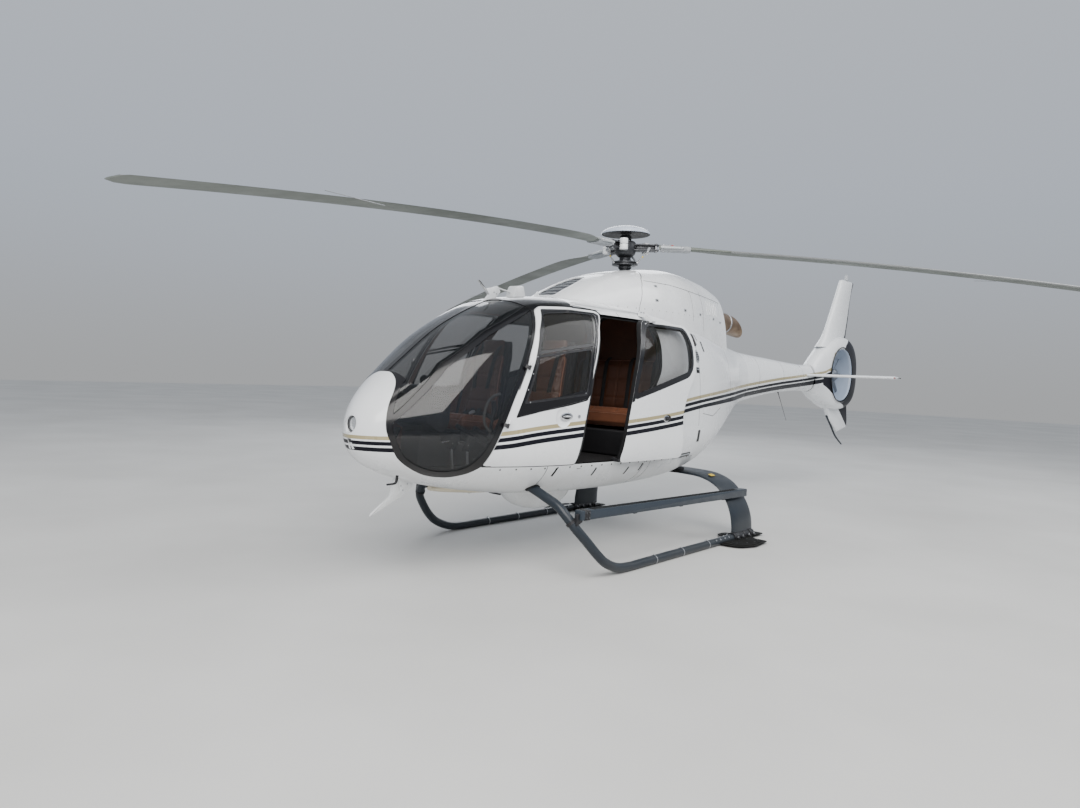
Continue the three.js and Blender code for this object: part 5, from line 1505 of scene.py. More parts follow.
def build_seats():
    """Front seats and rear bench: filled leather pads with sewn channels, piping, shells and belts."""
    flat = soften(pad_form(414, 380, 92, bolster=16))
    sewn(flat, (-60, 70), 1, 8)
    sewn(flat, (-138, 138), 0, 7)
    flat_cord = piping(flat, pad_outline(408, 376, level=20))
    back = soften(pad_form(410, 600, 78, taper=0.22, bolster=14))
    sewn(back, (-150, -30, 90), 1, 8)
    sewn(back, (-120, 120), 0, 6)
    back_cord = piping(back, pad_outline(396, 596, level=16))
    head = soften(pad_form(250, 150, 70, power=3.2), cap=16)
    for side, word in SIDES:
        x = side * SEAT_X
        set_pad(copy(flat), copy(flat_cord), word + "_seat_cushion", tilted((x, -1765, 1118), -4), "leather",
                (word + "_front_seat",))
        set_pad(copy(back), copy(back_cord), word + "_seat_back", tilted((x, -1500, 1440), 77),
                "back_leather")
        set_pad(copy(head), None, word + "_headrest", tilted((x, -1425, 1774), 80), "back_leather")
        things = []
        base = [(-1975, 1062), (-1560, 1062), (-1590, 960), (-1600, 822), (-1900, 822), (-1930, 960)]
        things.append((slab(base, 30, x - 200, x + 200, 10), "satin_black"))
        spine = [(-1545, 1070), (-1500, 1090), (-1375, 1700), (-1378, 1830), (-1396, 1838), (-1425, 1700)]
        things.append((slab(spine, 14, x - 190, x + 190, 8), "satin_black"))
        for rail in (-150, 150):
            things.append((box(x + rail - 16, x + rail + 16, -1975, -1450, 815.5, 835, 3), "steel"))
        mixed(things, word + "_seat_shell")
        things = [(ribbon([(x + k * 105, -1440, 1800), (x + k * 108, -1500, 1720), (x + k * 90, -1555, 1500),
                           (x + k * 60, -1590, 1280), (x + k * 20, -1640, 1195)], 46, 2.5, (1, 0, 0), 30),
                   "belt") for k in (-1, 1)]
        things += [
            (ribbon([(x - 205, -1590, 1120), (x - 150, -1620, 1185), (x, -1650, 1192), (x + 150, -1620, 1185),
                     (x + 205, -1590, 1120)], 46, 2.5, (0, 0.5, 1), 30), "belt"),
            (moved(plate(56, 56, 14, 24, 3), tilted((x, -1655, 1194), 35)), "steel"),
        ]
        mixed(things, word + "_seat_belts")
    flat = soften(pad_form(1190, 392, 134, power=4.2, bolster=8), 10.0)
    sewn(flat, (-290, 0, 290), 0, 11)
    sewn(flat, (60,), 1, 8)
    cord = piping(flat, pad_outline(1180, 386, 12, 260, 30))
    set_pad(flat, cord, "bench_cushion", tilted((0, -284, 1178), -5), "leather", ("rear_bench",))
    back = soften(pad_form(1180, 600, 84, power=5, bolster=6), 10.0)
    sewn(back, (-290, 0, 290), 0, 9)
    sewn(back, (-120, 60), 1, 7)
    cord = piping(back, pad_outline(1170, 596, 12, 260, 20))
    set_pad(back, cord, "bench_back", tilted((0, 26, 1470), 81), "back_leather")
    base = slab([(-462, 1066), (60, 1066), (60, 820), (-400, 820)], 20, -590, 590, 8)
    simple(base, "bench_base", "airframe", "dark")
    things = []
    for x in (-430, -150, 150, 430):
        things += [
            (ribbon([(x, 40, 1760), (x, -20, 1700), (x, -60, 1450), (x, -90, 1230)], 44, 2.5, (1, 0, 0), 24),
             "belt"),
            (moved(plate(50, 60, 14, 12, 3), tilted((x, -100, 1216), 60)), "steel"),
        ]
    mixed(things, "bench_belts")


def build_interior():
    """Floor, bulkhead, hold, door posts, console, controls and pedals."""
    clear = hull(WALL + SEAM)
    floor = common(clear, box(-900, 900, -2750, BULKHEAD_Y - SEAM, FLOOR_TOP - 25, FLOOR_TOP))
    simple(floor, "cabin_carpet", "airframe", "carpet", ("cabin_floor",))
    wall = common(clear, box(-900, 900, BULKHEAD_Y, BULKHEAD_Y + 30, FLOOR_TOP - 25, 2400))
    simple(wall, "rear_bulkhead_trim", "airframe", "tan_trim", ("cabin_bulkhead",))
    hold = common(clear, box(-900, 900, BULKHEAD_Y + 30.6, 1210, FLOOR_TOP - 25, FLOOR_TOP))
    end = common(clear, box(-900, 900, 1200, 1230, 600, 2400))
    simple(gathered(hold, end), "hold_lining", "airframe", "carpet", ("baggage_hold",))
    post_shell = shell(WALL + 6, WALL + 45)
    for side, word in SIDES:
        post = common(post_shell, on_side(rounded(DOOR_POST, 20), side), box(-900, 900, -1700, -1000,
                FLOOR_TOP + SEAM, 2300))
        skin_piece(post, HULL, word + "_post_trim", "airframe",
                   skin_finish("satin_black", "tan_trim", "satin_black"), (word + "_door_post",),
                   WALL + 6, 39)
    head = cut(shell(WALL + 1, WALL + 16), box(-FAR, FAR, -3300, 3000, 0, 2092),
               box(-FAR, FAR, -3300, -1760, 0, 3000), box(-FAR, FAR, BULKHEAD_Y - 2, 3000, 0, 3000))
    lining(head, "headliner", WALL + 1, 15, "grey_trim")
    pod = [(-2665, 1180), (-2660, 1330), (-2590, 1420), (-2450, 1392), (-2404, 1352), (-2426, 1130),
           (-2500, 1080)]
    things = [(slab(pod, 40, -225, 225, 26), "dark")]
    shield = [(0, -2668, 1372), (0, -2560, 1436), (0, -2400, 1398)]
    things.append((ribbon(shield, 470, 14, (1, 0, 0), 20), "satin_black"))
    stem = [(-2640, 822), (-2600, 1180), (-2440, 1160), (-2400, 1000), (-2080, 985), (-2064, 940),
            (-2066, 822)]
    things.append((slab(stem, 50, -112, 112, 14), "dark"))
    for x in (-118, 55):
        at = tilted((x, -2413, 1252), 80)
        things += [
            (moved(plate(150, 190, 8, 12, 2), at), "satin_black"),
            (moved(plate(126, 156, 9.2, 6), at), "display"),
        ]
    for i in range(3):
        at = tilted((178, -2410, 1190 + 62 * i), 80)
        things.append((moved(lathe([(27, 0), (27, 8), (23, 10), (22, 6), (2, 6)], sides=28), at),
                       "satin_black"))
    for i in range(4):
        for k in range(5):
            foot = Vector((36 * k - 72, 55 * i - 2330, 994 - 2 * i))
            knob = rod(foot, foot + Vector((0, 0, 12)), 9, 7, 12, 1)
            things.append((knob, "grey_trim" if (i + k) % 3 else "steel"))
    things.append((box(-90, 90, -2140, -2080, 984, 996, 4), "satin_black"))
    mixed(things, "console_pod", nodes=("instrument_console",))
    things = []
    for side in (1, -1):
        x = side * SEAT_X
        stick = [(x, -2120, 820), (x, -2150, 950), (x - side * 8, -2128, 1100), (x - side * 20, -2090, 1230)]
        things += [
            (tube(stick, (17, 13, 12, 12), 30, 14), "satin_black"),
            (tube([(x - side * 20, -2092, 1222), (x - side * 22, -2078, 1275), (x - side * 20, -2092, 1340)],
                  (17, 22, 18), 20, 16), "dark"),
            (rod((x, -2120, 818), (x, -2120, 840), 46, 30, 24, 4), "seal"),
        ]
        lever = [(x - side * 265, -1560, 900), (x - side * 262, -1760, 960), (x - side * 258, -1960, 1065)]
        things += [
            (tube(lever, (14, 13, 13), 20, 14), "satin_black"),
            (tube([(x - side * 258, -1935, 1050), (x - side * 257, -2060, 1112)], (19, 19), 8, 16), "dark"),
        ]
        for k in (-1, 1):
            px = x + k * 85
            things.append((tube([(px, -2430, 830), (px, -2440, 960), (px, -2425, 1020)], 9, 14, 12), "steel"))
            pedal = moved(plate(92, 120, 9, 14, 2), tilted((px, -2418, 1028), 62))
            things.append((pedal, "satin_black"))
        grab = [(side * 570, -2330, 1120), (side * 505, -2335, 1180), (side * 480, -2310, 1290),
                (side * 505, -2275, 1370), (side * 560, -2240, 1405)]
        things.append((tube(grab, 11, 40, 14), "grey_trim"))
    things += [
        (ball((0, -2500, 1478), (34, 34, 40)), "satin_black"),
        (rod((0, -2500, 1420), (0, -2500, 1460), 14), "satin_black"),
    ]
    mixed(things, "flight_controls")


def build_rear_fuselage():
    """The tail cone ahead of the boom, with the baggage door on the right."""
    along = Vector((math.sin(BAGGAGE_TURN), math.cos(BAGGAGE_TURN), 0))
    turn = Matrix((along, Vector((0, 0, 1)), along.cross(Vector((0, 0, 1))))).transposed().to_4x4()
    door = rounded([(412, 930), (942, 930), (942, 1430), (412, 1430)], 60, 8)

    def side_cut(outline):
        return moved(pillow(outline, [(-1000, 0), (-600, 0)], axis=2), turn)

    ring = common(shell(), box(-FAR, FAR, CABIN_AFT + SEAM, TAILCONE_AFT, 0, 3000))
    body = cut(ring, side_cut(grown(door, 9)))
    body = grooved(body, [[(1400, 2300), (1460, 700)]])
    body = grooved(body, [[(452, 1240), (730, 1210), (980, 1290)]], 1)
    panel(body, "rear_fuselage_skin", "rear_fuselage", finish=("paint", "dark", "seal"))
    lid = common(shell(), side_cut(door))
    panel(lid, "baggage_lid", "baggage_door", "hold_door", ("paint", "grey_trim", "white"))
    for body, label, rise, back in (("airframe", "baggage_hinge_leaves", 0, -1),
                                    ("hold_door", "baggage_lid_fittings", 34.3, 1)):
        things = []
        for z in (1030, 1330):
            at = np.array((-712, 561, z + rise), float)
            flat = [at + (0, 0, 17) + np.array(along) * back * k + (d, 0, 0) for k, d in ((0, 2), (14, 8),
                    (34, 20))]
            things += [
                (rod(at, at + (0, 0, 34), 9, edge=1.5), "white"),
                (ribbon(flat, 30, 7, (0, 0, 1), 8), "white"),
            ]
        for z in (1330, 1030) if rise else ():
            at = facing(*skin_point(HULL, along[1] * 880, z, -1))
            things += [
                (moved(plate(64, 34, 3.5, 8), at), "rotor_grey"),
                (moved(plate(40, 14, 6.5, 4), at), "steel"),
            ]
        mixed(things, label, body)
    places = []
    for s in (1, -1):
        places += [skin_point(HULL, 2306, z, s) for z in (1400, 1480, 1570, 1660, 1750, 1840)]
        places += [skin_point(HULL, 470, z, s) for z in range(900, 2100, 80)]
    simple(studs(places, 3.6, 1.2), "fuselage_rivets", "airframe", "white")


def cowl(inset):
    if ("cowl", inset) not in FORMS:
        FORMS["cowl", inset] = skin(COWL, inset, spacing=40)
    return FORMS["cowl", inset]


def build_cowl():
    """The two cowls with the screened intake, panel lines, latches and the exhaust."""
    cover = cut(cowl(0), cowl(WALL), hull(-SEAM), rod((0, 0, 2300), (0, 0, 2900), 90, sides=48),
                side_prism([COWL_REAR[0], COWL_REAR[1], (2600, 1500), (2600, 2800)]))
    slot_outline = rounded([(-118, -1196), (118, -1196), (122, -1010), (112, -850), (74, -704), (-74, -704),
                            (-112, -850), (-122, -1010)], 34)
    front = common(cover, side_prism(COWL_SEAM))
    front = cut(front, cut(top_prism(slot_outline, INTAKE_LOW, INTAKE_HIGH), cowl(20)))
    front = grooved(front, [[(-60, 2640), (-100, 2592), (-249, 2495), (-330, 2400), (-411, 2232),
                             (-440, 2120)], [(-235, 2480), (190, 2478)]], 0, table=COWL)
    skin_piece(front, COWL, "front_cowl_skin", "airframe",
               skin_finish("white", "dark", "seal"), ("front_cowl",))
    screen = common(cut(cowl(13), cowl(21)), top_prism(grown(slot_outline, -0.5), INTAKE_LOW, INTAKE_HIGH))
    skin_piece(screen, COWL, "intake_screen", "airframe", [MATERIALS["screen"]], (), 13, 8)
    rim = common(cut(cowl(-3.5), cowl(9)), top_prism(grown(slot_outline, 9), INTAKE_LOW, INTAKE_HIGH))
    rim = cut(rim, top_prism(grown(slot_outline, -1), 2100, 2800))
    skin_piece(rim, COWL, "intake_rim", "airframe", [MATERIALS["white"]], (), -3.5, 12.5)
    ribs = []
    for y in (-1120, -1035, -950, -865, -785):
        w = np.interp(y, (-1196, -850, -704), (118, 112, 76)) - 3
        ribs.append(common(cut(cowl(6), cowl(14)), box(-w, w, y - 3, y + 3, 2100, 2700)))
    simple(gathered(*ribs), "intake_ribs", "airframe", "rotor_grey")
    rear = cut(cover, side_prism(grown(COWL_SEAM, SEAM)))
    hole = rod((0, 1390, 2330), (0, 1700, 2300), 125, sides=48)
    (y0, z0), (y1, z1) = COWL_REAR
    plane = [(y0 - WALL, z0), (y1 - WALL, z1), (y1 - 3, z1), (y0 - 3, z0)]
    closing = cut(common(cowl(WALL - 5), side_prism(plane)), hull(-SEAM), hole)
    rear = cut(rear, hole)
    lines = [[(60, 2484), (498, 2458), (1400, 2430)], [(760, 2484), (800, 2080)], [(498, 2458), (520, 2160)]]
    rear = grooved(rear, lines, table=COWL)
    skin_piece(rear, COWL, "rear_cowl_skin", "airframe", skin_finish("white", "dark", "seal"),
               ("rear_cowl",))
    simple(closing, "cowl_rear_wall", "airframe", "white")
    things = []
    louvres = []
    for side in (1, -1):
        for k in range(6):
            y = 900 + 62 * k
            louvres.append(moved(plate(12, 150, 5, 5, 2), facing(*skin_point(COWL, y, 2330, side))))
        for y, z in ((-160, 2300), (-110, 2440), (330, 2250), (700, 2240), (1100, 2230), (1340, 2210)):
            at = facing(*skin_point(COWL, y, z, side))
            things += [
                (moved(plate(46, 26, 2.4, 7), at), "rotor_grey"),
                (moved(plate(26, 9, 4.2, 3), at), "satin_black"),
            ]
        places = [skin_point(COWL, y, 2484 - 0.06 * (y - 60), side) for y in range(80, 1380, 84)]
        places += [skin_point(COWL, y, 2205 + 0.01 * y, side) for y in range(-900, 1500, 110)]
        things.append((studs(places, 4.0, 1.6), "satin_black"))
    mixed(things + [(gathered(*louvres), "white")], "cowl_latches")
    deck = hull(-SEAM)
    for room, name, node in (((-230, 230, 480, 1370, 2050, 2450), "engine_casing", "engine_block"),
                             ((-170, 170, -150, 260, 2150, 2540), "gearbox_casing", "main_gearbox")):
        simple(cut(box(*room, 20), deck), name, "airframe", "machinery", (node,))
    outside = lathe([(118, 0), (120, 6), (120, 290), (121, 300), (120, 310), (119, 560), (116, 900),
                     (114, 1150)], EXHAUST_START, EXHAUST_AXIS, 64)
    bore = rod((0, 1850, 2286), (0, 2620, 2214), 111, 105, 64)
    scarf = side_prism([(2130, 2400), (2470, 2090), (2900, 2090), (2900, 2400)])
    pipe = cut(outside, bore, scarf, deck)
    finish_piece(pipe, "exhaust_outlet", "airframe", [MATERIALS["exhaust"]],
                 ("exhaust_pipe",))
    bands = [(ring_solid([(118, -9), (124, -7), (124, 7), (118, 9)], (0, y, 2331.5 - (y - 1370) * 0.0938),
                         EXHAUST_AXIS, 64), "steel") for y in (1780, 2060)]
    inner = cut(rod((0, 1846, 2286.4), (0, 1852, 2286), 112, sides=48), rod((0, 1800, 2290), (0, 1900, 2282),
            40, sides=24))
    bands += [
        (inner, "soot"),
        (lathe([(40, 0), (38, 60), (26, 110), (4, 140)], (0, 1850, 2286), EXHAUST_AXIS, 32), "soot"),
    ]
    mixed(bands, "exhaust_bands")


def build_boom():
    """The boom with its joint bands, stabiliser, tip lights and the wire antenna under it."""
    foil = [(4300, 1706), (4306, 1714), (4322, 1722), (4360, 1729), (4400, 1731), (4460, 1730), (4520, 1726),
            (4580, 1719), (4640, 1711), (4640, 1707), (4580, 1703), (4520, 1699), (4460, 1695), (4400, 1692),
            (4360, 1692), (4322, 1694), (4306, 1699)]
    boom = cut(skin(BOOM, 0, 96, 60, y1=4639.9), skin(BOOM + [(4660, 136, 1650, 1868, 1475, 2.2, 2.2)],
                                                      TAIL_WALL, 64, 90))
    boom = common(boom, box(-FAR, FAR, TAILCONE_AFT + SEAM, 4640, 0, 3000))
    boom = cut(boom, side_prism(grown(foil, SEAM)))
    boom = grooved(boom, [[(y, 2200), (y, 1200)] for y in (2700, 3480, 4180)], table=BOOM)
    skin_piece(boom, BOOM, "boom_skin", "airframe", skin_finish("paint", "dark", "seal"),
               ("tail_boom",), 0, TAIL_WALL)
    wing = pillow(foil, [(-1300, 8), (-1296, 3), (-1284, 0), (1284, 0), (1296, 3), (1300, 8)], axis=0)
    simple(wing, "stabiliser_skin", "airframe", "white", ("stabiliser",), 50)
    things = []
    for side in (1, -1):
        glass = ball((side * 1300, 4350, 1708), (16, 34, 11), 20, 10)
        things.append((common(glass, on_side([(4250, 1650), (4450, 1650), (4450, 1750), (4250, 1750)], side,
                                             1250, 1312)), "red_lens" if side > 0 else "lens"))
    places = []
    for y in (2342, 2680, 2720, 3460, 3500, 4160, 4200, 4625):
        top, bottom = columns_at(BOOM, [y])[0][2:4]
        for s in (1, -1):
            places += [skin_point(BOOM, y, z, s) for z in np.linspace(bottom + 30, top - 25, 9)]
    simple(studs(places, 3.2, 1.1, 8), "boom_rivets", "airframe", "white")
    wire = [(0, 3704, 1446), (0, 3800, 1330), (0, 3925, 1170), (0, 4011, 1062)]
    things += [
        (tube(wire, (5, 3, 2.4, 2), 20, 10), "satin_black"),
        (rod((0, 3700, 1470), (0, 3706, 1436), 12, 7, 20, 2), "satin_black"),
    ]
    mixed(things, "boom_fittings")


def foil_height(share, root, *falls):
    """The half thickness of a wing section at a share of its chord, about 1 where it is thickest."""
    return 10 * (root * math.sqrt(share) - sum(fall * share**(k + 1) for k, fall in enumerate(falls)))


def fin_section(row, sides=40):
    """A ring of the fin, a slender wing section, at one height."""
    z, lead, trail, half = row
    out = []
    for k in range(sides):
        t = 2 * math.pi * k / sides
        share = (1 - math.cos(t)) / 2
        thick = foil_height(share, 0.30, 0.126, 0.352, -0.284, 0.1015)
        out.append((math.copysign(thick * half * 0.96, math.sin(t)), lead + (trail - lead) * share, z))
    return out


def fin_form():
    """The fin above the shroud, smooth from its wide foot to the tip."""
    rows = np.array(FIN, float)
    levels = np.concatenate([np.linspace(rows[i, 0], rows[i + 1, 0], 5)[:-1]
                             for i in range(len(rows) - 1)] + [[rows[-1, 0]]])
    cols = columns_at(rows, levels)
    return loft([fin_section((z, *c)) for z, c in zip(levels, cols)])


def build_tail():
    """The shroud with fin and small fin, duct lining, bumper and beacon."""
    body = skin(SHROUD, 0, 128, 36)
    fin = fin_form()
    lower = rounded([(5270, 1380), (5315, 1305), (5555, 1040), (5875, 843), (6271, 913), (6280, 1030),
                     (6200, 1400)], 40, 5)
    low = pillow(lower, [(-38, 44), (-34, 24), (-25, 10), (-10, 0), (10, 0), (25, 10), (34, 24), (38, 44)],
                 axis=0)
    half = SHROUD_HALF
    mouth = [(FAN_DUCT, half - 40), (FAN_DUCT + 4, half - 22), (FAN_DUCT + 14, half - 9),
             (FAN_LIP - 6, half - 2), (FAN_LIP + 4, half + 4), (FAN_LIP + 12, half + 20), (0.5, half + 20)]
    duct = lathe([(r, -h) for r, h in mouth[::-1]] + mouth, (0, FAN_Y, FAN_Z), (1, 0, 0), 128)
    start = SHROUD[0]
    cavity = cut(skin([(start[0] - WALL, *start[1:])] + SHROUD, TAIL_WALL, 64, 60),
                 rod((-FAR, FAN_Y, FAN_Z), (FAR, FAN_Y, FAN_Z), FAN_LIP + TAIL_WALL, sides=64))
    whole = cut(united(body, fin, low), duct, cavity)
    mesh = whole.data
    points = mesh_points(mesh)
    centre = np.array([[p.center.x, p.center.y, p.center.z] for p in mesh.polygons])
    reach = np.hypot(centre[:, 1] - FAN_Y, centre[:, 2] - FAN_Z)
    facing_x = np.array([abs(p.normal.x) for p in mesh.polygons])
    kinds = np.where((reach < FAN_LIP + 2) & (facing_x < 0.97), 1, 0)
    normals = np.zeros((len(mesh.loops), 3))
    corners = np.empty(len(mesh.loops), np.int32)
    mesh.loops.foreach_get("vertex_index", corners)
    outward, depth = skin_normals(SHROUD, 0, points)
    starts = np.cumsum([0] + [p.loop_total for p in mesh.polygons])[:-1]
    for poly, begin, kind in zip(mesh.polygons, starts, kinds):
        own = corners[begin:begin + poly.loop_total]
        close = kind == 0 and (np.abs(depth[own]) < 1.2).all()
        if close and outward[own].mean(0) @ np.array(poly.normal) > 0.9:
            normals[begin:begin + poly.loop_total] = outward[own]
    finish_piece(whole, "tail_skin", "airframe", [MATERIALS["paint"], MATERIALS["duct"]],
                 ("tail_shroud",), 35, kinds, normals)
    lip = ring_solid([(FAN_LIP - 2, half - 8), (FAN_LIP + 10, half - 12), (FAN_LIP + 13, half - 2),
                      (FAN_LIP + 6, half + 3), (FAN_LIP - 4, half - 1)], (0, FAN_Y, FAN_Z), (1, 0, 0), 128)
    lip = cut(lip, rod((0, FAN_Y, FAN_Z), (FAR, FAN_Y, FAN_Z), FAN_DUCT + 8, sides=96))
    mixed([(lip, "black"), (mirrored(lip), "black")], "duct_lips")
    bumper = tube([(0, 5480, 1105), (0, 5700, 930), (0, 5885, 782), (0, 6165, 640)], (16, 15, 14, 12), 40, 20)
    bumper = cut(bumper, pillow(grown(lower, SEAM), [(-60, 0), (60, 0)], axis=0))
    mixed([(bumper, "skid"), (ball((0, 6163, 641), (15, 17, 15)), "steel")], "tail_bumper_bar",
          nodes=("tail_bumper",))
    lamp = [(lathe([(34, 0.3), (34, 8), (30, 12), (26, 12)], (0, 5975, 3245), (0, 0, 1), 32), "rotor_grey"),
            (lathe([(27, 10), (28, 40), (26, 72), (18, 92), (6, 100)], (0, 5975, 3245), (0, 0, 1), 32),
             "lens")]
    mixed(lamp, "fin_beacon", nodes=("beacon",))
    places = []
    for side in (1, -1):
        for c, s in around(40):
            y, z = FAN_Y + 447 * c, FAN_Z + 447 * s
            if 1290 < z < 2240 and y < 6180:
                places.append(skin_point(SHROUD, y, z, side))
    simple(studs(places, 3.2, 1.1, 8), "shroud_rivets", "airframe", "satin_black")


def build_tail_fan():
    """Eight fan blades on their hub, and the gearbox with three struts."""
    centre = Vector((0, FAN_Y, FAN_Z))
    hub = lathe([(60, -45), (88, -42), (95, -34), (95, 60), (92, 70), (78, 84), (56, 98), (42, 108),
                 (20, 110)], (0, 0, 0), (1, 0, 0), 64)
    things = [(hub, "fan")]
    for degrees in (0, 40, 92, 128, 180, 226, 268, 316):
        rings = []
        for r in np.linspace(80, FAN_RADIUS, 16):
            share = (r - 80) / (FAN_RADIUS - 80)
            twist = math.radians(42 - 24 * share)
            half = np.interp(r, (80, 130, 230, 340, 375), (20, 27, 31, 29, 24))
            ring = []
            for c, s in around(20):
                along = half * c
                thick = 5.2 * (1 - 0.35 * share) * s * (1 + 0.35 * c) + 3.0 * s**2
                ring.append((along * math.sin(twist) + thick * math.cos(twist), r,
                             along * math.cos(twist) - thick * math.sin(twist)))
            rings.append(ring)
        root = rod((0, 86, 0), (0, 112, 0), 20, 17, 20, 2)
        things += [(moved(loft(rings), spin(degrees, "X")), "fan"), (moved(root, spin(degrees, "X")),
                "steel")]
    things += [(bolt((70, 62 * c, 62 * s), (90, 62 * c, 62 * s), 6), "steel") for c, s in around(8, 22.5)]
    things = [(moved(t, Matrix.Translation(centre)), m) for t, m in things]
    mixed(things, "fan_wheel", "tail_fan", ("fan_rotor",))
    case = lathe([(40, -150), (66, -146), (80, -132), (85, -110), (85, -62), (78, -52), (40, -50)], (0, 0, 0),
                 (1, 0, 0), 48)
    things = [(case, "duct"), (rod((-60, 0, 0), (-45.3, 0, 0), 30), "steel")]
    for c, s in around(3, 90):
        rings = [[(24 * deep - 95, r * c - 12 * across * s, r * s + 12 * across * c) for deep,
                  across in around(16)] for r in (60, 120, 250, 383)]
        things.append((loft(rings), "pale_strut"))
    things += [(bolt((-150, 60 * c, 60 * s), (-140, 60 * c, 60 * s), 5), "steel") for c, s in around(10)]
    things = [(moved(t, Matrix.Translation(centre)), m) for t, m in things]
    mixed(things, "fan_gear_casing", nodes=("fan_gearbox",))


def rotor_place(degrees=0.0):
    """The rotor's own frame, turned to one blade: X out along the blade, Z up the mast."""
    return (Matrix.Translation((0, 0, HUB_Z)) @ Matrix.Rotation(MAST_TILT, 4, "X")
            @ spin(degrees, "Z"))


def blade_line(r):
    """How far the blade hangs below the hub's plane at a radius."""
    return -SLOPE * r - DROOP * r * r


def blade_section(row, sides=32):
    """A ring of the blade, by radius, chord, thickness and share of the chord ahead of the pitch axis."""
    r, chord, thick, ahead = row
    ring = []
    for k in range(sides):
        t = 2 * math.pi * k / sides
        share = (1 - math.cos(t)) / 2
        lift = foil_height(share, 0.2969, 0.126, 0.3516, -0.2843, 0.0990) * (0.59
                if math.sin(t) > 0 else -0.36)
        ring.append((r, (share - ahead) * chord, lift * thick + blade_line(r)))
    return ring


BLADE_ROWS = [
    (BLADE_ROOT + 2, 94, 56, 0.5), (420, 97, 55, 0.5), (520, 99, 53, 0.5), (700, 149, 45, 0.4),
    (900, 229, 35, 0.3), (1100, 261, 31, 0.27), (1800, 261, 30, 0.27), (2500, 261, 29, 0.27),
    (3200, 261, 28, 0.27), (3900, 261, 27, 0.27), (4600, 261, 26, 0.27), (4860, 261, 24, 0.27),
    (4930, 243, 20, 0.20), (4975, 200, 15, 0.03), (4998, 152, 10, -0.10),
]


def build_blades():
    """Three blades with their cuffs, leading edge strips, tabs and end caps."""
    rows = []
    for a, b in zip(BLADE_ROWS[:-1], BLADE_ROWS[1:]):
        count = max(1, int((b[0] - a[0]) / 60))
        rows += [tuple(np.array(a) + (np.array(b) - np.array(a)) * k / count) for k in range(count)]
    rows.append(BLADE_ROWS[-1])
    smooth = columns_at(BLADE_ROWS, [row[0] for row in rows])
    form = loft([blade_section((row[0], *c)) for row, c in zip(rows, smooth)])
    for letter, degrees in BLADE_ANGLES.items():
        place = rotor_place(degrees)
        blade = copy(form)
        kinds = [1 if p.center[1] < -54.2 and p.center[0] > 1050 else 0 for p in blade.data.polygons]
        finish_piece(moved(blade, place), "blade_" + letter, "main_rotor", [MATERIALS["blade"],
                MATERIALS["blade_edge"]], ("main_blade_" + letter,), 60, kinds)
        square = rounded([(-1, -1), (1, -1), (1, 1), (-1, 1)], 0.5)
        cuff = [[(x, y * w, blade_line(x) + z * h) for y, z in square]
                for x, w, h in ((345, 46, 26), (352, 52, 31), (470, 54, 31), (600, 62, 28), (640, 66, 25))]
        things = [(loft(cuff), "rotor_grey")]
        for x in (376, 430):
            for y in (-30, 30):
                things.append((bolt((x, y, blade_line(x) - 34), (x, y, blade_line(x) + 36), 9, 1), "steel"))
        things.append((box(448, 470, -53.5, -36, blade_line(460) + 24, blade_line(460) + 32.2, 2), "red"))
        for y in (-62, 62):
            end = (560, y * 0.98, blade_line(560) + 6)
            things += [
                (rod((346, y, blade_line(346) + 4), end, 12, 10, 18, 2), "pale_strut"),
                (ball(end, (15, 15, 15), 14, 8), "steel"),
            ]
        tab = [(3450, 188.5), (3900, 188.5), (3900, 198), (3450, 198)]
        level = blade_line(3675) + 0.6
        things.append((top_prism(tab, level - 1.2, level + 1.2), "steel"))
        tip = [(4930, 40), (4976, 60), (4976, 110), (4930, 120)]
        things.append((top_prism(tip, blade_line(4950) - 2, blade_line(4950) + 9.2), "steel"))
        mixed([(moved(t, place), m) for t, m in things], "blade_" + letter + "_cuff", "main_rotor")


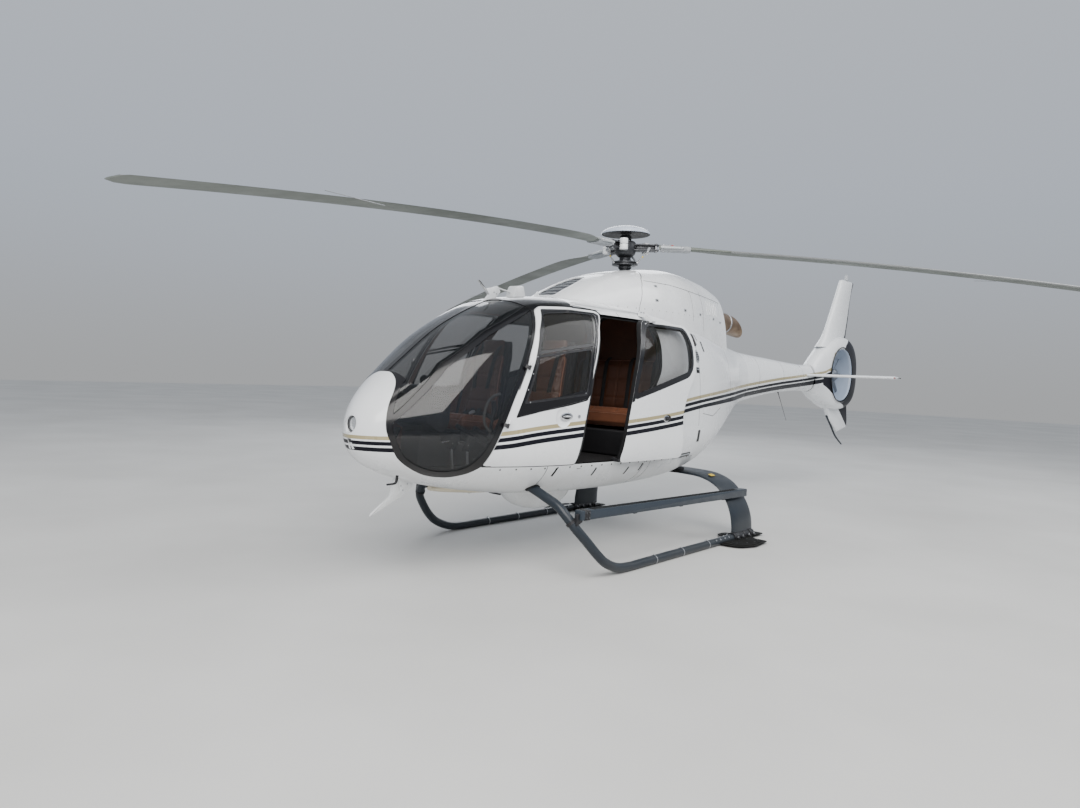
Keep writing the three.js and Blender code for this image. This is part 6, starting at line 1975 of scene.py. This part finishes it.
def build_rotor_head():
    """Ringed mast, star, dampers, pitch links, swashplate and cap."""
    things = []
    base = rotor_place()
    foot = 2540 + 1 - HUB_Z
    profile = [(50, foot + 4), (52, foot + 40), (52, -262), (62, -258), (62, -238), (54, -234), (54, -222),
               (66, -218), (66, -200), (56, -196), (56, -112), (70, -104), (96, -78), (103, -60), (104, -20),
               (104, 30), (96, 44), (62, 52), (58, 60), (58, 96), (50, 108)]
    things += [
        (lathe(profile, sides=64), "dark_steel"),
        (lathe([(60, -190), (122, -190), (129, -186), (129, -176), (116, -172), (116, -168), (128, -165),
                (128, -155), (118, -151), (64, -150)], sides=72), "dark_steel"),
    ]
    for c, s in around(12):
        things += [
            (bolt((82 * c, 82 * s, 38), (82 * c, 82 * s, 53), 7), "steel"),
            (bolt((104 * c, 104 * s, -152), (104 * c, 104 * s, -146), 6), "steel"),
        ]
    for degrees in BLADE_ANGLES.values():
        own = []
        arm = [(66, -58), (180, -60), (318, -46), (329, -40), (329, 40), (318, 46), (180, 58), (66, 58)]
        for z0, z1 in ((-46, -30), (6, 21)):
            own.append((slab(arm, 20, z0, z1, 3, axis=2), "dark_steel"))
        own.append((slab([(105, -34), (290, -28), (290, 28), (105, 34)], 16, -29.6, 5.6, 4, axis=2),
                    "dark_steel"))
        for x, y in ((302, -24), (302, 24), (236, 0)):
            own += [
                (rod((x, y, -55), (x, y, 30), 11, sides=18, edge=2), "steel"),
                (bolt((x, y, 21), (x, y, 27), 15), "dark_steel"),
            ]
        stack = [(22, -62), (38, -61), (40, -56), (40, -16), (38, -11), (27, -10), (27, -5), (38, -4),
                 (40, 1), (40, 40), (38, 46), (20, 48)]
        own += [
            (lathe(stack, (205, 92, 0), (0, 0, 1), 40), "white"),
            (rod((150, 30, -8), (205, 92, -8), 16, 13, 18, 2), "rotor_grey"),
            (bolt((205, 92, 46), (205, 92, 54), 11), "steel"),
        ]
        a, b = np.array((215.0, -86.0, -60.0)), np.array((120.0, -60.0, -166.0))
        own.append((rod(a, b, 7, sides=18), "rotor_grey"))
        for t0, t1, r, m in ((0.08, 0.26, 10, "steel"), (0.74, 0.92, 10, "steel"), (0.42, 0.52, 8, "yellow")):
            own.append((rod(a + (b - a) * t0, a + (b - a) * t1, r, sides=18, edge=1), m))
        own += [(ball(end, (15, 15, 15), 16, 10), "steel") for end in (a, b)]
        own += [
            (rod((235, -40, -20), (216, -86, -56), 15, 12, 18, 2), "rotor_grey"),
            (tube([(112, 40, 26), (150, 56, 36), (196, 60, 24), (240, 46, 26)], 4, 24, 8), "satin_black"),
        ]
        things += [(moved(t, spin(degrees, "Z")), m) for t, m in own]
    own = [(tube([(70, 0, -100), (108, 6, -120), (128, 10, -160)], (12, 10, 12), 16, 14), "rotor_grey"),
           (tube([(72, -40, -95), (112, -46, -124), (126, -40, -158)], (10, 9, 10), 16, 14), "rotor_grey")]
    things += [(moved(t, spin(95, "Z")), m) for t, m in own]
    things = [(moved(t, base), m) for t, m in things]
    mixed(things, "rotor_star", "main_rotor", ("rotor_hub",))
    dome = [(4, 118), (200, 116), (226, 113.5), (236, 112.8), (242, 116), (244, 122), (241, 131), (230, 144),
            (212, 156), (188, 168), (158, 178.5), (124, 187), (88, 192.6), (50, 196), (20, 197.4), (4, 197.6)]
    cap = moved(lathe(dome, sides=96), base)
    # The dome's downward faces are painted shade: satin black for the dark hollow under the cap.
    kinds = [1 if p.normal[2] < -0.5 else 0 for p in cap.data.polygons]
    finish_piece(cap, "rotor_dome", "main_rotor", [MATERIALS["cap"], MATERIALS["satin_black"]],
                 ("rotor_cap",), 40, kinds)
    screws = [moved(stud(8, 3), base @ facing((208 * c, 208 * s, 158.5), (0.52 * c, 0.52 * s, 0.85)))
              for c, s in around(8, 13.5)]
    simple(gathered(*screws), "rotor_dome_screws", "main_rotor", "steel")


GEAR_LINE = [
    (400, -1800, 703), (520, -1800, 662), (644, -1800, 618), (778, -1797, 563), (862, -1782, 490),
    (925, -1746, 405), (968, -1670, 310), (1000, -1570, 200), (SKID_X, -1468, 118), (SKID_X, -1316, 56),
    (SKID_X, -1150, SKID_Z), (SKID_X, -900, SKID_Z), (SKID_X, 960, SKID_Z),
]
RING_PLACES = (-783, -350, 107)
BOLT_PLACES = (240, 320, 410, 486)
BEAM_LINE = [(1000, 56, 45), (992, 180, 36), (962, 300, 20), (895, 425, 0), (785, 528, 0), (620, 590, 0),
             (400, 606, 0), (0, 610, 0)]
SNOW_PAD = [(-74, 1160), (-72, 905), (-130, 880), (-215, 830), (-221, 700), (-60, 560), (-60, 312),
            (113, 312), (228, 348), (302, 525), (274, 826), (114, 830), (72, 905), (74, 1160)]


def gear_line(side):
    return [(side * x, y, z) for x, y, z in GEAR_LINE]


def beam_form(line, chord, thick, sides=28):
    """A broad beam of wing section along a line in front view, blunt in front and wider aft at its feet."""
    path = spline([(x, extra, z) for x, z, extra in line], 56)
    rings = []
    for i, (x, extra, z) in enumerate(path):
        d = path[min(i + 1, len(path) - 1)] - path[max(i - 1, 0)]
        n = np.array([-d[2], 0, d[0]]) / math.hypot(d[0], d[2])
        ring = []
        for c, s in around(sides):
            along = math.copysign(abs(c)**0.9, c) / 2
            up = math.copysign(abs(s)**0.75, s) / 2 * (0.80 + 0.18 * c)
            reach = chord + (2 * extra if along > 0 else 0)
            ring.append(np.array((x, REAR_BEAM_Y + along * reach, z)) + n * up * thick)
        rings.append(ring)
    return loft(rings)


def build_landing_gear():
    """Skids in one curve with their front legs, the broad rear beam, steps, rings, saddles and snow pads."""
    belly = hull(-SEAM)
    ground = box(-FAR, FAR, -3000, 3000, -200, 0)
    line = BEAM_LINE + [(-x, z, extra) for x, z, extra in BEAM_LINE[:-1]][::-1]
    for side, word in SIDES:
        points = gear_line(side)
        leg = cut(tube(points, TUBE - 0.3, 220, 36), belly, ground)
        simple(leg, word + "_skid_tube", "airframe", "skid", (word + "_skid",))
        x = side * SKID_X
        collar = cut(common(tube(points[:4], TUBE + 8, 60, 36), hull(-13)), belly)
        things = [(collar, "seal")]
        for y in RING_PLACES:
            things += [
                (cut(lathe([(30, 0), (TUBE + 2.6, 0.6), (TUBE + 2.6, 9.4), (30, 10)], (x, y, SKID_Z),
                           (0, 1, 0), 36), ground), "steel"),
                (bolt((x - side * 3, y + 5, SKID_Z + 38), (x - side * 3, y + 5, SKID_Z + 48), 6, 0.8),
                 "steel"),
            ]
        for y in BOLT_PLACES:
            for degrees in (42, 138):
                out = np.array((math.cos(math.radians(degrees)), 0, math.sin(math.radians(degrees))))
                things.append((bolt((x, y, SKID_Z) + out * 34, (x, y, SKID_Z) + out * 43, 9, 1), "steel"))
        for y0, y1, r in ((590, 650, 52), (662, 780, 47), (792, 900, 47), (912, 985, 53)):
            sleeve = [(30, 0), (r - 3, 0), (r, 3), (r, y1 - y0 - 3), (r - 3, y1 - y0), (30, y1 - y0)]
            things.append((cut(lathe(sleeve, (x, y0, SKID_Z), (0, 1, 0), 36), ground), "satin_black"))
        for y in (620, 720, 845, 948):
            for k in (-1, 1):
                ear = [(x + k * 36, y - 22), (x + k * 76, y - 20), (x + k * 76, y + 20), (x + k * 36, y + 22)]
                things += [
                    (slab(ear, 9, 32, 46, 3, axis=2), "satin_black"),
                    (bolt((x + k * 60, y, 44), (x + k * 60, y, 60), 9, 1), "steel"),
                ]
        mixed(things, word + "_skid_fittings")
        build_step(side, word)
        build_pad(side, word)
    simple(cut(beam_form(line, REAR_BEAM_CHORD - 4, REAR_BEAM_THICK), belly), "rear_beam_blade", "airframe",
           "skid", ("rear_cross_beam",), 40)
    things = []
    for side, _ in SIDES:
        turn = Matrix.Translation((side * 680, REAR_BEAM_Y - 60, 607)) @ spin(side * 20, "Y")
        things.append((moved(plate(46, 76, 1.2, 3, 0.4), turn), "yellow"))
    boot = beam_form(line, REAR_BEAM_CHORD + 3, REAR_BEAM_THICK + 7)
    things.append((cut(common(boot, hull(-55), box(-FAR, FAR, 500, 1100, 560, 800)), belly), "seal"))
    mixed(things, "rear_beam_brackets")


def build_step(side, word):
    """The channel step between the front leg and the rear beam, with its end bracket and tread."""
    x0, x1 = (905, 985) if side > 0 else (-985, -905)
    front, aft, half, wall = (-1740, 509), (930, 450), 37, 10
    length = math.hypot(aft[0] - front[0], aft[1] - front[1])
    lie = tilted((0, *front), math.degrees(math.atan2(aft[1] - front[1], aft[0] - front[0])))
    block = slab([(0, -half), (length, -half), (length, half), (0, half)], 6, x0, x1, 5)
    rail = moved(cut(block, box(x0 + wall, x1 - wall, wall, length + 10, -half - 10, half - wall)), lie)
    mirror = [(side * x, z, extra) for x, z, extra in BEAM_LINE]
    rail = cut(rail, tube(gear_line(side), TUBE + SEAM, 120, 30),
               beam_form(mirror, REAR_BEAM_CHORD + 1, REAR_BEAM_THICK + 2))
    simple(rail, word + "_step_rail", "airframe", "step", (word + "_step",))
    things = [(box(x0 + 8, x1 - 8, 150 + 62 * k, 196 + 62 * k, half - 0.5, half + 1.6, 0.8), "pad")
              for k in range(38)]
    things.append((box(x0 - 3, x1 + 3, 24, 96, -half - 3, half + 2, 6), "satin_black"))
    for y in (42, 78):
        for z in (-20, 20):
            for x, reach in ((x0 - 3, -7), (x1 + 3, 7)):
                things.append((bolt((x, y, z), (x + reach, y, z), 8, 1), "dark_steel"))
    for y in (700, 1420, 2200):
        things.append((box(x0 + 14, x1 - 14, y, y + 44, -half - 9, -half + 3, 3), "satin_black"))
    mixed([(moved(thing, lie), name) for thing, name in things], word + "_step_tread")
    spot = (side * 896, -1765, 447)
    ring = lathe([(TUBE - 4, -14), (TUBE + 6, -12), (TUBE + 6, 12), (TUBE - 4, 14)], spot,
                 (side * 0.56, 0.35, -0.75), 36)
    tongue = slab([(-1775, 425), (-1700, 455), (-1700, 525), (-1765, 520)], 14, side * 945 - 12,
                  side * 945 + 12, 4)
    mixed([(ring, "satin_black"), (tongue, "satin_black")], word + "_step_bracket")


def build_pad(side, word):
    """A snow pad of black layered sheet beside the rear of a skid."""
    room = tube(gear_line(side), TUBE + SEAM, 120, 30)
    outline = np.array([(side * (SKID_X + out), y) for out, y in rounded(SNOW_PAD, 50, 6)])
    simple(cut(pillow(outline, soft_layers(18.3, 24, 2), axis=2), room), word + "_pad_sheet", "airframe",
           "pad", (word + "_snow_pad",))
    second = np.array([(side * (SKID_X + out), y) for out, y in rounded([(-60, 1090), (-66, 880), (-150, 820),
            (-190, 730), (-50, 600), (-50, 360), (108, 350), (214, 385), (272, 535), (240, 780), (104, 800),
            (66, 890), (60, 1090)], 40, 6)])
    things = [(cut(pillow(second, soft_layers(24, 29.6, 1.5), axis=2), room), "pad")]
    for out, y in ((150, 420), (205, 520), (222, 640), (200, 740), (110, 700), (100, 560), (96, 430),
                   (-90, 640), (-140, 720), (-120, 790)):
        at = (side * (SKID_X + out), y)
        things.append((bolt((*at, 27), (*at, 35), 8, 1), "dark_steel"))
    mixed(things, word + "_pad_fittings")


def build_fittings():
    """Wire cutters, lamp box, pod, nose lamp, pitot tube, antennas and hooks."""
    belly = hull(-SEAM)
    cutter = slab([(-1985, 2296), (-1905, 2235), (-1832, 2252), (-1764, 2272), (-1733, 2225), (-1786, 2172),
                   (-1800, 2120), (-1960, 2060), (-1925, 2130), (-1870, 2190)], 12, -10, 10, 4, steps=4)
    simple(cut(cutter, belly), "roof_cutter", "airframe", "white", ("roof_wire_cutter",))
    edge = [(0, -1977, 2296), (0, -1904, 2235), (0, -1870, 2192)]
    things = [(cut(ribbon(edge, 26, 5, (1, 0, 0), 20), belly), "steel")]
    for y, z in ((-1810, 2216), (-1782, 2205), (-1820, 2160), (-1796, 2150)):
        things.append((bolt((-13, y, z), (13, y, z), 7, 1), "steel"))
    things.append((cut(tube([(0, -1795, 2262), (0, -1700, 2248), (0, -1560, 2232)], 7, 12, 12), belly),
                   "white"))
    mixed(things, "roof_cutter_blade")
    lamp_box = slab([(-1640, 2150), (-1590, 2292), (-1492, 2300), (-1455, 2150)], 18, -48, 48, 10, steps=5)
    simple(cut(lamp_box, belly), "roof_box", "airframe", "white", ("roof_lamp_box",))
    chin = slab([(-2740, 800), (-2560, 760), (-2575, 680), (-2700, 600), (-2960, 486), (-2950, 505),
                 (-2790, 620)], 8, -9, 9, 3, steps=4)
    simple(cut(chin, belly), "chin_cutter", "airframe", "white", ("chin_wire_cutter",))
    things = []
    cheek = [(-2735, 790), (-2580, 760), (-2600, 690), (-2700, 640)]
    for x in (14, -14):
        things.append((cut(slab(cheek, 14, x - 4, x + 4, 1.5), belly), "white"))
    for y, z in ((-2700, 690), (-2640, 700), (-2680, 656)):
        things.append((bolt((-20, y, z), (20, y, z), 7, 1), "steel"))
    mixed(things, "chin_cutter_bracket")
    pod = [(y, wide, 560, 620, bottom, 2, 2) for y, wide, bottom in
           ((-1600, 30, 540), (-1520, 120, 462), (-1400, 165, 405), (-1250, 185, 372), (-1050, 180, 370),
            (-900, 145, 415), (-800, 70, 480))]
    simple(cut(skin(pod, 0, 72, 20), belly), "pod_shell", "airframe", "white", ("belly_pod",),
           40)
    hook = tube([(-80, -1690, 590), (-80, -1690, 552), (-62, -1690, 542), (60, -1690, 541)], 8, 30, 12)
    things = [(cut(hook, belly), "satin_black")]
    keel = [(-2410, 30, 640, 660, 628, 2, 2), (-2300, 44, 640, 660, 608, 2, 2),
            (-1950, 44, 620, 640, 570, 2, 2), (-1752, 30, 600, 620, 560, 2, 2)]
    things.append((cut(skin(keel, 0, 40, 30), belly), "cream"))
    under = [(-2052, 650), (-2042, 622), (-1992, 562), (-1974, 566), (-1960, 625), (-1950, 650)]
    above = [(-1330, 2210), (-1315, 2238), (-1280, 2282), (-1264, 2280), (-1246, 2236), (-1236, 2210)]
    things += [(slab(outline, 8, -6, 6, 3, steps=4), "white") for outline in (under, above)]
    for y in (60, 300):
        at = facing(*top_point(HULL, 0, y, -1), (0, 1, 0))
        things.append((moved(rod((0, 0, -4), (0, 0, 46), 5, 3, 12), at), "satin_black"))
    dome = lathe([(24, -2), (24, 8), (18, 16), (4, 20)], sides=24)
    things.append((moved(dome, facing(*top_point(HULL, 180, -420, -1))), "lens"))
    pitot = tube([(210, -2884, 805), (211, -2890, 768), (212, -2904, 750), (212, -2972, 746)], (11, 10, 8, 7),
                 26, 14)
    things.append((cut(pitot, belly), "satin_black"))
    mixed(things, "small_fittings")
    rim = [(61, -52), (61, 12), (58, 17), (53, 17), (50, 10), (49, -40)]
    bowl = [(4, 0), (20, 2), (38, 9), (47, 22)]
    things = [(lathe(rim, (0, -3088, NOSE_LAMP[2]), (0, -1, 0), 56), "chrome"),
              (lathe(bowl, NOSE_LAMP, (0, -1, 0), 48), "reflector")]
    mixed(things, "nose_lamp_rim")
    dome = [(2, 26), (30, 25), (46, 22), (47, 18), (46, 15), (30, 18), (2, 19)]
    glass = lathe(dome, NOSE_LAMP, (0, -1, 0), 56)
    simple(glass, "nose_lamp_glass", "airframe", "lens", ("landing_lamp",), 50)
    slot = front_prism(rounded([(-23, 1055), (23, 1055), (17, 1031), (-17, 1031)], 8), -3300, -3000)
    simple(common(slot, shell(10, 21)), "nose_slot_grille", "airframe", "grille")


# The stage: a pale floor, soft lights and the camera at the photograph's viewing angle

CAMERA_PLACE = (4.829, -6.908, 1.558)
CAMERA_YAW, CAMERA_PITCH, CAMERA_ROLL = -0.73053, -0.03932, -0.04265
CAMERA_LENS = 25.07


def camera_matrix():
    cy, sy = math.cos(CAMERA_YAW), math.sin(CAMERA_YAW)
    cp, sp = math.cos(CAMERA_PITCH), math.sin(CAMERA_PITCH)
    forward = Vector((sy * cp, cy * cp, sp))
    level = Vector((cy, -sy, 0))
    fall = forward.cross(level)
    c, s = math.cos(CAMERA_ROLL), math.sin(CAMERA_ROLL)
    right = level * c + fall * s
    down = fall * c - level * s
    turn = Matrix((right, -down, -forward)).transposed().to_4x4()
    return Matrix.Translation(CAMERA_PLACE) @ turn


def soft_light(name, place, target, size, power, color=(1, 1, 1)):
    light = bpy.data.lights.new(name, "AREA")
    light.shape = "RECTANGLE"
    light.size, light.size_y = size
    light.energy = power
    light.color = color
    thing = bpy.data.objects.new(name, light)
    thing.location = place
    thing.rotation_euler = (Vector(target) - Vector(place)).to_track_quat("-Z", "Y").to_euler()
    bpy.context.scene.collection.objects.link(thing)


def build_stage(settings):
    scene = bpy.context.scene
    material, n, shader, place = new_material("Pale floor")
    fine = n.noise(place, 60.0, 4)
    wide = n.noise(place, 0.5, 3)
    shade = n.mix(n.span(wide, 0.35, 0.65, 0.0, 1.0), (0.50, 0.50, 0.49, 1), (0.56, 0.56, 0.55, 1))
    n.fill(shader, {"Base Color": shade, "Roughness": n.span(fine, 0.3, 0.7, 0.75, 0.9)})
    half = settings.floor_size / 2
    floor = bpy.data.meshes.new("floor")
    floor.from_pydata([(-half, -half, 0), (half, -half, 0), (half, half, 0), (-half, half, 0)], [],
                      [(0, 1, 2, 3)])
    floor.materials.append(material)
    thing = bpy.data.objects.new("studio_floor", floor)
    scene.collection.objects.link(thing)

    world = bpy.data.worlds.new("Studio")
    world.use_nodes = True
    tree = world.node_tree
    tree.nodes.clear()
    w = Nodes(tree)
    height = w.add("SeparateXYZ", w.add("TexCoord", out="Generated"), out=2)
    ramp = w.mix(w.span(height, -0.05, 0.25, smooth=True), (0.52, 0.53, 0.54, 1), (0.62, 0.68, 0.78, 1))
    ramp = w.mix(w.span(height, 0.2, 0.9), ramp, (0.86, 0.89, 0.93, 1))
    back = w.add("Background", ramp, 0.82)
    out = tree.nodes.new("ShaderNodeOutputWorld")
    tree.links.new(back, out.inputs[0])
    scene.world = world

    soft_light("key", (7, -9, 9), (0, -1, 1), (11, 11), 2500 * settings.light, (1.0, 0.97, 0.93))
    soft_light("side", (8, 5, 9), (0, 1, 1.2), (9, 7), 600 * settings.light)
    soft_light("back", (-8, 8, 7), (0, 1, 1.5), (8, 6), 520 * settings.light, (0.93, 0.96, 1.0))

    camera = bpy.data.cameras.new("camera")
    camera.lens = CAMERA_LENS
    camera.sensor_width = 36
    camera.clip_end = 200
    view = bpy.data.objects.new("camera", camera)
    view.matrix_world = camera_matrix()
    scene.collection.objects.link(view)
    scene.camera = view


# The add-on's settings, operators and panel

class HelicopterColours(bpy.types.PropertyGroup):
    """The colours of the paint, leather and metal."""
    white: bpy.props.FloatVectorProperty(name="Body paint", description="The body's gloss paint",
                                         subtype="COLOR", min=0, max=1, default=(0.82, 0.84, 0.86))
    gold: bpy.props.FloatVectorProperty(name="Gold stripe", description="The upper stripe on the flank",
                                        subtype="COLOR", min=0, max=1, default=(0.35, 0.30, 0.165))
    stripe: bpy.props.FloatVectorProperty(name="Dark stripes",
                                          description="The two lower stripes and the tail", subtype="COLOR",
                                          min=0, max=1, default=(0.004, 0.0045, 0.009))
    leather: bpy.props.FloatVectorProperty(name="Leather", description="The seats' leather", subtype="COLOR",
                                           min=0, max=1, default=(0.21, 0.078, 0.038))
    skid: bpy.props.FloatVectorProperty(name="Landing gear", description="The paint on skids, beam and steps",
                                        subtype="COLOR", min=0, max=1, default=(0.014, 0.020, 0.028))
    cap: bpy.props.FloatVectorProperty(name="Rotor cap", description="The dome over the rotor head",
                                       subtype="COLOR", min=0, max=1, default=(0.50, 0.56, 0.66))


class HelicopterStage(bpy.types.PropertyGroup):
    """The size of the floor and the strength of the lights."""
    floor_size: bpy.props.FloatProperty(name="Floor size", description="Length of each side of the floor",
                                        default=90.0, min=20.0, unit="LENGTH")
    light: bpy.props.FloatProperty(name="Light", description="Strength of the studio lights", default=1.0,
                                   min=0.1, max=5.0, subtype="FACTOR")


class HELI_OT_stage(bpy.types.Operator):
    """Makes the floor, the lights, the camera and the materials"""
    bl_idname = "heli.stage"
    bl_label = "Stage and materials"

    def execute(self, context):
        build_stage(context.scene.heli_stage)
        build_materials(context.scene.heli_colours)
        return {"FINISHED"}


class HELI_OT_cabin(bpy.types.Operator):
    """Makes the cabin's outer panels and their details"""
    bl_idname = "heli.cabin"
    bl_label = "Cabin panels"

    def execute(self, context):
        build_cabin_panels()
        build_wall_details()
        return {"FINISHED"}


class HELI_OT_canopy(bpy.types.Operator):
    """Makes the black frame of the front glazing and its panes"""
    bl_idname = "heli.canopy"
    bl_label = "Canopy"

    def execute(self, context):
        build_canopy()
        return {"FINISHED"}


class HELI_OT_front_doors(bpy.types.Operator):
    """Makes the two front doors"""
    bl_idname = "heli.front_doors"
    bl_label = "Front doors"

    def execute(self, context):
        build_front_doors()
        return {"FINISHED"}


class HELI_OT_sliding_door(bpy.types.Operator):
    """Makes the sliding door, its rail and its doorway"""
    bl_idname = "heli.sliding_door"
    bl_label = "Sliding door"

    def execute(self, context):
        build_sliding_door()
        return {"FINISHED"}


class HELI_OT_interior(bpy.types.Operator):
    """Makes the floor, bulkhead, posts, console and controls"""
    bl_idname = "heli.interior"
    bl_label = "Interior"

    def execute(self, context):
        build_interior()
        return {"FINISHED"}


class HELI_OT_seats(bpy.types.Operator):
    """Makes the front seats and the rear bench with their belts"""
    bl_idname = "heli.seats"
    bl_label = "Seats"

    def execute(self, context):
        build_seats()
        return {"FINISHED"}


class HELI_OT_rear(bpy.types.Operator):
    """Makes the rear fuselage and the baggage door"""
    bl_idname = "heli.rear"
    bl_label = "Rear fuselage"

    def execute(self, context):
        build_rear_fuselage()
        return {"FINISHED"}


class HELI_OT_cowl(bpy.types.Operator):
    """Makes the cowls, the blocks inside them and the exhaust"""
    bl_idname = "heli.cowl"
    bl_label = "Cowls and exhaust"

    def execute(self, context):
        build_cowl()
        return {"FINISHED"}


class HELI_OT_boom(bpy.types.Operator):
    """Makes the boom and the stabiliser"""
    bl_idname = "heli.boom"
    bl_label = "Boom"

    def execute(self, context):
        build_boom()
        return {"FINISHED"}


class HELI_OT_tail(bpy.types.Operator):
    """Makes the shroud, the fins, the bumper and the beacon"""
    bl_idname = "heli.tail"
    bl_label = "Tail"

    def execute(self, context):
        build_tail()
        return {"FINISHED"}


class HELI_OT_tail_fan(bpy.types.Operator):
    """Makes the tail fan and its gearbox"""
    bl_idname = "heli.tail_fan"
    bl_label = "Tail fan"

    def execute(self, context):
        build_tail_fan()
        return {"FINISHED"}


class HELI_OT_rotor(bpy.types.Operator):
    """Makes the rotor head, its cap and the three blades"""
    bl_idname = "heli.rotor"
    bl_label = "Main rotor"

    def execute(self, context):
        build_rotor_head()
        build_blades()
        return {"FINISHED"}


class HELI_OT_gear(bpy.types.Operator):
    """Makes the skids, steps, beam and snow pads"""
    bl_idname = "heli.gear"
    bl_label = "Landing gear"

    def execute(self, context):
        build_landing_gear()
        return {"FINISHED"}


class HELI_OT_fittings(bpy.types.Operator):
    """Makes the wire cutters, lamps, pod, pitot tube and antennas"""
    bl_idname = "heli.fittings"
    bl_label = "Fittings"

    def execute(self, context):
        build_fittings()
        return {"FINISHED"}


STEPS = [HELI_OT_stage, HELI_OT_seats, HELI_OT_cabin, HELI_OT_canopy, HELI_OT_front_doors,
         HELI_OT_sliding_door, HELI_OT_interior, HELI_OT_rear, HELI_OT_cowl, HELI_OT_boom, HELI_OT_tail,
         HELI_OT_tail_fan, HELI_OT_rotor, HELI_OT_gear, HELI_OT_fittings]


class HELI_PT_panel(bpy.types.Panel):
    """Lists the colours, the sizes and the steps"""
    bl_idname = "HELI_PT_panel"
    bl_label = "Helicopter"
    bl_space_type = "VIEW_3D"
    bl_region_type = "UI"
    bl_category = "Helicopter"

    def draw(self, context):
        layout = self.layout
        for settings in (context.scene.heli_colours, context.scene.heli_stage):
            for key in settings.__annotations__:
                layout.prop(settings, key)
        for step in STEPS:
            layout.operator(step.bl_idname)


CLASSES = [HelicopterColours, HelicopterStage, *STEPS, HELI_PT_panel]


def register():
    for item in CLASSES:
        bpy.utils.register_class(item)
    bpy.types.Scene.heli_colours = bpy.props.PointerProperty(type=HelicopterColours)
    bpy.types.Scene.heli_stage = bpy.props.PointerProperty(type=HelicopterStage)


def unregister():
    del bpy.types.Scene.heli_stage
    del bpy.types.Scene.heli_colours
    for item in reversed(CLASSES):
        bpy.utils.unregister_class(item)


def clear_scratch():
    group_of_scraps = scratch_collection()
    for thing in list(group_of_scraps.objects):
        mesh = thing.data
        bpy.data.objects.remove(thing)
        if mesh.users == 0:
            bpy.data.meshes.remove(mesh)
    bpy.data.collections.remove(group_of_scraps)


def main():
    register()
    for step in STEPS:
        group_name, name = step.bl_idname.split(".")
        getattr(getattr(bpy.ops, group_name), name)()
    clear_scratch()
    bpy.context.view_layer.update()


if __name__ == "__main__":
    main()
